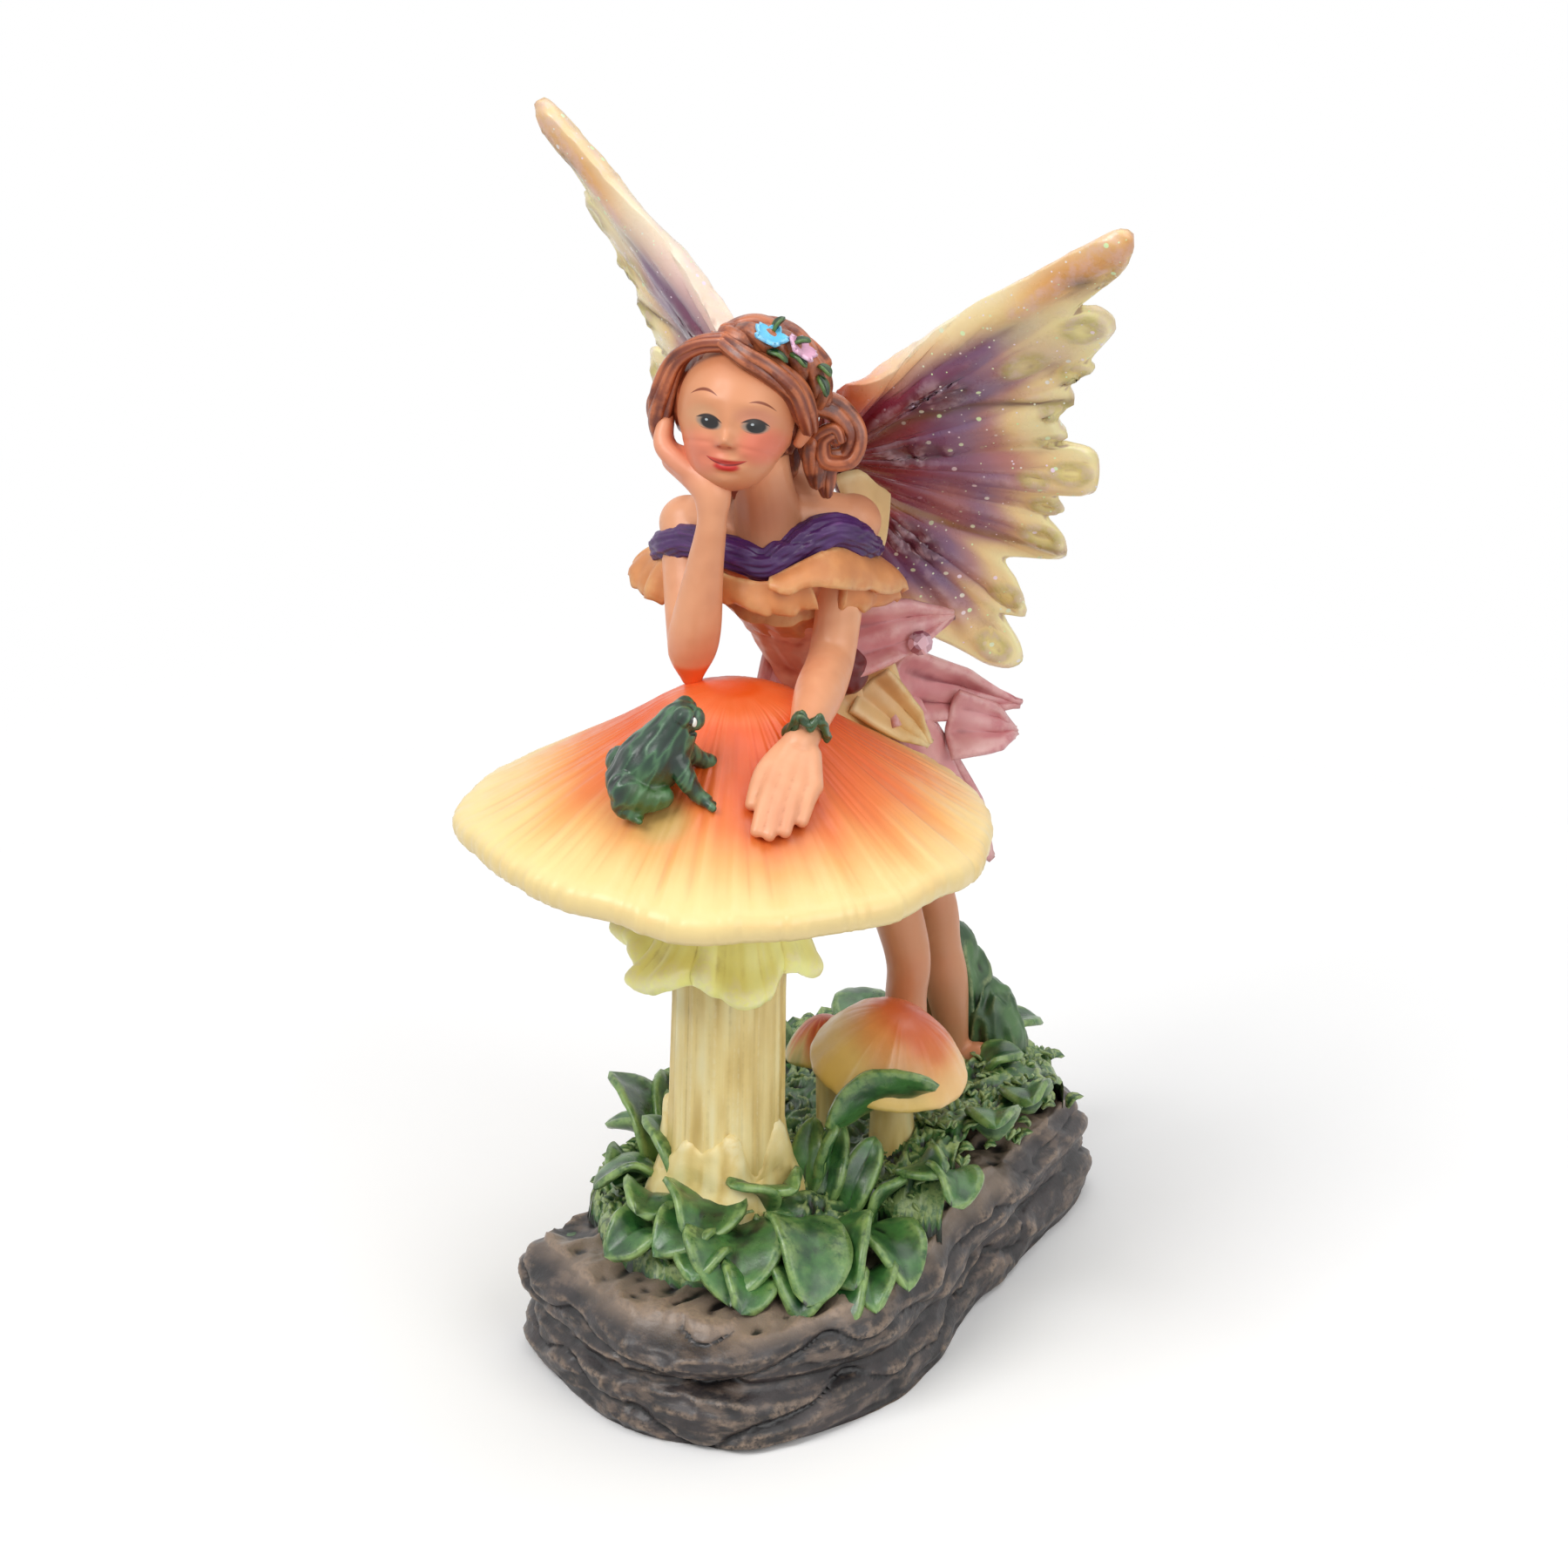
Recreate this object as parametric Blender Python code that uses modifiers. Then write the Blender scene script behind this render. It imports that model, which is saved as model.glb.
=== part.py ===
"""A painted resin figurine: a fairy leans on a big toadstool that grows from a mossy rock.

The rock, toadstools, plants, frog and fairy are one casting. The two translucent wings
are cast by themselves, and the peg at each root is glued into a socket in the fairy's
back. A cut glass stone is glued into a seat on the skirt.

Lengths are in metres. The fairy faces -Y and +Z is up. The origin is the middle of the
flat underside. Forms are blocked out piece by piece, then fused as the caster's pattern
was, so that soft welds run round every join.
"""
import math

import bmesh
import bpy
from mathutils import Euler, Matrix, Vector, noise

# Rock base
BASE_WIDTH = 0.0362
BASE_LENGTH = 0.0696
BASE_HEIGHT = 0.0100
STRATA_RELIEF = 0.0013

# Soil and plants
SOIL_HEIGHT = 0.0055
LEAF_THICKNESS = 0.0009
LEAF_SCALE = 1.15

# Big toadstool
STEM_RADIUS = 0.0048
STEM_HEIGHT = 0.0347
RING_RADIUS = 0.0080
RING_DROP = 0.0080
CAP_RADIUS = 0.0220
CAP_RISE = 0.0113
CAP_EDGE = 0.0024
CAP_TILT = 3.1
CAP_PLACE = Vector((-0.0001, -0.0164))

# Small toadstools
SMALL_CAP_RADIUS = 0.0070
SMALL_CAP_HEIGHT = 0.0190
BUD_CAP_RADIUS = 0.0036

# Fairy
HEAD_RADIUS = 0.0062
SHOULDER_WIDTH = 0.0140
WAIST_RADIUS = 0.0039
ARM_RADIUS = 0.0021
LEG_RADIUS = 0.0021
SKIRT_RADIUS = 0.0076
CLOTH_THICKNESS = 0.0010

# Frog
FROG_LENGTH = 0.0100

# Wings
WING_REACH = 0.0368
WING_THICKNESS = 0.0012
WING_SPACING = 0.0038
PEG_RADIUS = 0.0009
PEG_LENGTH = 0.0045
GLUE_GAP = 0.0003

# Stone on the skirt
STONE_RADIUS = 0.0011
STONE_HEIGHT = 0.0009

# How finely the pattern is kept
VOXEL = 0.00042
BODY_TRIANGLES = 9300
WING_TRIANGLES = 1150
FIGURE_SHARE = 0.97

CAP_FOOT_HEIGHT = BASE_HEIGHT + SOIL_HEIGHT + STEM_HEIGHT
CAP_CENTER = Vector((CAP_PLACE.x, CAP_PLACE.y, CAP_FOOT_HEIGHT))
# The cap's front is tipped up
CAP_TURN = Matrix.Rotation(math.radians(-CAP_TILT), 3, "X")

# The base's outline, as shares of half its width and half its length
BASE_OUTLINE = [
    (-0.88, -0.70), (-0.64, -0.84), (-0.10, -1.00), (0.35, -1.00), (0.63, -0.92), (0.95, -0.65),
    (1.00, -0.40), (0.89, -0.01), (0.90, 0.25), (0.88, 0.60), (0.68, 0.76), (0.38, 0.86), (0.00, 0.95),
    (-0.50, 0.88), (-0.80, 0.56), (-0.88, 0.14), (-0.86, -0.25), (-0.85, -0.48),
]
# The layers of the rock from the table up: share of the height, and how far each stands out
STRATA = [
    (-0.12, -0.3), (0.0, -0.2), (0.10, 0.3), (0.26, 0.6), (0.38, 0.1), (0.45, -1.0), (0.52, -1.1),
    (0.60, 0.1), (0.72, 0.5), (0.84, 0.2), (0.92, -0.7), (1.0, -1.9),
]
# Mounds of soil and moss: x, y, radius across, radius along, and share of the soil's height
MOUNDS = [
    (-0.0005, -0.0150, 0.0120, 0.0125, 1.00),
    (0.0125, -0.0010, 0.0068, 0.0100, 1.15),
    (0.0100, 0.0115, 0.0076, 0.0105, 0.95),
    (-0.0095, -0.0110, 0.0062, 0.0095, 0.50),
    (-0.0040, 0.0130, 0.0125, 0.0175, 0.45),
    (0.0050, 0.0205, 0.0075, 0.0070, 0.50),
]


def smooth_path(points, steps):
    """Points on a smooth curve through the given ones, which may carry a radius as well."""
    path = []
    last = len(points) - 1
    for index in range(last):
        before = points[max(index - 1, 0)]
        start = points[index]
        end = points[index + 1]
        after = points[min(index + 2, last)]
        for step in range(steps):
            t = step / steps
            path.append(tuple(
                0.5 * (2 * b + (c - a) * t + (2 * a - 5 * b + 4 * c - d) * t ** 2
                       + (3 * b - a - 3 * c + d) * t ** 3)
                for a, b, c, d in zip(before, start, end, after)))
    path.append(tuple(points[last]))
    return path


def smooth_loop(points, steps):
    """Points on a smooth closed curve through the given ones."""
    wrapped = points[-1:] + points + points[:2]
    path = smooth_path(wrapped, steps)
    return path[steps:-steps]


def new_object(name, mesh):
    """Puts a mesh into the scene under a name."""
    piece = bpy.data.objects.new(name, mesh)
    bpy.context.scene.collection.objects.link(piece)
    return piece


def applied(piece):
    """Applies an object's modifiers and returns the plain mesh object."""
    bpy.context.view_layer.update()
    depsgraph = bpy.context.evaluated_depsgraph_get()
    mesh = bpy.data.meshes.new_from_object(piece.evaluated_get(depsgraph))
    mesh.transform(piece.matrix_world)
    name = piece.name
    bpy.data.objects.remove(piece)
    return new_object(name, mesh)


def facing_out(mesh):
    """Turns a closed mesh's faces outward."""
    shape = bmesh.new()
    shape.from_mesh(mesh)
    bmesh.ops.recalc_face_normals(shape, faces=shape.faces)
    if shape.calc_volume(signed=True) < 0:
        bmesh.ops.reverse_faces(shape, faces=shape.faces)
    shape.to_mesh(mesh)
    shape.free()


def loft(name, rings):
    """A closed form through rings of equal count, capped at both ends."""
    count = len(rings[0])
    vertices = [point for ring in rings for point in ring]
    faces = []
    for level in range(len(rings) - 1):
        for step in range(count):
            following = (step + 1) % count
            faces.append((level * count + step, level * count + following,
                          (level + 1) * count + following, (level + 1) * count + step))
    faces.append(tuple(reversed(range(count))))
    faces.append(tuple(range((len(rings) - 1) * count, len(rings) * count)))
    mesh = bpy.data.meshes.new(name)
    mesh.from_pydata(vertices, [], faces)
    facing_out(mesh)
    return new_object(name, mesh)


def sheet(name, rows, thickness):
    """A curved sheet through rows of points, thickened evenly to both sides."""
    count = len(rows[0])
    vertices = [point for row in rows for point in row]
    faces = []
    for level in range(len(rows) - 1):
        for step in range(count - 1):
            corner = level * count + step
            faces.append((corner, corner + 1, corner + count + 1, corner + count))
    mesh = bpy.data.meshes.new(name)
    mesh.from_pydata(vertices, [], faces)
    piece = new_object(name, mesh)
    shell = piece.modifiers.new("thickness", "SOLIDIFY")
    shell.thickness = thickness
    shell.offset = 0.0
    piece = applied(piece)
    facing_out(piece.data)
    return piece


def limb(name, stations, steps=4):
    """A round form along a smooth path. A station is a point and the radius there."""
    flat = [(*place, radius) for place, radius in stations]
    path = smooth_path(flat, steps)
    curve = bpy.data.curves.new(name, "CURVE")
    curve.dimensions = "3D"
    curve.bevel_depth = 1.0
    curve.bevel_resolution = 2
    curve.use_fill_caps = True
    spline = curve.splines.new("POLY")
    spline.points.add(len(path) - 1)
    for point, (x, y, z, radius) in zip(spline.points, path):
        point.co = (x, y, z, 1.0)
        point.radius = radius
    piece = applied(new_object(name, curve))
    shape = bmesh.new()
    shape.from_mesh(piece.data)
    bmesh.ops.remove_doubles(shape, verts=shape.verts, dist=0.00001)
    shape.to_mesh(piece.data)
    shape.free()
    facing_out(piece.data)
    return piece


def ball(name, center, radii, turn=(0.0, 0.0, 0.0)):
    """An ellipsoid, turned by three angles in degrees."""
    matrix = (Matrix.Translation(center) @ Euler([math.radians(a) for a in turn]).to_matrix().to_4x4()
              @ Matrix.Diagonal((*radii, 1.0)))
    shape = bmesh.new()
    bmesh.ops.create_uvsphere(shape, u_segments=20, v_segments=12, radius=1.0, matrix=matrix)
    mesh = bpy.data.meshes.new(name)
    shape.to_mesh(mesh)
    shape.free()
    return new_object(name, mesh)


def turned(name, profile, place, turn):
    """A turned form from a profile of radius and height, top to bottom on the axis."""
    mesh = bpy.data.meshes.new(name)
    mesh.from_pydata([(radius, 0.0, height) for radius, height in profile], [],
                     [(i, i + 1) for i in range(len(profile) - 1)])
    piece = new_object(name, mesh)
    spin = piece.modifiers.new("turn", "SCREW")
    spin.steps = 48
    spin.render_steps = 48
    spin.use_merge_vertices = True
    spin.merge_threshold = 0.00001
    piece.matrix_world = Matrix.Translation(place) @ turn.to_4x4()
    piece = applied(piece)
    facing_out(piece.data)
    return piece


def leaf(name, foot, tip, width, arch=0.25, cup=0.25):
    """A pointed leaf from its foot to its tip, arched along and cupped across."""
    along = tip - foot
    side = along.cross(Vector((0.0, 0.0, 1.0)))
    if side.length < 1e-9:
        side = Vector((1.0, 0.0, 0.0))
    side.normalize()
    lift = side.cross(along).normalized()
    rows = []
    for step in range(7):
        t = step / 6
        spine = foot + along * t + lift * along.length * arch * math.sin(math.pi * t)
        half = 0.5 * width * (0.25 + 0.75 * math.sin(math.pi * min(t * 1.15, 1.0)) ** 0.8)
        half *= 1.0 - 0.75 * max(0.0, t - 0.7) / 0.3
        rows.append([spine + side * half * across + lift * cup * half * (across ** 2 - 0.5)
                     for across in (-1.0, -0.5, 0.0, 0.5, 1.0)])
    return sheet(name, rows, LEAF_THICKNESS)


def ground(x, y):
    """Height of the soil, moss or bare rock over a place on the base."""
    height = BASE_HEIGHT
    for center_x, center_y, across, along, share in MOUNDS:
        reach = ((x - center_x) / across) ** 2 + ((y - center_y) / along) ** 2
        if reach < 1.0:
            height = max(height, BASE_HEIGHT + SOIL_HEIGHT * share * math.sqrt(1.0 - reach))
    return height


def on_ground(x, y, lift=0.0):
    """A place on the soil, lifted by the given height."""
    return Vector((x, y, ground(x, y) + lift))


CAP_PROFILE = [
    (0.0, 1.0), (0.12, 0.985), (0.22, 0.93), (0.30, 0.84), (0.40, 0.70), (0.55, 0.51), (0.70, 0.336),
    (0.85, 0.156), (0.95, 0.043), (0.985, 0.0),
]


def cap_height(reach):
    """Height of the big cap's upper side over its rim, at a share of its radius."""
    for (inner, high), (outer, low) in zip(CAP_PROFILE, CAP_PROFILE[1:]):
        if reach <= outer:
            return CAP_RISE * (high + (low - high) * (reach - inner) / (outer - inner))
    return 0.0


def cap_lobes(angle):
    """How far the rim swells out, as a share of the radius, and droops, as a share of its edge."""
    wave = math.sin(9 * angle) + 0.6 * math.sin(14 * angle + 1.0) + 0.5 * math.sin(5 * angle + 2.0)
    left = math.exp(-(math.remainder(angle - math.radians(208), 2 * math.pi) / 0.45) ** 2)
    front = math.exp(-(math.remainder(angle - math.radians(300), 2 * math.pi) / 0.55) ** 2)
    return 0.010 * wave + 0.055 * left + 0.030 * front, 0.10 * wave + 0.30 * front


def on_cap(across, along, lift=0.0):
    """A place on the big cap, given as shares of its radius from its middle."""
    height = cap_height(math.hypot(across, along)) + lift
    return CAP_CENTER + CAP_TURN @ Vector((across * CAP_RADIUS, along * CAP_RADIUS, height))


CAP_APEX = on_cap(0.0, 0.0)


def fairy(x, y, z):
    """A place on the fairy, measured from the top of the cap that she leans on."""
    return CAP_APEX + Vector((x, y, z))


def build_rock():
    """The rock base in uneven layers, with a flat underside left for the last cut."""
    outline = smooth_loop(BASE_OUTLINE, 5)
    rings = []
    for share, relief in STRATA:
        ring = []
        for across, along in outline:
            direction = Vector((across * BASE_WIDTH, along * BASE_LENGTH, 0.0)).normalized()
            wander = noise.noise(Vector((direction.x * 2.1, direction.y * 2.1, share * 2.5)))
            chip = noise.noise(Vector((direction.x * 6.0, direction.y * 6.0, share * 6.0)))
            outset = STRATA_RELIEF * (relief + 0.9 * wander + 0.7 * chip)
            height = BASE_HEIGHT * share
            if 0.0 < share:
                height += BASE_HEIGHT * 0.10 * wander
            ring.append(Vector((across * BASE_WIDTH / 2, along * BASE_LENGTH / 2, height))
                        + direction * outset)
        rings.append(ring)
    return [loft("rock", rings)]


def build_mounds():
    """Soil and moss heaped on the rock."""
    pieces = []
    for index, (x, y, across, along, share) in enumerate(MOUNDS):
        pieces.append(ball(f"mound_{index}", (x, y, BASE_HEIGHT),
                           (across, along, SOIL_HEIGHT * share)))
    return pieces


# Leaves round the toadstools: foot x, foot y, tip x, tip y, tip's height over its foot, and width
LEAVES = [
    (-0.0100, -0.0085, -0.0125, -0.0058, 0.0060, 0.0036),
    (-0.0080, -0.0155, -0.0142, -0.0128, 0.0062, 0.0042),
    (-0.0030, -0.0195, -0.0078, -0.0185, 0.0052, 0.0040),
    (-0.0052, -0.0215, -0.0042, -0.0262, 0.0018, 0.0042),
    (-0.0015, -0.0195, 0.0012, -0.0262, 0.0006, 0.0056),
    (0.0030, -0.0205, 0.0062, -0.0288, -0.0028, 0.0066),
    (0.0065, -0.0180, 0.0118, -0.0258, -0.0022, 0.0050),
    (0.0090, -0.0145, 0.0142, -0.0216, -0.0016, 0.0042),
    (0.0105, -0.0125, 0.0176, -0.0182, -0.0012, 0.0044),
    (0.0058, -0.0145, 0.0050, -0.0112, 0.0052, 0.0022),
    (0.0075, -0.0140, 0.0066, -0.0095, 0.0055, 0.0022),
    (0.0092, -0.0130, 0.0098, -0.0096, 0.0052, 0.0022),
    (0.0105, -0.0118, 0.0130, -0.0100, 0.0042, 0.0024),
    (0.0040, -0.0190, 0.0030, -0.0222, 0.0036, 0.0034),
    (0.0055, -0.0245, 0.0078, -0.0298, -0.0006, 0.0034),
    (0.0025, -0.0250, 0.0030, -0.0292, 0.0004, 0.0034),
    (0.0130, -0.0170, 0.0164, -0.0216, 0.0002, 0.0034),
    (-0.0100, -0.0150, -0.0098, -0.0200, 0.0014, 0.0038),
    (-0.0120, -0.0090, -0.0160, -0.0105, 0.0020, 0.0034),
    (0.0150, -0.0060, 0.0182, -0.0105, 0.0006, 0.0034),
    (0.0155, 0.0030, 0.0176, -0.0010, 0.0030, 0.0034),
    (0.0150, 0.0110, 0.0172, 0.0075, 0.0026, 0.0034),
    (0.0030, -0.0060, 0.0102, -0.0020, 0.0052, 0.0036),
    (-0.0100, 0.0000, -0.0150, 0.0010, 0.0026, 0.0038),
    (-0.0100, 0.0100, -0.0145, 0.0120, 0.0030, 0.0038),
    (-0.0050, 0.0180, -0.0085, 0.0225, 0.0026, 0.0038),
    (0.0020, 0.0220, 0.0010, 0.0275, 0.0030, 0.0038),
    (-0.0070, -0.0020, -0.0080, 0.0040, 0.0040, 0.0036),
]


def build_leaves():
    """Leaves and blades that stand on the soil, and the mossy stump behind the legs."""
    pieces = []
    for index, (x, y, tip_x, tip_y, rise, width) in enumerate(LEAVES):
        foot = on_ground(x, y, -LEAF_THICKNESS)
        across = Vector((tip_x - x, tip_y - y, rise)) * LEAF_SCALE
        pieces.append(leaf(f"leaf_{index}", foot, foot + across, 1.35 * width * LEAF_SCALE))
    stump = on_ground(0.0062, 0.0180)
    pieces.append(ball("stump", stump + Vector((-0.0014, 0.0, 0.0050)), (0.0034, 0.0028, 0.0072),
                       (0.0, -12.0, 25.0)))
    pieces.append(ball("stump_side", stump + Vector((0.0018, 0.0014, 0.0018)), (0.0026, 0.0030, 0.0052),
                       (0.0, -8.0, 25.0)))
    return pieces


def build_big_toadstool():
    """The stem with its torn ring and sheath, and the wide cap with a wavy rim."""
    foot = on_ground(CAP_PLACE.x - 0.0009, CAP_PLACE.y - 0.0002, -0.0015)
    top = CAP_CENTER + Vector((0.0, 0.0, 0.0030))
    middle = foot.lerp(top, 0.5)
    pieces = [limb("stem", [(foot, STEM_RADIUS * 1.12), (foot.lerp(middle, 0.4), STEM_RADIUS * 1.02),
                            (middle, STEM_RADIUS), (top, STEM_RADIUS * 1.05)])]
    torn = []
    for level, (radius, drop) in enumerate([(1.0, 0.0070), (1.22, 0.0052), (1.42, 0.0020), (1.30, -0.0010),
                                            (0.9, -0.0012)]):
        ring = []
        for step in range(24):
            angle = 2 * math.pi * step / 24
            tear = 0.14 * math.sin(3 * angle + level) * (level in (0, 1, 2))
            reach = STEM_RADIUS * (radius + tear)
            ring.append(foot + Vector((reach * math.cos(angle), reach * math.sin(angle),
                                       drop + 0.0012 * math.sin(4 * angle) * (level == 0))))
        torn.append(ring)
    pieces.append(loft("sheath", torn))
    collar_top = CAP_CENTER - Vector((0.0, 0.0, RING_DROP))
    rings = []
    for reach, drop in [(STEM_RADIUS * 0.9, -0.0015), (STEM_RADIUS * 1.12, 0.0), (RING_RADIUS * 0.84, 0.0028),
                        (RING_RADIUS, 0.0044), (RING_RADIUS * 0.93, 0.0052), (STEM_RADIUS * 0.9, 0.0036)]:
        ring = []
        for step in range(36):
            angle = 2 * math.pi * step / 36
            free = max(0.0, (reach - STEM_RADIUS) / RING_RADIUS)
            lopsided = 1.0 + 0.45 * free * math.cos(angle - math.radians(215))
            flutter = lopsided * (1.0 + 0.28 * free * math.sin(6 * angle + 0.6))
            ring.append(collar_top + Vector((reach * flutter * math.cos(angle),
                                             reach * flutter * math.sin(angle),
                                             -drop - 0.0022 * free * math.sin(5 * angle))))
        rings.append(ring)
    pieces.append(loft("stem_ring", rings))
    profile = [(share * CAP_RADIUS, height * CAP_RISE) for share, height in CAP_PROFILE]
    profile += [
        (CAP_RADIUS, -0.35 * CAP_EDGE), (0.985 * CAP_RADIUS, -0.85 * CAP_EDGE),
        (0.93 * CAP_RADIUS, -0.90 * CAP_EDGE), (0.70 * CAP_RADIUS, -0.15 * CAP_EDGE),
        (0.40 * CAP_RADIUS, 0.35 * CAP_EDGE), (0.0, 0.45 * CAP_EDGE),
    ]
    cap = turned("cap", profile, CAP_CENTER, CAP_TURN)
    for vertex in cap.data.vertices:
        local = CAP_TURN.inverted() @ (vertex.co - CAP_CENTER)
        angle = math.atan2(local.y, local.x)
        share = (math.hypot(local.x, local.y) / CAP_RADIUS) ** 3
        spread, droop = cap_lobes(angle)
        vertex.co += CAP_TURN @ Vector((local.x * spread, local.y * spread, -droop * CAP_EDGE)) * share
    pieces.append(cap)
    return pieces


def small_toadstool(name, place, height, radius, turn):
    """A little toadstool with a domed cap and a thin stem that reaches the soil."""
    foot = Vector((place[0], place[1], ground(*place) - 0.001))
    top = Vector((place[0] - 0.0006, place[1] + 0.0006, ground(*place) + height))
    rim = top - Vector((0.0, 0.0, 0.75 * radius))
    profile = [(0.0, 0.75), (0.25, 0.71), (0.50, 0.56), (0.75, 0.30), (0.93, 0.02), (1.0, -0.14),
               (0.93, -0.22), (0.6, -0.16), (0.0, -0.14)]
    cap = turned(f"{name}_cap", [(r * radius, h * radius) for r, h in profile], rim,
                 Euler([math.radians(a) for a in turn]).to_matrix())
    stem = limb(f"{name}_stem", [(foot, radius * 0.30), (foot.lerp(rim, 0.5), radius * 0.26),
                                 (rim, radius * 0.28)])
    return [cap, stem]


def build_small_toadstools():
    """One open toadstool before the legs, and one bud behind the big stem."""
    pieces = small_toadstool("small", (0.0096, -0.0034), SMALL_CAP_HEIGHT - SOIL_HEIGHT + 0.0010,
                             SMALL_CAP_RADIUS, (4.0, 15.0, 0.0))
    pieces += small_toadstool("bud", (0.0010, -0.0010), 0.0130, BUD_CAP_RADIUS, (0.0, -6.0, 0.0))
    return pieces


def build_frog():
    """A frog that sits on the cap beside the hand, head up."""
    seat = on_cap(-0.020, -0.560)
    ahead = Vector((0.883, 0.469, 0.0))
    side = Vector((0.469, -0.883, 0.0))
    unit = FROG_LENGTH / 10

    def spot(forward, sideways, up):
        return seat + (ahead * forward + side * sideways + Vector((0.0, 0.0, up))) * unit

    def limb_of(name, stations):
        return limb(name, [(spot(*place), radius * unit) for *place, radius in stations])

    pieces = [
        limb_of("frog_body", [(-3.0, 0.0, 1.4, 1.8), (-1.4, 0.0, 2.9, 2.6), (0.3, 0.0, 5.0, 2.5),
                              (1.5, 0.0, 7.3, 2.0), (2.3, 0.0, 8.6, 1.7), (3.2, 0.0, 8.7, 1.1)]),
        limb_of("frog_thigh_near", [(-2.6, 1.4, 2.0, 1.5), (-2.9, 2.3, 1.9, 1.4), (-1.2, 2.2, 1.0, 1.4),
                                    (0.6, 1.9, 0.9, 1.0)]),
        limb_of("frog_foot_near", [(-2.8, 2.6, 1.6, 1.1), (-3.3, 2.4, 0.1, 0.8), (-2.6, 2.6, -0.7, 0.6)]),
        limb_of("frog_thigh_far", [(-2.6, -1.4, 2.4, 1.4), (-3.6, -2.2, 2.8, 1.1), (-3.6, -2.0, 0.9, 0.9)]),
        limb_of("frog_arm_near", [(1.6, 1.2, 4.6, 1.2), (2.6, 1.7, 2.6, 0.9), (3.4, 1.6, 1.0, 0.8),
                                  (4.6, 1.6, 0.2, 0.7)]),
        limb_of("frog_arm_far", [(2.2, -1.2, 4.6, 1.1), (3.4, -1.8, 3.2, 0.8), (4.6, -2.4, 2.4, 0.7),
                                 (6.0, -2.8, 1.8, 0.6)]),
    ]
    for index, hand in enumerate((-1.0, 1.0)):
        pieces.append(ball(f"frog_eye_{index}", spot(2.4, 1.3 * hand, 9.4), [0.85 * unit] * 3))
    return pieces


def body_ring(center, lateral, forward, half_width, half_depth, count=24, flutes=0, depth=0.0):
    """A ring of the torso or the skirt, fluted where the cloth gathers."""
    ring = []
    for step in range(count):
        angle = 2 * math.pi * step / count
        swell = 1.0 + depth * math.cos(flutes * angle)
        ring.append(center + lateral * half_width * swell * math.cos(angle)
                    + forward * half_depth * swell * math.sin(angle))
    return ring


LATERAL = Vector((0.92, 0.39, 0.0)).normalized()
FRONT = Vector((0.39, -0.92, 0.0)).normalized()
HIPS = fairy(-0.0002, 0.0218, -0.0100)
WAIST = fairy(-0.0023, 0.0168, -0.0020)
CHEST = fairy(-0.0021, 0.0094, 0.0079)
NECK = fairy(-0.0012, 0.0084, 0.0118)
HEAD = fairy(-0.0021, 0.0052, 0.0221)
SHOULDER_RIGHT = fairy(-0.0028, 0.0113, 0.0101) - LATERAL * SHOULDER_WIDTH / 2
SHOULDER_LEFT = fairy(-0.0028, 0.0113, 0.0107) + LATERAL * SHOULDER_WIDTH / 2


def build_torso():
    """Hips, corset, chest and neck as one form along the bent back."""
    stations = [
        (HIPS, 1.55, 1.30), (HIPS.lerp(WAIST, 0.6), 1.15, 0.98), (WAIST, 1.0, 0.88),
        (WAIST.lerp(CHEST, 0.5), 1.20, 1.0), (CHEST, 1.45, 1.05), (CHEST.lerp(NECK, 0.5), 1.40, 0.90),
        (NECK, 0.80, 0.70),
    ]
    rings = []
    for index, (center, across, deep) in enumerate(stations):
        before = stations[max(index - 1, 0)][0]
        after = stations[min(index + 1, len(stations) - 1)][0]
        forward = LATERAL.cross((after - before).normalized())
        rings.append(body_ring(center, LATERAL, forward, across * WAIST_RADIUS, deep * WAIST_RADIUS))
    chin = HEAD + Vector((0.0008, 0.0010, -0.0040))
    return [
        loft("torso", rings),
        limb("neck", [(NECK - Vector((0.0, 0.0, 0.0015)), 0.0031), (NECK.lerp(chin, 0.5), 0.0026),
                      (chin, 0.0028)]),
        ball("upper_back", fairy(-0.0023, 0.0116, 0.0125), (0.0046, 0.0029, 0.0042)),
        ball("shoulder_right", SHOULDER_RIGHT, [0.0025] * 3),
        ball("shoulder_left", SHOULDER_LEFT, [0.0025] * 3),
        limb("shoulders", [(SHOULDER_RIGHT, 0.0023), (NECK - FRONT * 0.001, 0.0028),
                           (SHOULDER_LEFT, 0.0023)]),
    ]


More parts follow.
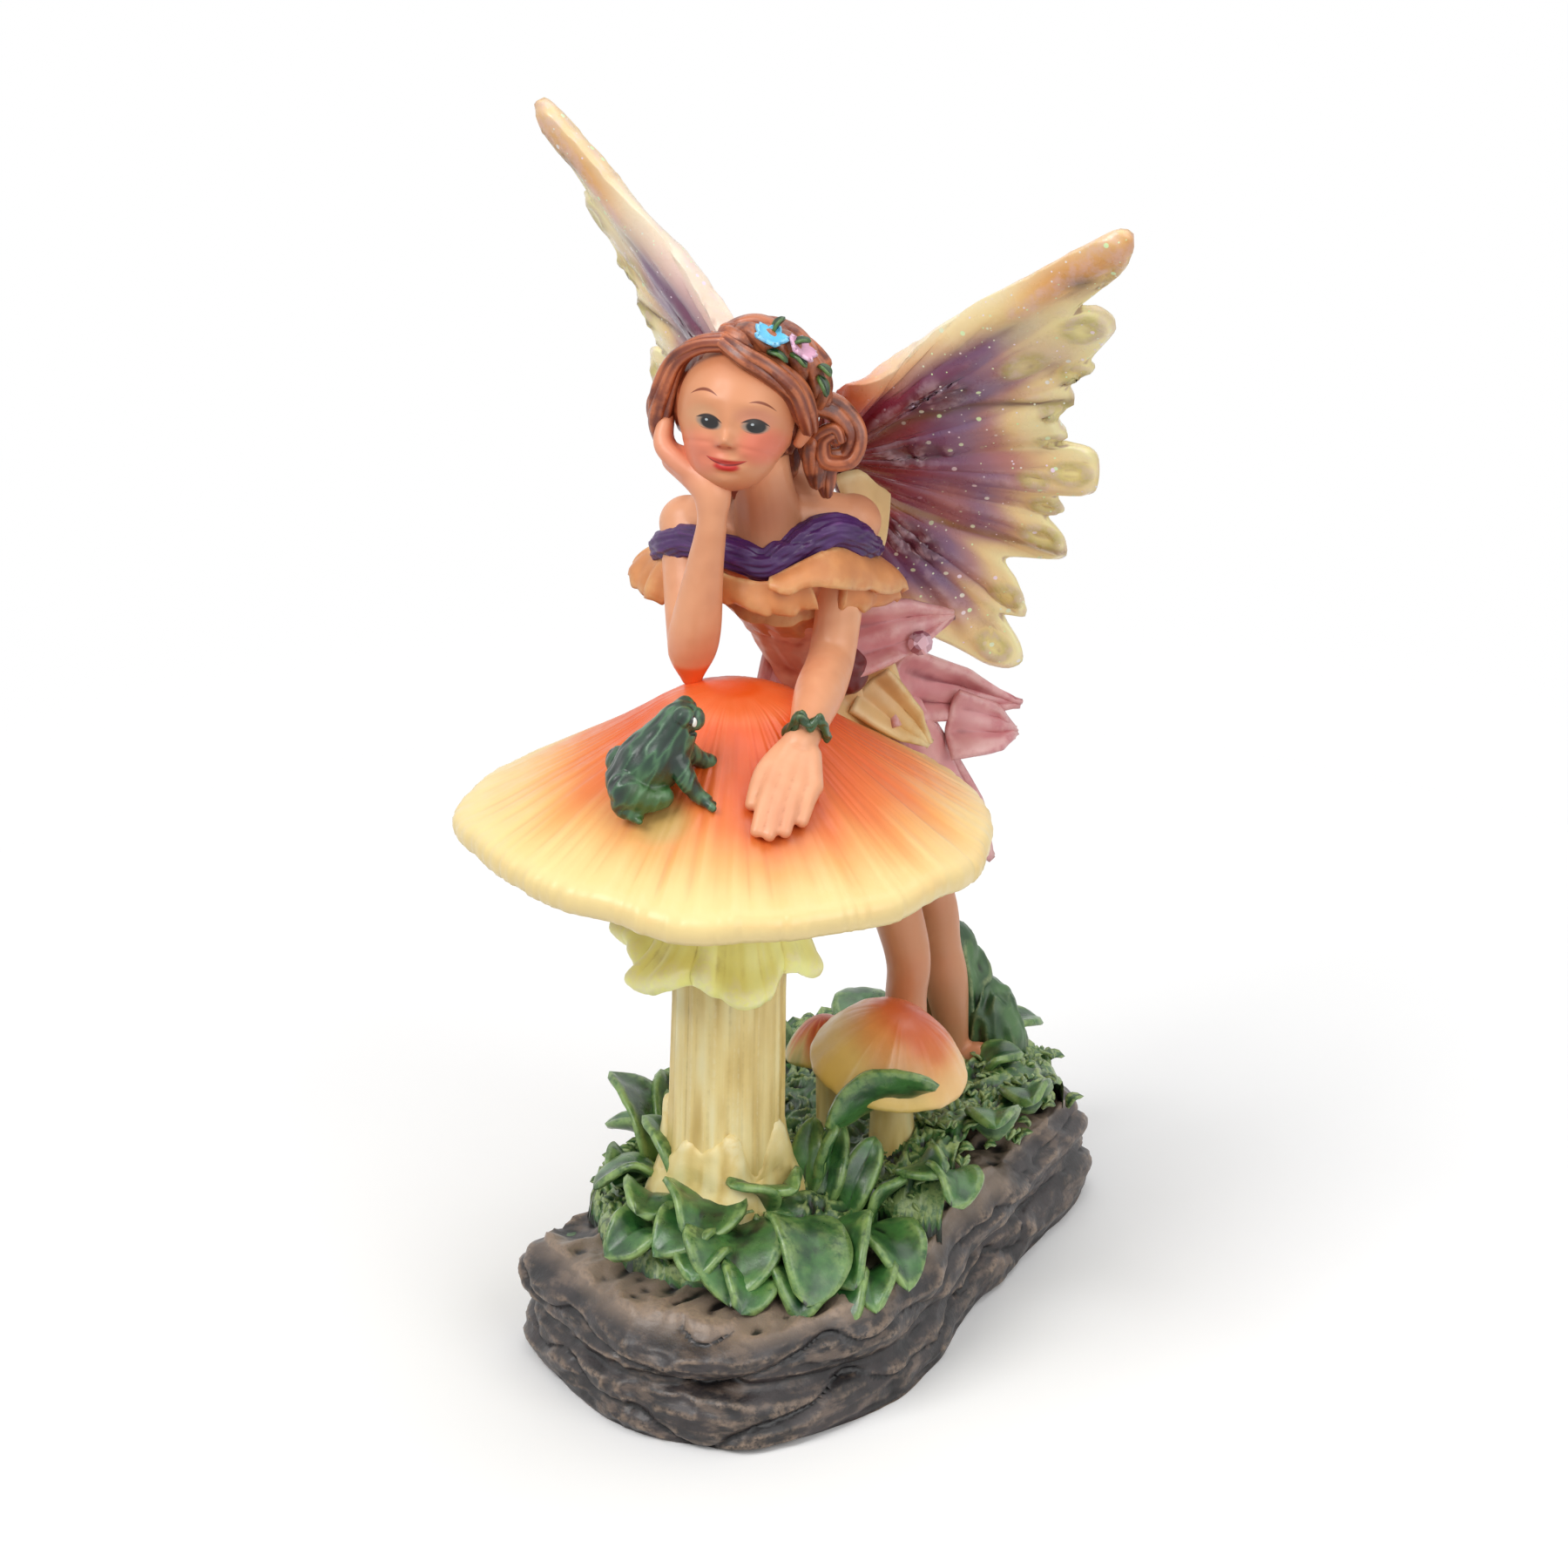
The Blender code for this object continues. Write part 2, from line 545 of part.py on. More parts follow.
def build_dress():
    """The gathered neckline, two flared sleeve cuffs, the skirt and its curled petals."""
    pieces = [limb("neckline", [
        (fairy(*place), 0.0016) for place in (
            (-0.0112, 0.0078, 0.0080), (-0.0090, 0.0060, 0.0092), (-0.0067, 0.0053, 0.0100),
            (-0.0030, 0.0050, 0.0097), (-0.0003, 0.0055, 0.0090), (0.0012, 0.0065, 0.0097),
            (0.0026, 0.0078, 0.0108), (0.0042, 0.0092, 0.0115), (0.0052, 0.0108, 0.0108),
            (0.0051, 0.0141, 0.0085))])]
    pieces.append(ball("bust", CHEST + FRONT * 0.0016, (0.0052, 0.0036, 0.0034), (0.0, 0.0, 23.0)))
    for name, shoulder, outward in (("right", SHOULDER_RIGHT, -1.0), ("left", SHOULDER_LEFT, 1.0)):
        down = (LATERAL * 0.25 * outward + FRONT * 0.15 + Vector((0.0, 0.0, -1.0))).normalized()
        rings = []
        for reach, radius, flutter in ((0.0024, 0.0026, 0.0), (0.0036, 0.0034, 0.06), (0.0047, 0.0045, 0.12),
                                       (0.0054, 0.0043, 0.12), (0.0048, 0.0026, 0.0)):
            rings.append(body_ring(shoulder + down * reach, LATERAL, FRONT, radius, radius * 0.85,
                                   24, 5, flutter))
        pieces.append(loft(f"sleeve_{name}", rings))
    pieces.append(loft("bodice_hem", [
        body_ring(WAIST.lerp(CHEST, along), LATERAL, FRONT, wide * WAIST_RADIUS, wide * 0.82 * WAIST_RADIUS)
        for along, wide in ((0.62, 1.30), (0.66, 1.48), (0.95, 1.42))]))
    hem = HIPS + Vector((0.0020, 0.0030, -0.0130))
    stations = [
        (WAIST.lerp(HIPS, 0.25), 0.47, 0.40, 0.02), (WAIST.lerp(HIPS, 0.65), 0.62, 0.52, 0.05),
        (HIPS, 0.74, 0.66, 0.08), (HIPS.lerp(hem, 0.5), 0.87, 0.80, 0.11), (hem, 1.0, 0.95, 0.14),
    ]
    rings = []
    for center, across, deep, depth in stations:
        lean = FRONT - Vector((0.0, 0.0, 0.15 if center is hem else 0.35))
        rings.append(body_ring(center, LATERAL, lean, across * SKIRT_RADIUS, deep * SKIRT_RADIUS,
                               42, 7, depth))
    pieces.append(loft("skirt", rings))
    return pieces + build_petals()


STONE_PLACE = fairy(0.0079, 0.0186, -0.0013)
STONE_FACING = Vector((0.43, -0.81, 0.41)).normalized()


def petal(name, foot, tip, width, arch, cup, twist=0.0):
    """A skirt petal: a leaf-like sheet that turns about its length towards the tip."""
    along = tip - foot
    side = along.cross(STONE_FACING).normalized()
    lift = side.cross(along).normalized()
    rows = []
    for step in range(9):
        t = step / 8
        spin = Matrix.Rotation(math.radians(twist) * t, 3, along.normalized())
        spine = foot + along * t + lift * along.length * arch * math.sin(math.pi * t)
        half = 0.5 * width * (1.0 - 0.55 * t) * (1.0 if t < 0.75 else math.sqrt(max(0.0, (1.0 - t) / 0.25)))
        half = max(half, 0.0004)
        rows.append([spine + spin @ (side * half * across) + lift * cup * half * (across ** 2 - 0.3)
                     for across in (-1.0, -0.5, 0.0, 0.5, 1.0)])
    return sheet(name, rows, CLOTH_THICKNESS)


def build_petals():
    """The flare that carries the stone, the curled flare below it and the petals of the hem."""
    pieces = [petal("flare_upper", fairy(0.0019, 0.0156, -0.0014), fairy(0.0089, 0.0228, 0.0000),
                    0.0068, 0.05, 0.25)]
    pieces.append(ball("stone_seat", STONE_PLACE - STONE_FACING * 0.0008, [STONE_RADIUS + 0.0006] * 3))
    pieces.append(petal("flare_lower", fairy(0.0046, 0.0196, -0.0062), fairy(0.0112, 0.0316, -0.0112),
                        0.0072, -0.16, 0.45, 30.0))
    pieces.append(petal("flare_curl", fairy(0.0070, 0.0262, -0.0120), fairy(0.0108, 0.0318, -0.0140),
                        0.0060, 0.16, 0.50, -25.0))
    pieces.append(petal("petal_back", fairy(0.0030, 0.0240, -0.0140), fairy(0.0088, 0.0312, -0.0264),
                        0.0080, 0.06, 0.30))
    pieces.append(petal("petal_cream", fairy(0.0020, 0.0172, -0.0050), fairy(0.0046, 0.0200, -0.0110),
                        0.0080, 0.10, 0.35))
    hem = HIPS + Vector((0.0020, 0.0030, -0.0130))
    for index in range(7):
        angle = 2 * math.pi * index / 7
        outward = Vector((math.cos(angle), math.sin(angle), 0.0))
        foot = HIPS.lerp(hem, 0.35) + outward * SKIRT_RADIUS * 0.72
        tip = hem + outward * SKIRT_RADIUS * 1.02 + Vector((0.0, 0.0, -0.0022 - 0.0010 * (index % 2)))
        along = tip - foot
        side = along.cross(outward).normalized()
        rows = []
        for step in range(6):
            t = step / 5
            half = 0.0042 * math.sqrt(max(0.02, 1.0 - t ** 3))
            rows.append([foot + along * t + side * half * across
                         + outward * 0.0012 * (math.sin(3 * t) - across ** 2)
                         for across in (-1.0, -0.5, 0.0, 0.5, 1.0)])
        pieces.append(sheet(f"hem_petal_{index}", rows, CLOTH_THICKNESS))
    return pieces


def build_legs():
    """Two legs from under the skirt to feet sunk in the moss."""
    pieces = []
    for name, hip, knee, ankle, toe in (
            ("left", (0.0005, 0.0060), (0.0057, 0.0052), (0.0056, 0.0042), (0.0060, 0.0012)),
            ("right", (0.0010, 0.0110), (0.0046, 0.0136), (0.0074, 0.0150), (0.0100, 0.0150))):
        foot = on_ground(*ankle, -0.0010)
        top = Vector((*hip, HIPS.z - 0.0060))
        bend = Vector((*knee, foot.z + 0.52 * (top.z - foot.z)))
        calf = bend.lerp(foot, 0.45)
        pieces.append(limb(f"leg_{name}", [
            (top, LEG_RADIUS * 1.5), (bend, LEG_RADIUS * 0.98), (calf, LEG_RADIUS * 0.95),
            (bend.lerp(foot, 0.85), LEG_RADIUS * 0.60), (foot, LEG_RADIUS * 0.75)]))
        end = on_ground(*toe, 0.0002)
        pieces.append(limb(f"foot_{name}", [(foot + Vector((0.0, 0.0, 0.0012)), LEG_RADIUS * 0.75),
                                            (end, LEG_RADIUS * 0.5)]))
    return pieces


ELBOW = fairy(-0.0047, 0.0009, 0.0018)
CHEEK = HEAD + Vector((-0.0042, -0.0036, -0.0036))


def build_arms():
    """One arm props the cheek on its elbow, the other lies across the cap."""
    wrist = fairy(-0.0024, 0.0004, 0.0145)
    palm = fairy(-0.0030, 0.0010, 0.0172)
    pieces = [
        limb("upper_arm_right", [(SHOULDER_RIGHT, ARM_RADIUS * 1.20),
                                 (SHOULDER_RIGHT.lerp(ELBOW, 0.5), ARM_RADIUS * 1.10),
                                 (ELBOW, ARM_RADIUS * 0.95)]),
        limb("forearm_right", [(ELBOW - Vector((0.0, 0.0, 0.0022)), ARM_RADIUS * 0.45),
                               (ELBOW, ARM_RADIUS * 0.95),
                               (ELBOW.lerp(wrist, 0.22), ARM_RADIUS * 1.02),
                               (ELBOW.lerp(wrist, 0.6), ARM_RADIUS * 0.78), (wrist, ARM_RADIUS * 0.60),
                               (palm, ARM_RADIUS * 0.74)]),
        limb("hand_right", [(wrist, ARM_RADIUS * 0.55), (palm, ARM_RADIUS * 0.80),
                            (CHEEK + Vector((-0.0010, 0.0, 0.0010)), ARM_RADIUS * 0.62),
                            (CHEEK + Vector((-0.0016, 0.0014, 0.0030)), ARM_RADIUS * 0.40)]),
    ]
    elbow = fairy(0.0043, 0.0090, 0.0002)
    wrist = on_cap(0.364, -0.114, 0.0017)
    pieces.append(limb("arm_left", [
        (SHOULDER_LEFT, ARM_RADIUS * 1.15), (SHOULDER_LEFT.lerp(elbow, 0.55), ARM_RADIUS),
        (elbow, ARM_RADIUS * 0.95), (elbow.lerp(wrist, 0.5), ARM_RADIUS), (wrist, ARM_RADIUS * 0.74),
        (on_cap(0.385, -0.300, 0.0014), ARM_RADIUS * 0.80)]))
    for index, (across, along, tip_across, tip_along) in enumerate((
            (0.345, -0.330, 0.405, -0.575), (0.392, -0.345, 0.447, -0.560), (0.438, -0.330, 0.485, -0.510),
            (0.478, -0.300, 0.508, -0.430))):
        knuckle = on_cap(across, along, 0.0012)
        pieces.append(limb(f"finger_{index}", [(wrist, ARM_RADIUS * 0.50), (knuckle, ARM_RADIUS * 0.52),
                                               (on_cap(tip_across, tip_along, 0.0007), ARM_RADIUS * 0.38)]))
    pieces.append(limb("thumb", [(wrist, ARM_RADIUS * 0.45),
                                 (on_cap(0.325, -0.40, 0.0010), ARM_RADIUS * 0.42),
                                 (on_cap(0.338, -0.50, 0.0005), ARM_RADIUS * 0.34)]))
    pieces.append(leaf("bracelet", wrist + Vector((-0.0022, 0.0003, 0.0006)),
                       wrist + Vector((0.0026, 0.0006, 0.0006)), 0.0020))
    return pieces


FACE = Vector((0.36, -0.90, 0.22)).normalized()
HEAD_ROLL = 5.0


def build_head():
    """Head with plain features: brow, nose, lips and chin, under parted hair."""
    level = Vector((0.0, 0.0, 1.0)).cross(FACE).normalized()
    upright = FACE.cross(level)
    roll = math.radians(HEAD_ROLL)
    side = level * math.cos(roll) - upright * math.sin(roll)
    crown = upright * math.cos(roll) + level * math.sin(roll)
    size = HEAD_RADIUS

    def spot(across, up, ahead):
        return HEAD + (side * across + crown * up + FACE * ahead) * size

    def strand(name, stations):
        return limb(name, [(spot(*place), radius * size) for *place, radius in stations])

    pieces = [
        ball("skull", spot(0.0, 0.15, 0.0), [size * 0.88, size * 0.92, size * 0.98]),
        ball("jaw", spot(-0.02, -0.46, 0.28), [size * 0.66, size * 0.60, size * 0.62]),
        strand("nose", [(0.0, 0.0, 0.84, 0.08), (0.0, -0.24, 0.95, 0.11), (0.0, -0.30, 0.86, 0.10)]),
        ball("hair_back", spot(-0.02, 0.20, -0.32), [size * 1.03, size * 0.96, size * 1.0]),
        ball("hair_nape", spot(0.05, -0.62, -0.62), [size * 0.72, size * 0.62, size * 0.70]),
        strand("lock_right", [(-0.34, 1.02, 0.52, 0.18), (-0.78, 0.74, 0.42, 0.22), (-1.02, 0.20, 0.20, 0.24),
                              (-1.06, -0.22, 0.05, 0.24), (-0.98, -0.55, 0.0, 0.15)]),
        strand("lock_left", [(-0.30, 1.03, 0.52, 0.16), (0.42, 0.94, 0.50, 0.19), (0.86, 0.50, 0.36, 0.19),
                             (0.94, 0.0, 0.15, 0.17)]),
        strand("braid", [(-0.40, 1.06, 0.30, 0.16), (0.08, 1.12, 0.42, 0.20), (0.60, 0.98, 0.34, 0.22),
                         (0.96, 0.58, 0.10, 0.19)]),
        strand("curl", [(0.92, 0.25, -0.20, 0.20), (1.22, 0.18, -0.25, 0.20), (1.52, -0.10, -0.28, 0.18),
                        (1.46, -0.45, -0.28, 0.18), (1.14, -0.50, -0.26, 0.18), (1.08, -0.22, -0.22, 0.18)]),
        strand("strand", [(0.95, -0.30, -0.25, 0.22), (1.02, -0.80, -0.35, 0.20),
                          (1.08, -1.15, -0.40, 0.12)]),
    ]
    for index, (across, up, ahead) in enumerate(((0.30, 1.12, 0.60), (0.82, 0.90, 0.46))):
        pieces.append(ball(f"flower_{index}", spot(across, up, ahead), [size * 0.24] * 3))
    return pieces


def fuse(name, pieces, triangles):
    """Fuses overlapping closed pieces into one body and thins it to a triangle count."""
    joined = bmesh.new()
    for piece in pieces:
        joined.from_mesh(piece.data)
    mesh = bpy.data.meshes.new(name)
    joined.to_mesh(mesh)
    joined.free()
    for piece in pieces:
        bpy.data.objects.remove(piece)
    body = new_object(name, mesh)
    skin = body.modifiers.new("fuse", "REMESH")
    skin.mode = "VOXEL"
    skin.voxel_size = VOXEL
    body = applied(body)
    shape = bmesh.new()
    shape.from_mesh(body.data)
    bmesh.ops.triangulate(shape, faces=shape.faces)
    shape.to_mesh(body.data)
    shape.free()
    coarse = body.vertex_groups.new(name="coarse")
    for vertex in body.data.vertices:
        plain = 1.0 if vertex.co.z < CAP_CENTER.z else FIGURE_SHARE
        coarse.add([vertex.index], plain, "REPLACE")
    thin = body.modifiers.new("thin", "DECIMATE")
    thin.ratio = min(1.0, triangles / len(body.data.polygons))
    thin.vertex_group = coarse.name
    return applied(body)


def cut(body, cutters):
    """Takes each cutter out of a body."""
    for cutter in cutters:
        cutter.hide_render = True
        cutter.display_type = "WIRE"
        tool = body.modifiers.new("cut", "BOOLEAN")
        tool.operation = "DIFFERENCE"
        tool.object = cutter
        body = applied(body)
        bpy.data.objects.remove(cutter)
    return body


def peg_line(hand):
    """Outer end and inner end of a wing's peg, for the right (-1) or left (+1) wing."""
    root = wing_root(hand)
    inner = root + Vector((-0.12 * hand, -0.92, -0.38)).normalized() * PEG_LENGTH
    return root, inner


def wing_root(hand):
    """Where a wing meets the hair and the back."""
    return fairy(-0.0019 + hand * WING_SPACING / 2, 0.0156, 0.0151)


# The wing's rim, from the top of the leading edge round the lobes to the lower edge:
# angle over the horizontal in degrees, and reach as a share of the longest reach
WING_RIM = [
    (84, 0.11), (60, 0.28), (51.4, 0.49), (46.5, 0.67), (43.8, 0.88), (42.5, 0.99), (40.2, 1.0),
    (37.6, 0.90), (36.4, 0.775), (34.2, 0.80), (30.4, 0.785), (26.7, 0.68), (24.6, 0.67), (22.6, 0.60),
    (18.2, 0.585), (15.0, 0.535), (9.1, 0.527), (6.6, 0.505), (3.9, 0.565), (-1.7, 0.576), (-8.0, 0.557),
    (-10.5, 0.486), (-17.1, 0.492), (-20.5, 0.465), (-26.2, 0.516), (-33.7, 0.525), (-42.0, 0.435),
    (-46.7, 0.50), (-53.1, 0.573), (-57.0, 0.545), (-59.8, 0.64), (-62.5, 0.677), (-66.8, 0.652),
    (-70.2, 0.58),
    (-76.3, 0.49), (-82.0, 0.40),
]
# How far each direction of the wing sweeps back, as a share of its reach
WING_SWEEP = [(-90, 0.50), (-63, 0.58), (-54, 0.68), (-32, 0.71), (-4, 0.50), (20, 0.29), (33, 0.10),
              (42, 0.01), (90, -0.04)]
# The left wing is glued turned a little further back than the right one: degrees about X, Y, Z
WING_SEAT_TURN = {1: (0.0, 0.0, 0.0), -1: (-2.0, 4.0, -7.0)}


def between(table, key):
    """A value read off a table of rising keys."""
    for (low, first), (high, second) in zip(table, table[1:]):
        if key <= high:
            return first + (second - first) * max(0.0, (key - low) / (high - low))
    return table[-1][1]


def wing_point(hand, angle, share, reach):
    """A point on a wing's middle surface, at a share of the rim's reach in one direction."""
    distance = WING_REACH * reach * share
    sweep = between(WING_SWEEP, angle) * distance
    ripple = 0.0005 * math.sin(math.radians(angle) * 16) * share
    return Vector((hand * distance * math.cos(math.radians(angle)), sweep + ripple,
                   distance * math.sin(math.radians(angle))))


def build_wing(name, hand):
    """A scalloped wing with a thick leading edge and a peg at its root."""
    root = wing_root(hand)
    seat = Euler([math.radians(a) for a in WING_SEAT_TURN[hand]]).to_matrix()
    rows = []
    for share in (0.06, 0.22, 0.40, 0.58, 0.75, 0.90, 1.0):
        rows.append([root + seat @ wing_point(hand, angle, share, reach) for angle, reach in WING_RIM])
    outer, inner = peg_line(hand)
    leading = [root + seat @ wing_point(hand, angle, 0.97, reach) for angle, reach in WING_RIM[1:7]]
    pieces = [
        sheet("membrane", rows, WING_THICKNESS),
        limb("edge", [(outer, 0.0012)] + [(place, 0.0012 - 0.0001 * i) for i, place in enumerate(leading)]),
        limb("peg", [(outer + (outer - inner) * 0.2, PEG_RADIUS), (inner, PEG_RADIUS)]),
    ]
    return fuse(name, pieces, WING_TRIANGLES)


def build_stone():
    """A brilliant-cut stone with a table, a crown and a point, set in its seat."""
    profile = [(0.0, STONE_HEIGHT * 0.5), (STONE_RADIUS * 0.55, STONE_HEIGHT * 0.5), (STONE_RADIUS, 0.0),
               (STONE_RADIUS * 0.9, -STONE_HEIGHT * 0.2), (0.0, -STONE_HEIGHT * 0.5)]
    stone = turned_facets("skirt_stone", profile)
    stone.matrix_world = Matrix.Translation(STONE_PLACE) @ Vector((0, 0, 1)).rotation_difference(
        STONE_FACING).to_matrix().to_4x4()
    return applied(stone)


def turned_facets(name, profile):
    """A coarse turned form whose few steps stay flat facets."""
    mesh = bpy.data.meshes.new(name)
    mesh.from_pydata([(radius, 0.0, height) for radius, height in profile], [],
                     [(i, i + 1) for i in range(len(profile) - 1)])
    piece = new_object(name, mesh)
    spin = piece.modifiers.new("turn", "SCREW")
    spin.steps = 10
    spin.render_steps = 10
    spin.use_merge_vertices = True
    spin.merge_threshold = 0.00001
    piece = applied(piece)
    facing_out(piece.data)
    return piece


def cylinder(name, start, end, radius):
    """A round cutter between two points."""
    shape = bmesh.new()
    along = end - start
    matrix = (Matrix.Translation((start + end) / 2)
              @ Vector((0, 0, 1)).rotation_difference(along).to_matrix().to_4x4())
    bmesh.ops.create_cone(shape, cap_ends=True, segments=16, radius1=radius, radius2=radius,
                          depth=along.length, matrix=matrix)
    mesh = bpy.data.meshes.new(name)
    shape.to_mesh(mesh)
    shape.free()
    return new_object(name, mesh)


def block(name, lowest, highest):
    """A box-shaped cutter between two corners."""
    shape = bmesh.new()
    size = highest - lowest
    matrix = Matrix.Translation((lowest + highest) / 2) @ Matrix.Diagonal((*size, 1.0))
    bmesh.ops.create_cube(shape, size=1.0, matrix=matrix)
    mesh = bpy.data.meshes.new(name)
    shape.to_mesh(mesh)
    shape.free()
    return new_object(name, mesh)


def build_casting():
    """Everything that was cast as one, with a flat underside, two sockets and the stone's seat."""
    pieces = (build_rock() + build_mounds() + build_leaves() + build_big_toadstool()
              + build_small_toadstools() + build_frog() + build_torso() + build_dress() + build_legs()
              + build_arms() + build_head())
    body = fuse("figurine_body", pieces, BODY_TRIANGLES)
    below = block("table_cut", Vector((-BASE_WIDTH, -BASE_LENGTH, -BASE_HEIGHT)),
                  Vector((BASE_WIDTH, BASE_LENGTH, 0.0)))
    cutters = [below]
    for hand in (-1, 1):
        outer, inner = peg_line(hand)
        along = (inner - outer).normalized()
        cutters.append(cylinder(f"socket_{hand}", outer - along * PEG_LENGTH * 0.4, inner + along * GLUE_GAP,
                                PEG_RADIUS + GLUE_GAP))
    cutters.append(cylinder("stone_cut", STONE_PLACE - STONE_FACING * (STONE_HEIGHT / 2 + GLUE_GAP),
                            STONE_PLACE + STONE_FACING * STONE_RADIUS * 2.5, STONE_RADIUS + GLUE_GAP))
    return cut(body, cutters)


def paint(piece, name, color, roughness, **extra):
    """Gives a piece its own material."""
    material = bpy.data.materials.new(name)
    material.use_nodes = True
    shader = material.node_tree.nodes["Principled BSDF"]
    shader.inputs["Base Color"].default_value = (*color, 1.0)
    shader.inputs["Roughness"].default_value = roughness
    for key, value in extra.items():
        shader.inputs[key.replace("_", " ")].default_value = value
    piece.data.materials.clear()
    piece.data.materials.append(material)


def main():
    for leftover in list(bpy.data.objects):
        bpy.data.objects.remove(leftover)
    body = build_casting()
    right = build_wing("wing_right", -1)
    left = build_wing("wing_left", 1)
    stone = build_stone()
    paint(body, "painted_resin", (0.62, 0.42, 0.26), 0.5)
    paint(right, "wing_resin", (0.62, 0.36, 0.42), 0.35)
    paint(left, "wing_resin_left", (0.62, 0.36, 0.42), 0.35)
    paint(stone, "pink_glass", (0.85, 0.30, 0.50), 0.08)
    parts = bpy.data.collections.new("fairy_figurine")
    bpy.context.scene.collection.children.link(parts)
    for piece in (body, right, left, stone):
        bpy.context.scene.collection.objects.unlink(piece)
        parts.objects.link(piece)


main()
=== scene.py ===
"""The painted finish of the fairy figurine, dressed over its CAD model.

Lengths in this script are in millimetres until a mesh is made. -Y is the way the fairy
leans, +Z is up, and the origin is the middle of the flat underside.
"""
import math

import bmesh
import bpy
import numpy as np
from mathutils import Euler, Matrix, Vector


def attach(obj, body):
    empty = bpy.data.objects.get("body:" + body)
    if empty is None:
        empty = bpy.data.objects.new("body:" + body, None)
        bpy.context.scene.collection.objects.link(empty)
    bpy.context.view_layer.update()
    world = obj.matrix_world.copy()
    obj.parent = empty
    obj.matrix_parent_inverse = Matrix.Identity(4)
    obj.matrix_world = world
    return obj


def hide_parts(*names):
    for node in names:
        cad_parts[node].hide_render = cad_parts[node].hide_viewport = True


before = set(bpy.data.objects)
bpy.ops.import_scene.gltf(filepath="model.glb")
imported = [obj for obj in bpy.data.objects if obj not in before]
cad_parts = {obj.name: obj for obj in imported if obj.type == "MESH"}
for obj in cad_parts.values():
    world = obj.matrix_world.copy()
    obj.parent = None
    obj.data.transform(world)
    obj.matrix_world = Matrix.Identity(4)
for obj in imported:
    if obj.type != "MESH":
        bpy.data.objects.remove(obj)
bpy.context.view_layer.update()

MM = 0.001

# Driving sizes, as in the CAD model
BASE_WIDTH, BASE_LENGTH, BASE_HEIGHT, SOIL_HEIGHT = 36.2, 69.6, 10.0, 5.5
STEM_RADIUS, STEM_HEIGHT, RING_RADIUS, RING_DROP = 4.8, 34.7, 8.0, 8.0
CAP_RADIUS, CAP_RISE, CAP_EDGE, CAP_TILT = 22.0, 11.3, 2.4, 3.1
SMALL_CAP_RADIUS, SMALL_CAP_HEIGHT, BUD_CAP_RADIUS = 7.0, 19.0, 3.6
HEAD_RADIUS, SHOULDER_WIDTH, SKIRT_RADIUS = 6.2, 14.0, 7.6
WING_REACH, WING_SPACING = 36.8, 3.8


def vec(x, y, z):
    return np.array([x, y, z], dtype=float)


def unit(v):
    v = np.asarray(v, dtype=float)
    return v / np.maximum(np.linalg.norm(v, axis=-1, keepdims=True), 1e-9)


def smooth(low, high, x):
    """0 below low, 1 above high, and a smooth step between."""
    t = np.clip((np.asarray(x, dtype=float) - low) / (high - low), 0.0, 1.0)
    return t * t * (3 - 2 * t)


def bell(x, center, width):
    return np.exp(-((np.asarray(x, dtype=float) - center) / width) ** 2)


def near_place(points, place, size):
    """1 at a place, fading with the distance from it in mm."""
    return np.exp(-(np.linalg.norm(points - place, axis=-1) / size) ** 2)


def near_angle(angle, degrees, width):
    """1 in a direction round a circle, fading to its sides over a width in radians."""
    off = (angle - math.radians(degrees) + np.pi) % (2 * np.pi) - np.pi
    return np.exp(-(off / width) ** 2)


def turned(angles):
    """The matrix that turns by three angles in degrees."""
    return np.array(Euler([math.radians(a) for a in angles]).to_matrix())


def circle_of(count):
    """Angles round a circle, and points on it."""
    angle = np.linspace(0, 2 * np.pi, count, endpoint=False)[None, :]
    return angle, np.stack([np.cos(angle), np.sin(angle), 0 * angle], axis=-1)


def sheet_shares(rows, columns):
    """Shares along a sheet from 0 to 1 and across it from -1 to 1."""
    return np.linspace(0, 1, rows)[:, None], np.linspace(-1, 1, columns)[None, :]


def rim_share(along, across, start=0.85, power=5):
    """1 at a sheet's sides and tip, and 0 inside."""
    return np.maximum(np.abs(across) ** power + 0 * along, smooth(start, 1.0, along) + 0 * across)


def sheet_normal(points):
    return unit(np.cross(np.gradient(points, axis=1), np.gradient(points, axis=0)))


def swollen(rows, relief):
    """Moves rings of points out from their middles by a relief in mm."""
    return rows + unit(rows - rows.mean(axis=1, keepdims=True)) * relief[..., None]


def travelled(path):
    """Length along a path at each of its points."""
    return np.concatenate([[0], np.cumsum(np.linalg.norm(np.diff(path, axis=0), axis=1))])


def rings_between(rows, steps):
    """Rings of points on smooth paths through the given ones."""
    rows = np.array(rows)
    return smooth_path(rows.reshape(len(rows), -1), steps).reshape(-1, rows.shape[1], 3)


def lattice(i, j, k, seed):
    """A repeatable pseudo-random value from 0 to 1 at whole-number places."""
    h = (i * 374761393 + j * 668265263 + k * 2147483647 + seed * 974634777) & 0xFFFFFFFF
    h = ((h ^ (h >> 13)) * 1274126177) & 0xFFFFFFFF
    h = ((h ^ (h >> 16)) * 2246822519) & 0xFFFFFFFF
    return ((h >> 8) & 0xFFFF) / 65535.0


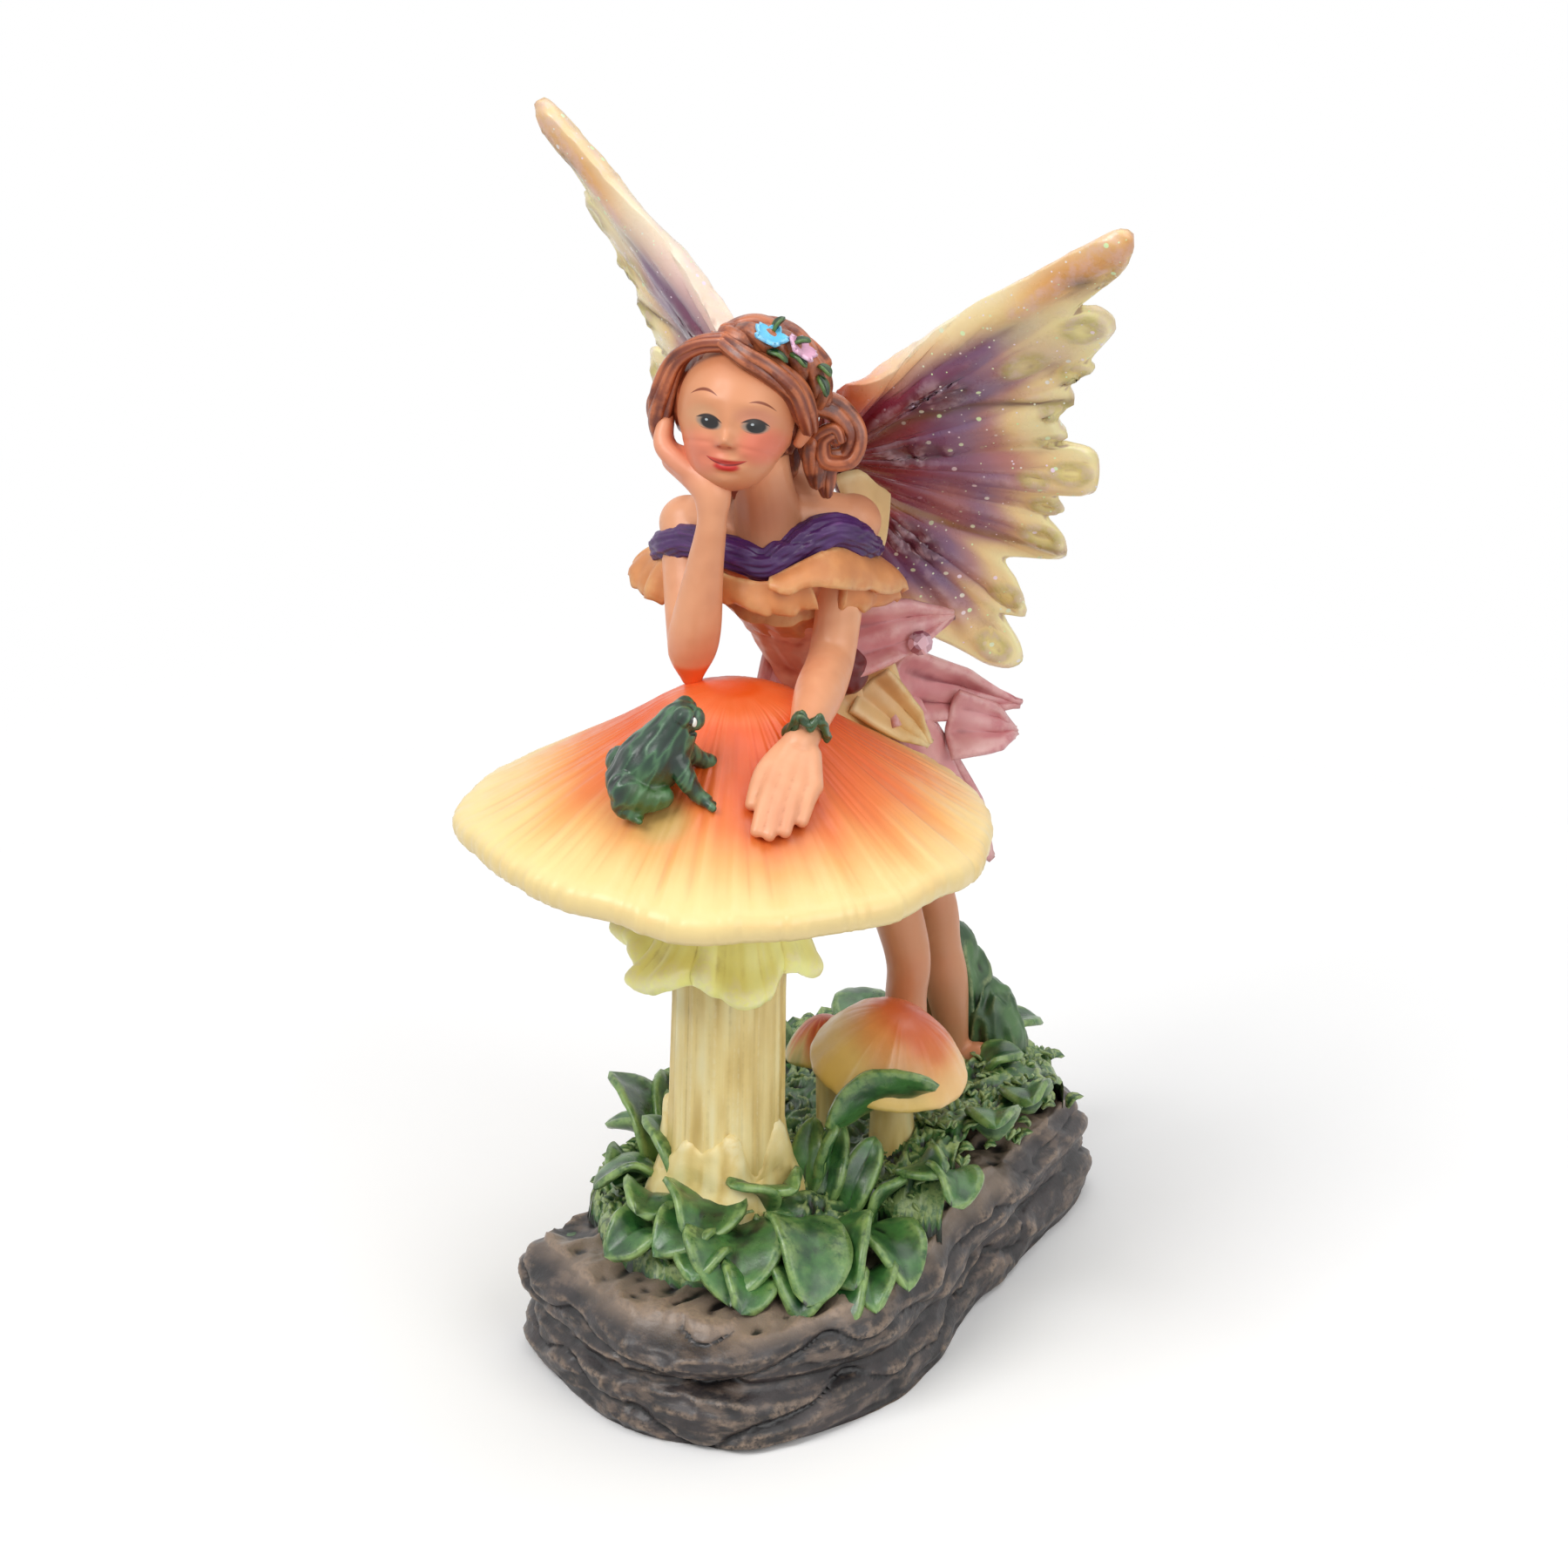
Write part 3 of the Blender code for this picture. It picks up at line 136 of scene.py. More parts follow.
def noise(p, size, seed=0, octaves=1):
    """Smooth noise from -1 to 1 over points in mm, with bumps about size mm across."""
    p = np.asarray(p, dtype=float)
    total = np.zeros(p.shape[:-1])
    strength, whole = 1.0, 0.0
    for octave in range(octaves):
        q = p * (2 ** octave / size) + 31.7
        base = np.floor(q).astype(np.int64)
        f = q - base
        f = f * f * (3 - 2 * f)
        value = 0
        for corner in range(8):
            dx, dy, dz = corner & 1, corner >> 1 & 1, corner >> 2 & 1
            weight = (np.abs(1 - dx - f[..., 0]) * np.abs(1 - dy - f[..., 1]) * np.abs(1 - dz - f[..., 2]))
            value = value + weight * lattice(base[..., 0] + dx, base[..., 1] + dy, base[..., 2] + dz,
                                             seed + octave)
        total += strength * (2 * value - 1)
        whole += strength
        strength *= 0.5
    return total / whole


def ridged(p, size, seed, octaves=2):
    """Noise with sharp crests, from -1 in the hollows to 1 on the crests."""
    return 1 - 2.6 * np.abs(noise(p, size, seed, octaves))


def smooth_path(points, steps):
    """A smooth curve through rows of numbers, steps points to each stretch."""
    points = np.asarray(points, dtype=float)
    padded = np.vstack([points[:1], points, points[-1:]])
    path = []
    for index in range(len(points) - 1):
        a, b, c, d = padded[index:index + 4]
        t = (np.arange(steps) / steps)[:, None]
        path.append(0.5 * (2 * b + (c - a) * t + (2 * a - 5 * b + 4 * c - d) * t ** 2
                           + (3 * b - a - 3 * c + d) * t ** 3))
    return np.vstack(path + [points[-1:]])


def smooth_loop(points, count):
    """A closed smooth curve through points, read at count even steps."""
    points = np.asarray(points, dtype=float)
    wrapped = np.vstack([points[-1:], points, points[:2]])
    steps = 40
    path = smooth_path(wrapped, steps)[steps:-steps]
    length = travelled(path)
    at = np.linspace(0, length[-1], count, endpoint=False)
    return np.stack([np.interp(at, length, path[:, k]) for k in range(path.shape[1])], axis=1)


def resampled(points, count):
    """Points at even steps along a smooth curve through the given ones."""
    path = smooth_path(points, 16)
    length = travelled(path[:, :3])
    steps = np.linspace(0, length[-1], count)
    return np.stack([np.interp(steps, length, path[:, k]) for k in range(path.shape[1])], axis=1)


def link_mesh(name, mesh):
    piece = bpy.data.objects.new(name, mesh)
    bpy.context.scene.collection.objects.link(piece)
    return piece


def grid(name, points, around=False, ends=False, seam=False, **layers):
    """A mesh through rows of points. Layers are values or colours kept at each point."""
    rows, columns = points.shape[:2]
    index = np.arange(rows * columns).reshape(rows, columns)
    if around:
        index = np.hstack([index, index[:, :1]])
    quads = np.stack([index[:-1, :-1], index[:-1, 1:], index[1:, 1:], index[1:, :-1]],
                     axis=-1).reshape(-1, 4)
    faces = quads.tolist()
    if ends:
        faces.append(list(range(columns))[::-1])
        faces.append(list(range((rows - 1) * columns, rows * columns)))
    if seam:
        for first in (0, (rows - 1) * columns):
            faces += [(first + i, first + i + 1, first + columns - 2 - i, first + columns - 1 - i)
                      for i in range(columns // 2 - 1)]
    mesh = bpy.data.meshes.new(name)
    mesh.from_pydata((points.reshape(-1, 3) * MM).tolist(), [], faces)
    for key, value in layers.items():
        store(mesh, key, np.asarray(value).reshape(rows * columns, -1))
    return link_mesh(name, mesh)


def plate(name, points, half, **layers):
    """A closed plate round a sheet of points, with half its thickness given at each point."""
    normal = sheet_normal(points)
    half = np.broadcast_to(np.asarray(half, dtype=float), points.shape[:2])[..., None]
    both = np.concatenate([points + normal * half, (points - normal * half)[:, ::-1]], axis=1)
    doubled = {}
    for key, value in layers.items():
        value = np.asarray(value, dtype=float)
        doubled[key] = np.concatenate([value, value[:, ::-1]], axis=1)
    return grid(name, both, around=True, seam=True, **doubled)


def store(mesh, key, value):
    """Keeps a value or a colour at each point of a mesh."""
    value = np.asarray(value, dtype=np.float32).reshape(len(mesh.vertices), -1)
    if value.shape[1] == 1:
        layer = mesh.attributes.new(key, "FLOAT", "POINT")
        layer.data.foreach_set("value", value.ravel())
    elif key.startswith("at_"):
        layer = mesh.attributes.new(key, "FLOAT_VECTOR", "POINT")
        layer.data.foreach_set("vector", value.ravel())
    else:
        layer = mesh.attributes.new(key, "FLOAT_COLOR", "POINT")
        rgba = np.hstack([value, np.ones((len(value), 1), dtype=np.float32)])
        layer.data.foreach_set("color", rgba.ravel())


def read_points(mesh, what):
    """Three numbers a point: its place, as co, or its normal."""
    flat = np.empty(len(mesh.vertices) * 3, dtype=np.float32)
    mesh.vertices.foreach_get(what, flat)
    return flat.reshape(-1, 3)


def coordinates(mesh):
    """A mesh's points in mm."""
    return read_points(mesh, "co").astype(float) / MM


def applied(piece):
    """Applies an object's modifiers."""
    bpy.context.view_layer.update()
    mesh = bpy.data.meshes.new_from_object(piece.evaluated_get(bpy.context.evaluated_depsgraph_get()))
    name = piece.name
    bpy.data.objects.remove(piece)
    mesh.name = name
    return link_mesh(name, mesh)


def thicken(piece, thickness):
    """Gives an open sheet its thickness, evenly to both sides."""
    shell = piece.modifiers.new("thickness", "SOLIDIFY")
    shell.thickness = thickness * MM
    shell.offset = 0.0
    return applied(piece)


def joined(name, pieces):
    """Joins pieces into one object and keeps their point layers."""
    for piece in bpy.context.selected_objects:
        piece.select_set(False)
    for piece in pieces:
        piece.select_set(True)
    bpy.context.view_layer.objects.active = pieces[0]
    if len(pieces) > 1:
        bpy.ops.object.join()
    whole = bpy.context.view_layer.objects.active
    whole.name = name
    whole.data.name = name
    return whole


def facing_out(mesh):
    """Turns closed forms' faces outward."""
    shape = bmesh.new()
    shape.from_mesh(mesh)
    bmesh.ops.recalc_face_normals(shape, faces=shape.faces)
    shape.to_mesh(mesh)
    shape.free()


def fused(name, pieces, voxel, relax=3):
    """Fuses overlapping closed pieces into one skin with soft welds."""
    whole = joined(name, pieces)
    skin = whole.modifiers.new("fuse", "REMESH")
    skin.mode = "VOXEL"
    skin.voxel_size = voxel * MM
    soft = whole.modifiers.new("relax", "SMOOTH")
    soft.iterations = relax
    soft.factor = 0.5
    return applied(whole)


def tube(stations, steps=10, around=20, shape=None):
    """Rows of a round form along a smooth path of (x, y, z, radius), with rounded ends."""
    path = smooth_path(stations, steps)
    places, radii = path[:, :3], np.maximum(path[:, 3], 0.02)
    ways = unit(np.gradient(places, axis=0))
    side = unit(np.cross(ways[0], [0.31, 0.17, 0.93]))
    angles = np.linspace(0, 2 * np.pi, around, endpoint=False)
    rows = []
    total = len(path) - 1
    for index, (place, way, radius) in enumerate(zip(places, ways, radii)):
        side = unit(side - way * np.dot(side, way))
        over = np.cross(way, side)
        swell = np.ones(around) if shape is None else shape(angles, index / total)
        wide, high = np.cos(angles) * swell * radius, np.sin(angles) * swell * radius
        ring = wide[:, None] * side + high[:, None] * over
        if index == 0:
            for turn in (85, 60, 30):
                a = math.radians(turn)
                rows.append(place - way * radius * 0.8 * math.sin(a) + ring * math.cos(a))
        rows.append(place + ring)
        if index == total:
            for turn in (30, 60, 85):
                a = math.radians(turn)
                rows.append(place + way * radius * 0.8 * math.sin(a) + ring * math.cos(a))
    return np.array(rows)


def limb(name, stations, steps=10, around=20, shape=None, **layers):
    """A closed round form along a path."""
    points = tube(stations, steps, around, shape)
    return grid(name, points, around=True, ends=True, **layers)


def at(place, radius):
    return (*place, radius)


def ellipsoid(name, center, radii, turn=(0, 0, 0), rows=40, columns=60, relief=None, **layers):
    """An ellipsoid turned by three angles in degrees, with an optional relief in mm."""
    down = np.linspace(math.pi - 0.02, 0.02, rows)[:, None]
    round_ = np.linspace(0, 2 * math.pi, columns, endpoint=False)[None, :]
    flat = np.sin(down)
    ball = np.stack([flat * np.cos(round_), flat * np.sin(round_), np.cos(down) + 0 * round_], axis=-1)
    ways = turned(turn)
    points = (ball * np.asarray(radii, dtype=float)) @ ways.T + center
    if relief is not None:
        points = points + (ball @ ways.T) * relief(points)[..., None]
    return grid(name, points, around=True, ends=True, **layers)


def relief_layers(piece, rounds=10):
    """Works out how high or deep each point lies against its surroundings."""
    mesh = piece.data
    p = coordinates(mesh)
    count = len(p)
    edges = np.empty(len(mesh.edges) * 2, dtype=np.int32)
    mesh.edges.foreach_get("vertices", edges)
    edges = edges.reshape(-1, 2)
    ends = np.concatenate([edges[:, 0], edges[:, 1]])
    others = np.concatenate([edges[:, 1], edges[:, 0]])
    degree = np.maximum(np.bincount(ends, minlength=count), 1)
    normals = read_points(mesh, "normal")
    q = p.copy()
    for step in range(rounds):
        mean = np.stack([np.bincount(ends, weights=q[others, k], minlength=count) for k in range(3)],
                        axis=1)
        q = 0.3 * q + 0.7 * mean / degree[:, None]
        if step == 2:
            fine = np.einsum("ij,ij->i", p - q, normals)
    broad = np.einsum("ij,ij->i", p - q, normals)
    store(mesh, "relief_fine", fine)
    store(mesh, "relief_broad", broad)


def srgb(r, g, b):
    """A colour as seen on screen, from 0 to 1, as light."""
    return tuple(c / 12.92 if c <= 0.04045 else ((c + 0.055) / 1.055) ** 2.4 for c in (r, g, b))


def blend(a, b, t):
    """Mixes two colours, or arrays of them, by shares. A tuple is a colour as seen on screen."""
    a, b = (srgb(*color) if isinstance(color, tuple) else color for color in (a, b))
    t = np.asarray(t, dtype=float)[..., None]
    return np.asarray(a) * (1 - t) + np.asarray(b) * t


def ramp_colors(value, stops):
    """Colours read off a list of (value, colour) stops, the colours as seen on screen."""
    keys = [key for key, _ in stops]
    colors = np.array([srgb(*color) for _, color in stops])
    return np.stack([np.interp(value, keys, colors[:, k]) for k in range(3)], axis=-1)


class Paint:
    """One painted-resin material, built node by node."""

    def __init__(self, name, roughness=0.42, coat=0.25):
        self.material = bpy.data.materials.new(name)
        self.material.use_nodes = True
        self.tree = self.material.node_tree
        self.shader = self.tree.nodes["Principled BSDF"]
        self.shader.inputs["Roughness"].default_value = roughness
        self.shader.inputs["Coat Weight"].default_value = coat
        self.shader.inputs["Coat Roughness"].default_value = 0.3
        self.place = self.node("ShaderNodeTexCoord").outputs["Object"]

    def node(self, kind, **settings):
        node = self.tree.nodes.new(kind)
        for key, value in settings.items():
            setattr(node, key, value)
        return node

    def put(self, socket, value):
        """Links a socket, or sets it: a tuple is a colour as seen on screen, an array is light."""
        if isinstance(value, bpy.types.NodeSocket):
            self.tree.links.new(value, socket)
        elif isinstance(value, tuple):
            socket.default_value = (*srgb(*value), 1.0)
        elif isinstance(value, np.ndarray):
            socket.default_value = (*value, 1.0)
        else:
            socket.default_value = value

    def layer(self, name, vector=False):
        node = self.node("ShaderNodeAttribute", attribute_name=name)
        return node.outputs["Vector" if vector else "Fac"]

    def color_layer(self, name):
        return self.node("ShaderNodeAttribute", attribute_name=name).outputs["Color"]

    def stretch(self, scale):
        node = self.node("ShaderNodeMapping")
        self.put(node.inputs["Vector"], self.place)
        node.inputs["Scale"].default_value = scale
        return node.outputs["Vector"]

    def noise(self, size, detail=4.0, where=None):
        """Noise from 0 to 1 with features about size mm across."""
        node = self.node("ShaderNodeTexNoise")
        self.put(node.inputs["Vector"], where or self.place)
        node.inputs["Scale"].default_value = 1.0 / (size * MM)
        node.inputs["Detail"].default_value = detail
        node.inputs["Roughness"].default_value = 0.6
        return node.outputs["Fac"]

    def math(self, operation, a, b=0.0, clamp=False):
        node = self.node("ShaderNodeMath", operation=operation, use_clamp=clamp)
        self.put(node.inputs[0], a)
        self.put(node.inputs[1], b)
        return node.outputs[0]

    def span(self, value, low, high, to_low=0.0, to_high=1.0):
        """Stretches a range of a value to another range, held at its ends."""
        node = self.node("ShaderNodeMapRange", interpolation_type="SMOOTHSTEP")
        self.put(node.inputs["Value"], value)
        for key, number in (("From Min", low), ("From Max", high), ("To Min", to_low), ("To Max", to_high)):
            node.inputs[key].default_value = number
        return node.outputs["Result"]

    def times(self, a, b):
        return self.math("MULTIPLY", a, b)

    def patches(self, size, detail, low, high, to_low=0.0, to_high=1.0):
        """A range of the noise, stretched to another range."""
        return self.span(self.noise(size, detail), low, high, to_low, to_high)

    def mix(self, factor, a, b, way="MIX"):
        node = self.node("ShaderNodeMix", data_type="RGBA", blend_type=way)
        self.put(node.inputs["Factor"], factor)
        self.put(node.inputs[6], a)
        self.put(node.inputs[7], b)
        return node.outputs[2]

    def oval(self, x, y, center, radii, turn, soft):
        """1 inside a tilted ellipse on a plane of two coordinates, fading out at its edge."""
        c, s = math.cos(math.radians(turn)), math.sin(math.radians(turn))
        dx = self.math("SUBTRACT", x, center[0])
        dy = self.math("SUBTRACT", y, center[1])
        along = self.math("ADD", self.times(dx, c / radii[0]), self.times(dy, s / radii[0]))
        up = self.math("SUBTRACT", self.times(dy, c / radii[1]), self.times(dx, s / radii[1]))
        far = self.math("ADD", self.times(along, along), self.times(up, up))
        return self.span(far, (1 - soft) ** 2, (1 + soft) ** 2, 1.0, 0.0)

    def stroke(self, x, y, center, reach, rise, width, tilt):
        """1 along a thin arched brush stroke that tapers at both ends."""
        along = self.times(self.math("SUBTRACT", x, center[0]), 1.0 / reach)
        square = self.times(along, along)
        line = self.math("ADD", self.times(self.math("SUBTRACT", 1.0, square), rise), center[1])
        line = self.math("ADD", line, self.times(along, tilt))
        off = self.math("ABSOLUTE", self.math("SUBTRACT", y, line))
        thick = self.times(self.math("SUBTRACT", 1.0, square), width)
        inside = self.span(self.math("DIVIDE", off, self.math("MAXIMUM", thick, 0.0005)), 0.6, 1.5,
                           1.0, 0.0)
        return self.times(inside, self.span(square, 0.9, 1.1, 1.0, 0.0))

    def brushed(self, base, wash, light, wash_at=(-0.10, 0.0), light_at=(0.02, 0.12), wash_most=0.85,
                light_most=0.8, grain=0.9):
        """A base coat with a dark wash in the recesses and a dry-brushed light coat on the edges."""
        ragged = self.patches(grain, 4.0, 0.2, 0.8, -0.03, 0.03)
        relief = self.math("ADD", self.layer("relief_broad"), ragged)
        low = self.span(relief, wash_at[0], wash_at[1], wash_most, 0.0)
        high = self.span(relief, light_at[0], light_at[1], 0.0, light_most)
        broken = self.times(high, self.patches(grain * 0.6, 5.0, 0.32, 0.60))
        return self.mix(broken, self.mix(low, base, wash), light)

    def finish(self, color, bump_size=0.25, bump=0.03, variation=0.10):
        """Joins the colour and a fine uneven surface to the shader and returns the material."""
        spotted = self.mix(self.patches(3.0, 3.0, 0.3, 0.7, 0.0, variation), color, (0.0, 0.0, 0.0))
        self.put(self.shader.inputs["Base Color"], spotted)
        node = self.node("ShaderNodeBump")
        node.inputs["Strength"].default_value = 0.5
        node.inputs["Distance"].default_value = bump * MM
        self.put(node.inputs["Height"], self.noise(bump_size, 3.0))
        self.put(self.shader.inputs["Normal"], node.outputs["Normal"])
        rough = self.patches(1.6, 3.0, 0.3, 0.7, self.shader.inputs["Roughness"].default_value - 0.08,
                          self.shader.inputs["Roughness"].default_value + 0.12)
        self.put(self.shader.inputs["Roughness"], rough)
        return self.material


def dress(piece, material, node="figurine_body", rounds=10):
    """Finishes a piece: relief layers, material, smooth shading and its place in the frame."""
    facing_out(piece.data)
    relief_layers(piece, rounds)
    piece.data.materials.clear()
    piece.data.materials.append(material)
    piece.data.shade_smooth()
    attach(piece, "root")
    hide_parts(node)
    return piece


# The lie of the land

# The rock's outline, as shares of half its width and length
BASE_OUTLINE = [
    (-0.88, -0.70), (-0.64, -0.84), (-0.10, -1.00), (0.35, -1.00), (0.63, -0.92), (0.95, -0.65),
    (1.00, -0.40), (0.89, -0.01), (0.90, 0.25), (0.88, 0.60), (0.68, 0.76), (0.38, 0.86), (0.00, 0.95),
    (-0.50, 0.88), (-0.80, 0.56), (-0.88, 0.14), (-0.86, -0.25), (-0.85, -0.48),
]
# Layers of the rock's side: height as a share, and how far each stands out in mm
STRATA = [
    (0.0, -0.2), (0.10, 0.3), (0.26, 0.6), (0.38, 0.1), (0.45, -1.0), (0.52, -1.1),
    (0.60, 0.1), (0.72, 0.5), (0.84, 0.2), (0.92, -0.7), (1.0, -1.9),
]
# Soil: middle x and y, reach across and along, and height as a share of the soil's
MOUNDS = [
    (-0.5, -15.0, 12.0, 12.5, 1.00), (12.5, -1.0, 6.8, 10.0, 1.15), (10.0, 11.5, 7.6, 10.5, 0.95),
    (-9.5, -11.0, 6.2, 9.5, 0.50), (-4.0, 13.0, 12.5, 17.5, 0.45), (5.0, 20.5, 7.5, 7.0, 0.50),
]


def ground(x, y):
    """Height of the soil, moss or bare rock."""
    x, y = np.asarray(x, dtype=float), np.asarray(y, dtype=float)
    height = np.full(np.broadcast(x, y).shape, BASE_HEIGHT)
    for center_x, center_y, across, along, share in MOUNDS:
        reach = ((x - center_x) / across) ** 2 + ((y - center_y) / along) ** 2
        height = np.maximum(height, BASE_HEIGHT + SOIL_HEIGHT * share * np.sqrt(np.clip(1 - reach, 0, 1)))
    return height


def on_ground(x, y, lift=0.0):
    return vec(x, y, float(ground(x, y)) + lift)


def moss_paint(name):
    paint = Paint(name, 0.42, 0.3)
    base = paint.mix(paint.patches(3.0, 3.0, 0.35, 0.65), (0.13, 0.27, 0.14), (0.27, 0.45, 0.22))
    base = paint.mix(paint.patches(5.0, 2.0, 0.58, 0.74, 0.0, 0.4), base, (0.42, 0.38, 0.20))
    color = paint.brushed(base, (0.025, 0.055, 0.035), (0.66, 0.74, 0.46), (-0.18, -0.03),
                          (0.03, 0.18), 0.92, 0.75)
    return paint.finish(color, 0.3, 0.06, 0.1)


def make_rock():
    """The layered rock: two or three thick, broken slabs with dark gaps, rough ridges over all of it."""
    outline = smooth_loop(BASE_OUTLINE, 400)
    direction = unit(outline * [BASE_WIDTH, BASE_LENGTH])
    edge = outline * [BASE_WIDTH / 2, BASE_LENGTH / 2]
    shares = np.array([share for share, _ in STRATA])
    reliefs = np.array([relief for _, relief in STRATA])
    rows = []
    for level in np.linspace(0.0, 1.0, 48):
        rows.append(np.column_stack([edge, np.full(len(edge), BASE_HEIGHT * level)]))
    side_rows = len(rows)
    for inset in np.linspace(0.985, 0.30, 32):
        rows.append(np.column_stack([edge * inset, np.full(len(edge), BASE_HEIGHT)]))
    points = np.array(rows)
    level = np.clip(points[..., 2] / BASE_HEIGHT, 0, 1)
    circle = np.column_stack([direction * 2.1, np.zeros(len(direction))])
    wander = noise(circle[None] + np.stack([0 * level, 0 * level, level * 1.2], axis=-1), 1.0, 3)
    swing = noise(circle * 1.1, 1.0, 33)[None] * 2.4 + noise(circle * 3.2, 1.0, 34)[None] * 1.3
    swing = swing + 0.8 * noise(points * [0.5, 0.5, 0.8], 2.6, 35, 2)
    layer = (points[..., 2] + swing) / 4.6 + 0.32
    slab = np.floor(layer)
    saw = layer - slab
    whole = slab.astype(np.int64)
    slab_out = lattice(whole, whole * 0, whole * 0, 9) - 0.5
    pillow = (np.clip(np.sin(np.pi * np.clip(saw, 0, 1)), 0, 1) ** 0.30) - 0.78
    strength = 0.65 + 0.5 * noise(circle * 1.7, 1.0, 36)[None]
    drift = noise(points, 6.0, 15)[..., None] * 1.2
    flow = points * [0.34, 0.34, 1.15] + drift
    grooves = ridged(flow, 1.3, 5, 2)
    chips = ridged(points * [0.24, 0.24, 0.80] + drift * 0.6, 2.2, 12, 1)
    blocks = noise(points * [0.6, 0.6, 0.9], 5.0, 17, 1)
    outset = np.interp(level, shares, reliefs) + 0.8 * wander + 2.3 * pillow * strength + 0.9 * slab_out
    cracks = ridged(points * [0.7, 0.7, 1.1] + drift, 1.3, 19, 2)
    outset = outset + 0.18 * grooves + 0.45 * chips + 0.70 * blocks + 0.16 * cracks
    outset *= smooth(-0.02, 0.06, level) * 0.85 + 0.15
    out3 = np.concatenate([direction, np.zeros((len(direction), 1))], axis=1)[None]
    flat = np.zeros(level.shape)
    flat[side_rows:] = 1.0
    fade = np.ones(len(rows))
    fade[side_rows:] = np.linspace(0.9, 0.0, len(rows) - side_rows)
    points = points + out3 * (outset * fade[:, None])[..., None]
    flow = points @ np.array([[0.8, 0.45, 0], [-0.25, 0.45, 0], [0, 0, 1.0]])
    lumps = noise(points, 5.5, 24, 2)
    top_relief = 0.50 * ridged(flow, 2.2, 21, 2) + 0.16 * cracks + 0.80 * lumps + 0.1
    points[..., 2] += np.where(flat > 0, top_relief, 0.0)
    points[..., 2] += BASE_HEIGHT * 0.10 * wander * smooth(0.05, 0.4, level)
    corner = smooth(-9.0, -15.0, points[..., 0]) * smooth(-27.0, -20.0, points[..., 1])
    points[..., 2] -= 2.2 * corner * smooth(0.35, 1.0, level)
    points[0, :, 2] = 0.0
    points[..., 2] = np.maximum(points[..., 2], 0.0)
    rock = grid("rock_base", points, around=True, ends=True)
    paint = Paint("rock_paint", 0.46, 0.2)
    base = paint.mix(paint.patches(4.5, 3.0, 0.35, 0.65), (0.10, 0.085, 0.09), (0.22, 0.19, 0.19))
    scratch = paint.span(paint.noise(1.5, 4.0, paint.stretch((0.42, 0.42, 1.2))), 0.50, 0.66, 0.0, 0.42)
    base = paint.mix(scratch, base, (0.56, 0.48, 0.42))
    split = paint.node("ShaderNodeSeparateXYZ")
    paint.put(split.inputs[0], paint.place)
    upper = paint.span(split.outputs[2], 0.88 * BASE_HEIGHT * MM, 1.02 * BASE_HEIGHT * MM, 0.0, 0.65)
    base = paint.mix(upper, base, (0.62, 0.54, 0.47))
    color = paint.brushed(base, (0.045, 0.035, 0.045), (0.64, 0.55, 0.47), (-0.22, -0.02),
                          (0.06, 0.26), 0.96, 0.62, 0.8)
    dress(rock, paint.finish(color, 0.4, 0.12, 0.15), rounds=12)


def make_moss():
    """Soil and moss: soft heaps with curly crests, dark between and light on top."""
    outline = smooth_loop(BASE_OUTLINE, 316) * [BASE_WIDTH / 2, BASE_LENGTH / 2]
    shares = np.linspace(0.02, 0.93, 102)
    flat = outline[None] * shares[:, None, None]
    height = ground(flat[..., 0], flat[..., 1])
    bare = smooth(0.05, 0.9, height - BASE_HEIGHT)
    points = np.concatenate([flat, height[..., None]], axis=-1)
    bent = points + np.stack([noise(points, 2.2, 43), noise(points, 2.2, 44), 0 * height], axis=-1) * 1.1
    curls = ridged(bent, 1.6, 40, 2)
    grain = ridged(bent, 0.8, 47, 1)
    points[..., 2] += (0.62 * curls + 0.24 * grain + 0.15) * (0.3 + 0.7 * bare) - 1.5 * (1 - bare)
    points = points + np.stack([noise(points, 1.4, 50), noise(points, 1.4, 51), 0 * height], axis=-1) * 0.35
    dress(grid("moss", points[::-1], around=True), moss_paint("moss_paint"), rounds=8)
    dress(joined("moss_flakes", leaflets()), moss_paint("moss_flake_paint"), rounds=6)


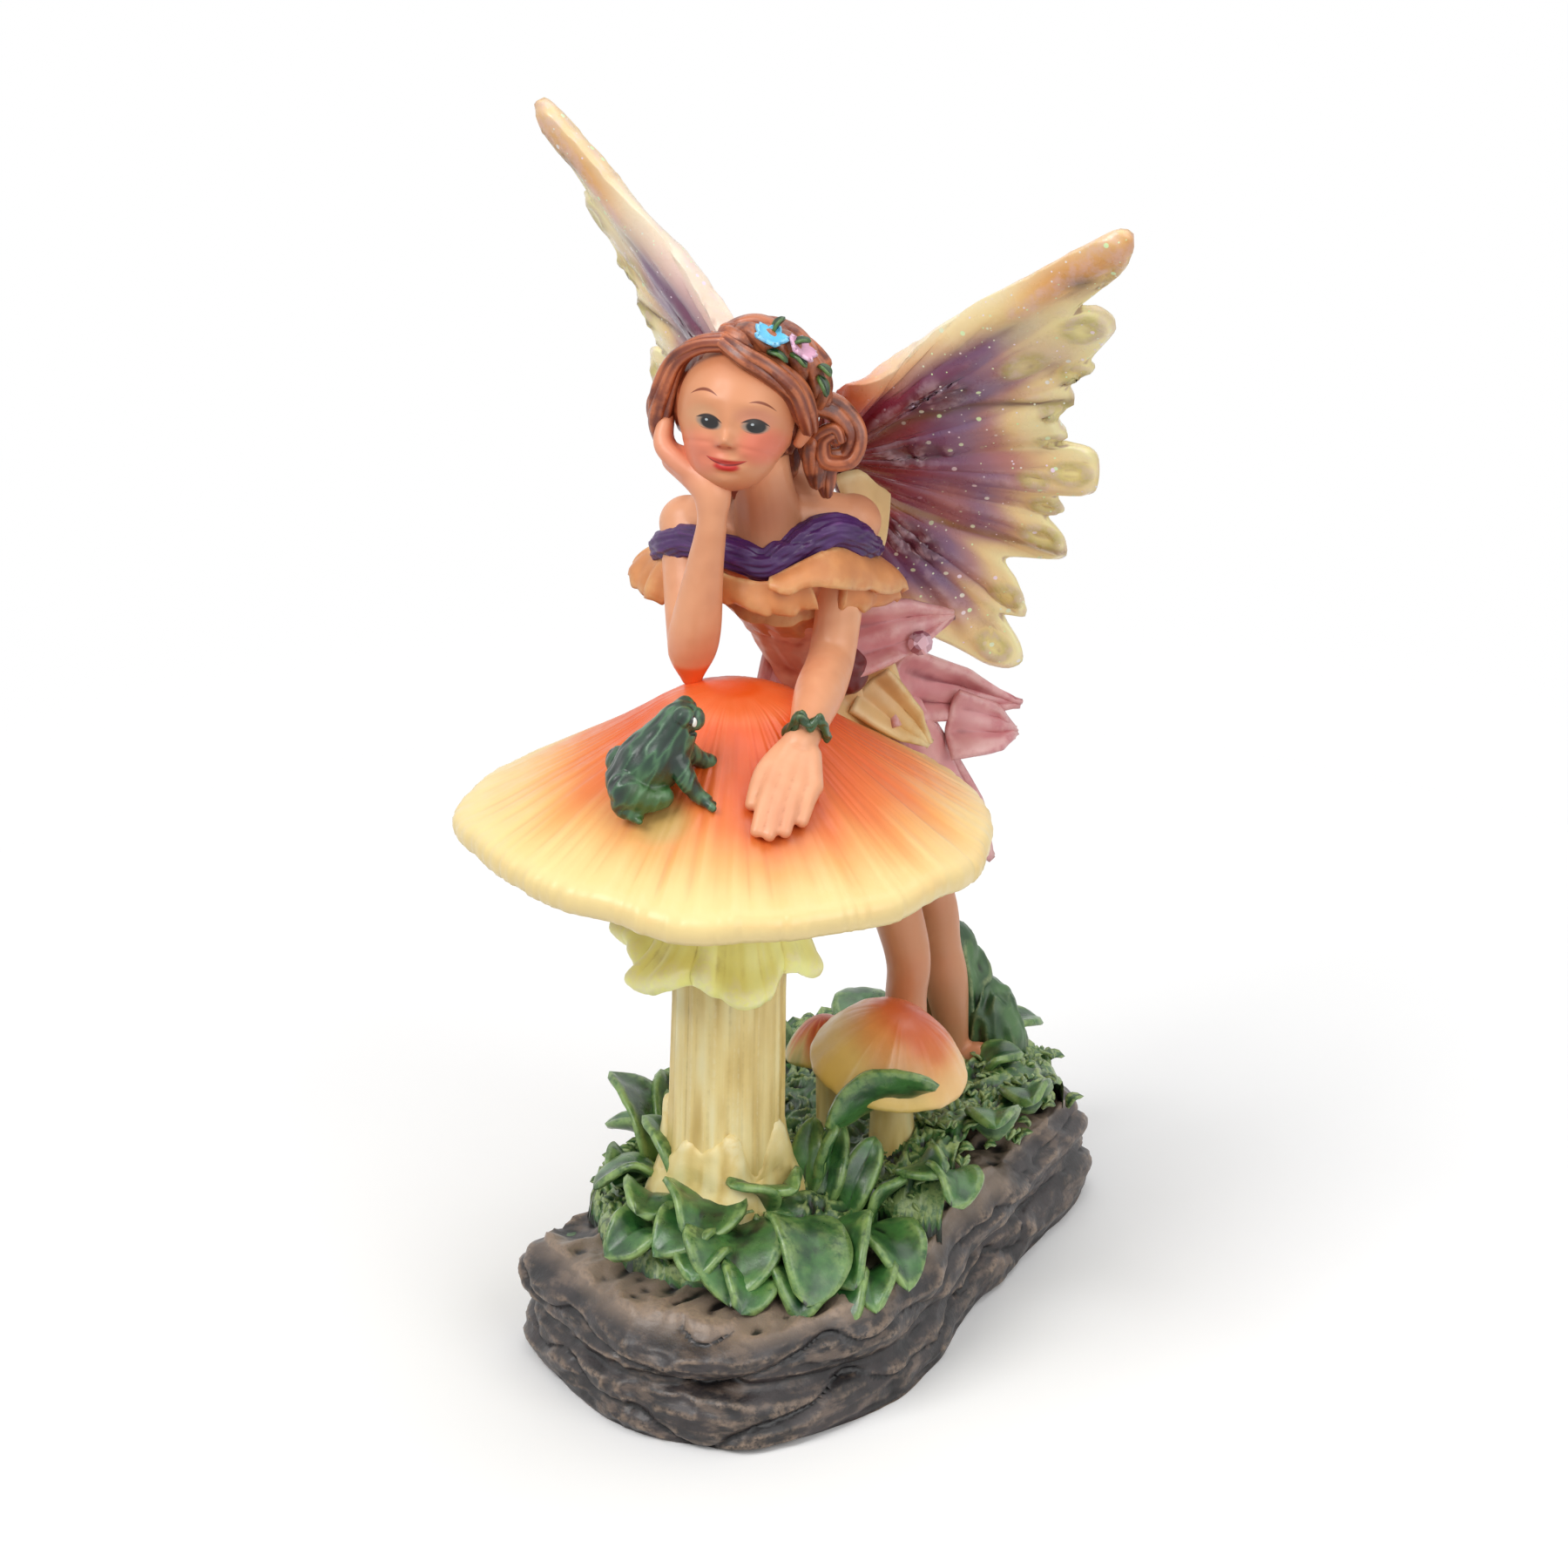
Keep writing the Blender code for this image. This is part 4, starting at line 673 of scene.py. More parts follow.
# Leaves: foot x, foot y, tip x, tip y, tip's height over its foot, width, and how far it arches
LEAVES = [
    (-10.0, -8.5, -12.5, -5.8, 6.6, 4.6, 0.10), (-8.0, -15.5, -14.6, -12.6, 7.2, 6.0, 0.20),
    (-3.0, -19.5, -8.2, -18.3, 6.2, 5.4, 0.25), (-5.2, -21.5, -4.0, -27.0, 2.4, 5.6, 0.30),
    (-1.5, -19.5, 1.3, -27.2, 0.6, 7.4, 0.25), (3.0, -20.5, 6.6, -29.6, -3.0, 8.8, 0.22),
    (6.5, -18.0, 12.4, -26.8, -2.4, 7.2, 0.28), (9.0, -14.5, 14.8, -22.2, -1.6, 6.0, 0.25),
    (10.5, -12.5, 18.0, -18.6, -1.2, 6.0, 0.22), (5.8, -14.5, 4.8, -10.8, 6.2, 3.2, 0.10),
    (7.5, -14.0, 6.4, -9.2, 6.4, 3.2, 0.10), (9.2, -13.0, 9.8, -9.0, 6.2, 3.2, 0.12),
    (10.5, -11.8, 13.4, -9.8, 5.0, 3.4, 0.15), (4.0, -19.0, 2.8, -22.8, 4.4, 5.0, 0.25),
    (5.5, -24.5, 8.0, -30.2, -0.6, 5.0, 0.25), (2.5, -25.0, 3.1, -29.8, 0.4, 5.0, 0.3),
    (13.0, -17.0, 16.8, -22.2, 0.2, 5.0, 0.3), (-10.0, -15.0, -9.8, -20.6, 1.6, 5.4, 0.3),
    (-12.0, -9.0, -16.4, -10.6, 2.4, 5.0, 0.3), (15.0, -6.0, 18.4, -11.0, 0.6, 4.8, 0.3),
    (15.5, 3.0, 17.8, -1.4, 3.6, 4.8, 0.3), (15.0, 11.0, 17.4, 7.0, 3.0, 4.8, 0.3),
    (-10.0, 0.0, -15.4, 1.2, 3.0, 5.4, 0.3), (-10.0, 10.0, -15.0, 12.2, 3.4, 5.4, 0.3),
    (-5.0, 18.0, -8.8, 23.0, 3.0, 5.4, 0.3), (2.0, 22.0, 0.8, 28.0, 3.4, 5.4, 0.3),
    (-7.0, -2.0, -8.2, 4.6, 4.6, 5.0, 0.25), (1.0, -22.5, -1.5, -28.5, -0.4, 5.8, 0.28),
    (8.5, -21.5, 12.0, -27.2, -1.6, 5.4, 0.3), (-6.0, -18.0, -10.5, -23.0, 0.8, 5.6, 0.3),
    (11.5, -18.5, 15.4, -24.2, -0.8, 5.0, 0.3), (-3.0, -24.0, -6.0, -29.0, -0.6, 5.0, 0.28),
    (4.6, -16.6, 7.6, -19.4, 3.6, 4.4, 0.25), (12.6, -7.4, 16.8, -9.4, 2.8, 4.4, 0.25),
    (-7.6, -13.0, -11.4, -9.4, 6.6, 4.6, 0.15), (9.5, 13.0, 12.6, 15.0, 2.2, 4.2, 0.3),
    (4.0, 27.0, 6.6, 31.4, 1.0, 4.6, 0.3), (-9.0, 6.0, -13.8, 6.4, 2.6, 4.6, 0.3),
]


def leaf_rows(foot, tip, width, arch, cup=0.35, rows=18, columns=11, seed=0, wave=0.10, twist=0.0,
              tilt=0.0):
    """A leaf's surface from foot to round tip, with a curled edge, a soft midrib and creases."""
    along = tip - foot
    length = np.linalg.norm(along)
    side = np.cross(along, [0.0, 0.0, 1.0])
    if np.linalg.norm(side) < 0.2 * length:
        side = np.cross(along, [0.6, -0.8, 0.0])
    side = unit(side)
    lift = unit(np.cross(side, along))
    t, across = sheet_shares(rows, columns)
    bluntness = 0.50 + 0.30 * ((seed * 0.37) % 1.0)
    round_off = np.clip(1 - np.abs(2 * t ** 0.85 - 1) ** 2.1, 0.0, 1) ** bluntness
    half = 0.5 * width * np.maximum(round_off, 0.24 * (1 - smooth(0.0, 0.4, t)))
    ripple = wave * np.sin(6 * t + 2.0 * across + seed * 1.7) * np.abs(across) ** 2
    bend = arch * length * np.sin(math.pi * t ** 0.9)
    dish = 0.7 * cup * half * (across ** 2 - 0.35) - 0.14 * bell(across, 0, 0.16) * (half / (0.5 * width))
    turn = np.radians(tilt + twist * t)[..., None]
    sideways = side * np.cos(turn) + lift * np.sin(turn)
    up = lift * np.cos(turn) - side * np.sin(turn)
    points = foot + along * t[..., None] + sideways * (half * across)[..., None]
    crease = 0.11 * length ** 0.5 * noise(points + seed, 1.7, 45, 2)
    points = points + up * (bend + dish + half * ripple + crease)[..., None]
    return points, rim_share(t, across, 0.90, 9)


def leaflets():
    """Small curled flakes of moss strewn over the soil."""
    pieces = []
    for index in range(500):
        pick = [float(lattice(index, 7, 3 * k, 91)) for k in range(6)]
        mound = MOUNDS[int(pick[0] * 5.999)]
        turn = 2 * math.pi * pick[1]
        reach = 0.97 * math.sqrt(pick[2])
        x, y = mound[0] + mound[2] * reach * math.cos(turn), mound[1] + mound[3] * reach * math.sin(turn)
        if abs(x) > 16.6 or y < -30.0 or float(ground(x, y)) < BASE_HEIGHT + 0.6:
            continue
        foot = on_ground(x, y, -0.2)
        way = 2 * math.pi * pick[3]
        size = 0.9 + 1.0 * pick[4]
        tip = foot + vec(math.cos(way) * size, math.sin(way) * size, 0.3 + 1.0 * pick[5])
        points, rim = leaf_rows(foot, tip, size * 0.8, 0.30, 0.6, 6, 5, seed=index)
        pieces.append(plate(f"leaflet_{index}", points, 0.14))
    return pieces


def leaf_paint(name, dark, mid, pale):
    paint = Paint(name, 0.34, 0.4)
    base = paint.mix(paint.patches(3.0, 3.0, 0.35, 0.65), dark, mid)
    streak = paint.patches(1.4, 3.0, 0.38, 0.66, 0.0, 0.75)
    rimmed = paint.times(paint.layer("rim"), streak)
    base = paint.mix(rimmed, base, pale)
    color = paint.brushed(base, (0.02, 0.06, 0.035), pale, (-0.15, -0.015), (0.03, 0.22), 0.94, 0.45, 1.2)
    return paint.finish(color, 0.3, 0.05, 0.10)


def make_leaves():
    pieces = []
    for index, (x, y, tip_x, tip_y, rise, width, arch) in enumerate(LEAVES):
        foot = on_ground(x, y, -0.8)
        tip = foot + vec(tip_x - x, tip_y - y, rise)
        twist = 80 * (float(lattice(index, 3, 0, 5)) - 0.5)
        points, rim = leaf_rows(foot, tip, width, arch, 0.25 + 0.35 * lattice(index, 1, 0, 2),
                                seed=index, twist=twist)
        thin = 0.40 - 0.16 * rim
        pieces.append(plate(f"leaf_{index}", points, thin, rim=rim))
    knee = vec(7.3, -12.8, 20.2)
    points, rim = leaf_rows(knee, vec(15.5, -7.9, 24.3), 5.2, 0.18, 0.30, seed=50, tilt=58)
    stalk, _ = leaf_rows(on_ground(6.2, -13.2, -0.6), knee + vec(0.5, 0.2, 0.6), 2.4, 0.05)
    pieces.append(plate("leaf_stalk", stalk, 0.4, rim=np.zeros(stalk.shape[:2])))
    pieces.append(plate("leaf_across", points, 0.40 - 0.16 * rim, rim=rim))
    material = leaf_paint("leaf_paint", (0.11, 0.27, 0.13), (0.26, 0.47, 0.22), (0.60, 0.72, 0.42))
    dress(joined("leaves", pieces), material, rounds=6)


# Toadstools

# Half of the cap's outline: reach and height, as shares of its radius and rise
CAP_PROFILE = [
    (0.0, 1.0), (0.12, 0.985), (0.22, 0.93), (0.30, 0.84), (0.40, 0.70), (0.55, 0.51), (0.70, 0.336),
    (0.85, 0.156), (0.95, 0.043), (0.985, 0.0),
]
CAP_CENTER = vec(-0.1, -16.4, BASE_HEIGHT + SOIL_HEIGHT + STEM_HEIGHT)
CAP_TURN = np.array(Matrix.Rotation(math.radians(-CAP_TILT), 3, "X"))


def on_cap(across, along, lift=0.0):
    """A place on the big cap, given as shares of its radius from its middle."""
    reach = math.hypot(across, along)
    height = CAP_RISE * np.interp(reach, [r for r, _ in CAP_PROFILE], [h for _, h in CAP_PROFILE])
    return CAP_CENTER + CAP_TURN @ vec(across * CAP_RADIUS, along * CAP_RADIUS, height + lift)


CAP_APEX = on_cap(0.0, 0.0)


def fairy(x, y, z):
    """A place on the fairy, measured from the top of the cap."""
    return CAP_APEX + vec(x, y, z)


def cap_lobes(angle):
    """How far the rim swells out, as a share of the radius, and droops, as a share of its edge."""
    wave = np.sin(9 * angle) + 0.6 * np.sin(14 * angle + 1.0) + 0.5 * np.sin(5 * angle + 2.0)
    front = near_angle(angle, 300, 0.55)
    return 0.006 * wave + 0.055 * near_angle(angle, 208, 0.45) + 0.022 * front, 0.07 * wave + 0.30 * front


def make_cap():
    """The wide cap: soft radial ridges over orange that fades to a cream rim, gills below."""
    angle, circle = circle_of(480)
    profile = np.array([(r * CAP_RADIUS, h * CAP_RISE) for r, h in CAP_PROFILE]
                       + [(CAP_RADIUS, -0.35 * CAP_EDGE), (0.985 * CAP_RADIUS, -0.85 * CAP_EDGE),
                          (0.93 * CAP_RADIUS, -0.90 * CAP_EDGE), (0.70 * CAP_RADIUS, -0.15 * CAP_EDGE),
                          (0.40 * CAP_RADIUS, 0.35 * CAP_EDGE), (0.1, 0.45 * CAP_EDGE)])
    fine = smooth_path(profile, 14)
    length = travelled(fine)
    along = np.linspace(0.3, length[-1], 92)
    reach = (np.interp(along, length, fine[:, 0]) / CAP_RADIUS)[:, None]
    height = np.interp(along, length, fine[:, 1])[:, None]
    upper = (along < length[14 * (len(CAP_PROFILE) - 1)] + 1.2)[:, None]
    out = reach[..., None] * [0, 0, 1.0]
    ribs = 0.6 * noise(circle * 24 + out * 1.5, 1.0, 60) + 0.4 * noise(circle * 55 + out * 2.5, 1.0, 61)
    broad_ribs = noise(circle * 9 + out, 1.0, 66)
    depth = smooth(0.12, 0.45, reach) * (1 - 0.45 * smooth(0.8, 1.0, reach))
    gill_phase = 90 * angle + 3 * noise(circle * 4, 1.0, 70)
    gills = np.sin(gill_phase) * 0.28 * smooth(0.2, 0.35, reach) * smooth(0.93, 0.84, reach)
    dents = noise(circle * 3.2 + out * 3.0, 1.0, 73)
    bump = np.where(upper, (0.17 * ribs + 0.16 * broad_ribs + 0.14 * dents) * depth, gills)
    nicks = 0.5 * noise(circle * 22, 1.0, 64) + 0.5 * noise(circle * 48, 1.0, 65)
    spread, droop = cap_lobes(angle)
    radius = CAP_RADIUS * reach * (1 + spread * reach ** 3) + 0.32 * nicks * smooth(0.9, 1.0, reach)
    lifted = height + bump - droop * CAP_EDGE * reach ** 3
    local = np.stack([radius * np.cos(angle), radius * np.sin(angle), lifted + 0 * angle], axis=-1)
    points = local @ CAP_TURN.T + CAP_CENTER
    paler_left = 0.10 * near_angle(angle, 205, 0.7)
    fade = reach + paler_left + 0.06 * noise(circle * 7, 1.0, 67) + 0.035 * ribs * smooth(0.1, 0.5, reach)
    top = ramp_colors(fade,
                      [(0.0, (0.94, 0.34, 0.07)), (0.30, (0.93, 0.36, 0.09)),
                       (0.52, (0.92, 0.40, 0.13)), (0.67, (0.94, 0.51, 0.22)),
                       (0.79, (0.97, 0.69, 0.38)), (0.90, (0.98, 0.82, 0.53)),
                       (1.03, (0.98, 0.88, 0.60))])
    streak = smooth(0.10, 0.9, noise(circle * 34 + out * 1.2, 1.0, 68)) * smooth(0.15, 0.4, reach)
    top = blend(top, top * [0.86, 0.62, 0.50], 0.6 * streak * smooth(0.9, 0.45, reach))
    rusty = bell(reach, 0.50, 0.22) * near_angle(angle, 335, 0.75)
    top = blend(top, (0.86, 0.38, 0.15), 0.55 * rusty)
    # Painted shadow of the hand on the cap.
    hand_shade = near_place(points, on_cap(0.44, -0.46), 3.4)
    top = blend(top, (0.76, 0.28, 0.10), 0.75 * hand_shade)
    under_frog = np.exp(-(np.linalg.norm((points - on_cap(0.06, -0.66)) * [1, 1, 0.5], axis=-1) / 2.3) ** 4)
    top = blend(top, (0.80, 0.70, 0.42), 0.8 * under_frog)
    below = ramp_colors(reach + 0 * angle,
                        [(0.0, (0.84, 0.78, 0.50)), (0.7, (0.92, 0.85, 0.58)),
                         (1.0, (0.97, 0.87, 0.60))])
    color = np.where(upper[..., None], top, below)
    cap = grid("big_cap", points[::-1], around=True, ends=True, tint=color[::-1])
    paint = Paint("cap_paint", 0.40, 0.30)
    tint = paint.color_layer("tint")
    shade = paint.span(paint.layer("relief_broad"), -0.12, 0.0, 0.40, 0.0)
    color = paint.mix(shade, tint, (0.80, 0.42, 0.16), "MULTIPLY")
    glow = paint.span(paint.layer("relief_broad"), 0.02, 0.12, 0.0, 0.25)
    color = paint.mix(glow, color, (1.0, 0.88, 0.64))
    dress(cap, paint.finish(color, 0.3, 0.02, 0.03), rounds=10)


def stem_color(points, seed):
    """Cream resin with vertical strokes of ochre and pale yellow."""
    along = noise(points * [1.0, 1.0, 0.12], 0.8, seed, 2)
    return ramp_colors(along,
                       [(-0.7, (0.80, 0.68, 0.38)), (-0.1, (0.91, 0.81, 0.53)),
                        (0.3, (0.94, 0.86, 0.60)), (0.8, (0.96, 0.91, 0.70))])


def make_big_stem():
    """The ribbed stem, its torn sheath at the foot and its fluttering ring."""
    foot = on_ground(CAP_CENTER[0] - 0.9, CAP_CENTER[1] - 0.2, -1.5)
    top = CAP_CENTER + vec(0, 0, 3.0)
    t = np.linspace(0, 1, 64)[:, None]
    angle, circle = circle_of(150)
    climb = t[..., None] * [0, 0, 1.0]
    ribs = noise(circle * 9 + climb * 0.9, 1.0, 80) + 0.6 * noise(circle * 22 + climb * 1.3, 1.0, 81)
    swell = np.interp(t, [0, 0.2, 0.5, 1.0], [1.12, 1.03, 1.0, 1.05])
    radius = STEM_RADIUS * swell * (1 + 0.030 * ribs)
    points = foot + (top - foot) * t[..., None] + circle * radius[..., None]
    stem = grid("stem", points, around=True, ends=True, tint=stem_color(points, 82))
    rows = []
    for radius_share, high in ((0.99, 6.4), (1.07, 6.1), (1.12, 5.0), (1.18, 3.4), (1.32, 1.8),
                               (1.42, 0.2), (1.30, -1.4)):
        torn = smooth(2.5, 6.2, high)
        tear = 1.3 * np.sin(4 * angle + 0.6) + 1.2 * np.sin(7 * angle + 2.0) + 0.8 * noise(circle * 5,
                1.0, 83)
        reach = STEM_RADIUS * (radius_share + 0.08 * np.sin(5 * angle) * smooth(8.5, 3, high))
        rows.append(
            (foot + circle * reach[..., None] + np.stack([0 * angle, 0 * angle, high + tear * torn],
                                                         axis=-1))[0])
    fine = rings_between(rows, 5)
    fine = fine + unit(fine - foot - vec(0, 0, 3)) * (0.18 * noise(fine, 1.6, 84, 2))[..., None]
    sheath = thicken(grid("sheath", fine[::-1], around=True, tint=stem_color(fine[::-1], 85)), 0.5)
    angle, circle = circle_of(190)
    collar_top = CAP_CENTER - vec(0, 0, RING_DROP)
    rows = []
    for reach, drop in ((STEM_RADIUS * 0.90, -1.5), (STEM_RADIUS * 1.12, 0.0), (RING_RADIUS * 0.84, 2.8),
                        (RING_RADIUS, 4.4), (RING_RADIUS * 0.95, 5.4)):
        free = max(0.0, (reach - STEM_RADIUS) / RING_RADIUS)
        lopsided = 1.0 + 0.45 * free * np.cos(angle - math.radians(215))
        flutter = 1.0 + 0.28 * free * np.sin(6 * angle + 0.6) + 0.08 * free * np.sin(17 * angle)
        flutter = lopsided * flutter
        hang = drop + 2.2 * free * np.sin(5 * angle) + 1.0 * free * noise(circle * 9, 1.0, 86)
        ring = circle * (reach * flutter)[..., None]
        rows.append((collar_top + ring + np.stack([0 * angle, 0 * angle, -hang], axis=-1))[0])
    fine = rings_between(rows, 7)
    folds = noise(circle * 8, 1.0, 87)[0][None, :] + 0.5 * noise(circle * 20, 1.0, 88)[0][None, :]
    swing = np.linspace(0, 1, len(fine))[:, None]
    fine = fine + circle * (0.35 * folds * swing)[..., None]
    tint = blend((1.0, 0.97, 0.54), (1.0, 1.0, 0.66), swing * 0.6 + 0.4 * smooth(-0.5, 0.5, folds))
    tint = blend(tint, (0.92, 0.86, 0.44), 0.5 * smooth(0.1, 0.7, -folds) * (1 - 0.5 * swing))
    ring = thicken(grid("stem_ring", fine[::-1], around=True, tint=tint[::-1]), 0.8)
    paint = Paint("stem_paint", 0.45, 0.25)
    color = paint.brushed(paint.color_layer("tint"), (0.58, 0.46, 0.22), (0.98, 0.94, 0.78), (-0.16, -0.01),
                          (0.02, 0.14), 0.5, 0.5)
    material = paint.finish(color, 0.3, 0.04, 0.05)
    for piece in (stem, sheath, ring):
        dress(piece, material, rounds=8)


def make_small_toadstools():
    """The open small toadstool before the legs and the bud behind the stem."""
    for name, place, height, radius, turn, seed in (
        ("small_toadstool", (8.9, -3.9), SMALL_CAP_HEIGHT - SOIL_HEIGHT + 0.4, SMALL_CAP_RADIUS,
         (4.0, 15.0, 0.0), 1),
        ("bud_toadstool", (1.0, -1.0), 13.0, BUD_CAP_RADIUS, (0.0, -6.0, 0.0), 2)):
        foot = on_ground(*place, -1.0)
        top = on_ground(*place, height) + vec(-0.6, 0.6, 0)
        rim = top - vec(0, 0, 0.75 * radius)
        profile = np.array([(0.01, 0.75), (0.25, 0.71), (0.50, 0.56), (0.75, 0.30), (0.93, 0.02),
                            (1.0, -0.14), (0.95, -0.24), (0.8, -0.22), (0.5, -0.12), (0.02, -0.10)])
        fine = smooth_path(profile, 6)
        angle, circle = circle_of(120)
        reach, high = fine[:, :1] * radius, fine[:, 1:] * radius * (0.86 if seed == 1 else 1.0)
        wave = 1 + 0.03 * np.sin(3 * angle + seed) + 0.02 * noise(circle * 6, 1.0, 90 + seed)
        ribs = 0.10 * noise(circle * 16 + fine[:, :1, None] * [0, 0, 1.0], 1.0,
                            91) * smooth(0.2, 0.8, fine[:, :1])
        local = np.concatenate(
            [circle[..., :2] * (reach * wave)[..., None], (high + ribs + 0 * angle)[..., None]],
            axis=-1)
        points = local @ turned(turn).T + rim
        blotch = noise(points, 3.0, 92, 2)
        if seed == 1:
            key = (points - rim) @ unit([0.42, 0.25, 0.85]) / radius + 0.16 * blotch
            stops = [(-0.45, (0.88, 0.74, 0.38)), (-0.05, (0.90, 0.76, 0.45)), (0.16, (0.88, 0.66, 0.40)),
                     (0.38, (0.90, 0.58, 0.32)), (0.56, (0.86, 0.42, 0.18)), (0.78, (0.80, 0.31, 0.12))]
        else:
            key = fine[:, 1:] + 0.35 * noise(circle * 7, 1.0, 95)
            stops = [(-0.3, (0.66, 0.66, 0.34)), (0.1, (0.88, 0.76, 0.44)), (0.45, (0.90, 0.52, 0.26)),
                     (0.8, (0.82, 0.34, 0.18))]
        tint = ramp_colors(key, stops)
        if seed == 1:
            pale = smooth(0.50, 0.95, (points - rim) @ unit([0.9, 0.35, -0.35]) / radius)
            tint = blend(tint, (0.98, 0.80, 0.54), 0.85 * pale)
        cap = grid(f"{name}_cap", points[::-1], around=True, ends=True, tint=tint[::-1])
        rows = tube([at(foot, radius * 0.30), at(foot * 0.5 + rim * 0.5, radius * 0.26),
                     at(rim, radius * 0.28)], 14, 48)
        stem = grid(f"{name}_stem", rows + 0.10 * noise(rows * [1, 1, 0.2], 0.9, 93)[..., None],
                    around=True, ends=True, tint=stem_color(rows, 94))
        paint = Paint(f"{name}_paint", 0.4, 0.35)
        color = paint.brushed(paint.color_layer("tint"), (0.50, 0.30, 0.14), (1.0, 0.93, 0.78),
                              (-0.2, -0.02), (0.03, 0.15), 0.5, 0.35, 2.0)
        dress(joined(name, [cap, stem]), paint.finish(color, 0.3, 0.03, 0.06), rounds=8)


# The fairy: places and directions

LATERAL = unit([0.92, 0.39, 0.0])
FRONT = unit([0.39, -0.92, 0.0])
HIPS = fairy(-0.2, 21.8, -10.0)
WAIST = fairy(-2.3, 16.8, -2.0)
CHEST = fairy(-2.1, 9.4, 7.9)
NECK = fairy(-1.2, 8.4, 11.8)
HEAD = fairy(-2.1, 5.2, 22.1)
SHOULDER_RIGHT = fairy(-2.8, 11.3, 10.1) - LATERAL * SHOULDER_WIDTH / 2
SHOULDER_LEFT = fairy(-2.8, 11.3, 10.7) + LATERAL * SHOULDER_WIDTH / 2
ELBOW = fairy(-4.7, 0.9, 1.8)
WRIST_RIGHT = fairy(-2.4, 0.4, 14.5)
PALM_RIGHT = fairy(-3.0, 1.0, 17.2)
CHEEK = HEAD + vec(-4.2, -3.6, -3.6)
ELBOW_LEFT = fairy(4.3, 9.0, 0.2)
WRIST_LEFT = on_cap(0.364, -0.114, 1.7)
FACE = unit([0.36, -0.90, 0.22])
HEAD_ROLL = 5.0
LEVEL = unit(np.cross([0.0, 0.0, 1.0], FACE))
UPRIGHT = np.cross(FACE, LEVEL)
HEAD_SIDE = LEVEL * math.cos(math.radians(HEAD_ROLL)) - UPRIGHT * math.sin(math.radians(HEAD_ROLL))
HEAD_UP = UPRIGHT * math.cos(math.radians(HEAD_ROLL)) + LEVEL * math.sin(math.radians(HEAD_ROLL))
# The nose and mouth stand this far off the head's middle, as a share of its radius
FACE_MIDDLE = -0.10
STONE_PLACE = fairy(7.9, 18.6, -1.3)
STONE_FACING = unit([0.43, -0.81, 0.41])


def spot(across, up, ahead):
    """A place on the head, in shares of its radius: to the viewer's right, up and ahead."""
    return HEAD + (HEAD_SIDE * across + HEAD_UP * up + FACE * ahead) * HEAD_RADIUS


def limb_at(name, stations, steps=10, around=22, shape=None):
    """A limb from (place, radius) pairs."""
    return limb(name, [(*place, radius) for place, radius in stations], steps, around, shape)


def body_rings(stations, forward_of, flutes=0, columns=160, steps=8):
    """Rows of a body form from (center, half width, half depth, flute depth) stations."""
    fine = smooth_path([(*center, wide, deep, flute) for center, wide, deep, flute in stations], steps)
    angle = np.linspace(0, 2 * np.pi, columns, endpoint=False)
    rows = []
    for row in fine:
        center, wide, deep, flute = row[:3], row[3], row[4], row[5]
        swell = 1.0 + flute * np.cos(flutes * angle) + 0.35 * flute * np.cos((2 * flutes + 1) * angle + 1.0)
        rows.append(center + LATERAL * (wide * swell * np.cos(angle))[:, None]
                    + forward_of * (deep * swell * np.sin(angle))[:, None])
    return np.array(rows)


def skin_paint(name):
    paint = Paint(name, 0.42, 0.15)
    tint = paint.color_layer("tint")
    base = paint.mix(paint.patches(4.0, 2.0, 0.35, 0.7, 0.0, 0.30), tint, (0.82, 0.50, 0.34))
    low = paint.span(paint.layer("relief_broad"), -0.10, -0.005, 0.75, 0.0)
    color = paint.mix(low, base, (0.66, 0.36, 0.22))
    return paint.finish(color, 0.4, 0.012, 0.03)


def skin_tint(points):
    """Skin colours by place: peach, pink hands and an orange elbow, with painted shade under the chin, on
    the right forearm over the cap and on the legs, and a painted highlight on the left arm.
    """
    tint = np.tile(np.array(srgb(0.945, 0.675, 0.505)), (len(points), 1))
    # Painted shade under the chin: the neck is painted browner there.
    painted_chin_shade = np.exp(
        -(np.linalg.norm((points - (NECK + FRONT * 2.5 + vec(0, 0, 1.5))) / [3.6, 3.6, 3.4],
                         axis=1)) ** 2)
    tint = blend(tint, (0.66, 0.38, 0.25), 0.85 * painted_chin_shade)
    pink = near_place(points, CHEEK + vec(0.2, -0.6, 0.4), 3.6)
    tint = blend(tint, (0.95, 0.58, 0.48), 0.6 * pink)
    # Painted shade on the right forearm, just over the cap.
    painted_forearm_shade = smooth(67.0, 63.0, points[:, 2]) * smooth(62.0, 64.0, points[:, 2]) * (points[:, 0] < -1.5)
    tint = blend(tint, (0.90, 0.58, 0.43), 0.6 * painted_forearm_shade)
    dipped = smooth(62.9, 62.2, points[:, 2]) * (np.linalg.norm(points[:, :2] - ELBOW[:2], axis=1) < 3.5)
    tint = blend(tint, (0.95, 0.40, 0.13), 0.95 * dipped)
    tips = near_place(points, on_cap(0.47, -0.50, 0.8), 2.2)
    tint = blend(tint, (0.95, 0.64, 0.50), 0.5 * tips)
    # Painted highlight: the left upper arm is painted lighter towards the elbow.
    lit = near_place(points, SHOULDER_LEFT * 0.4 + ELBOW_LEFT * 0.6, 5.0)
    tint = blend(tint, (1.0, 0.80, 0.62), 0.55 * lit)
    # Painted shade: the legs, under the cap, are painted browner.
    legs = smooth(46.0, 40.0, points[:, 2])
    return blend(tint, (0.78, 0.54, 0.39), 0.85 * legs)


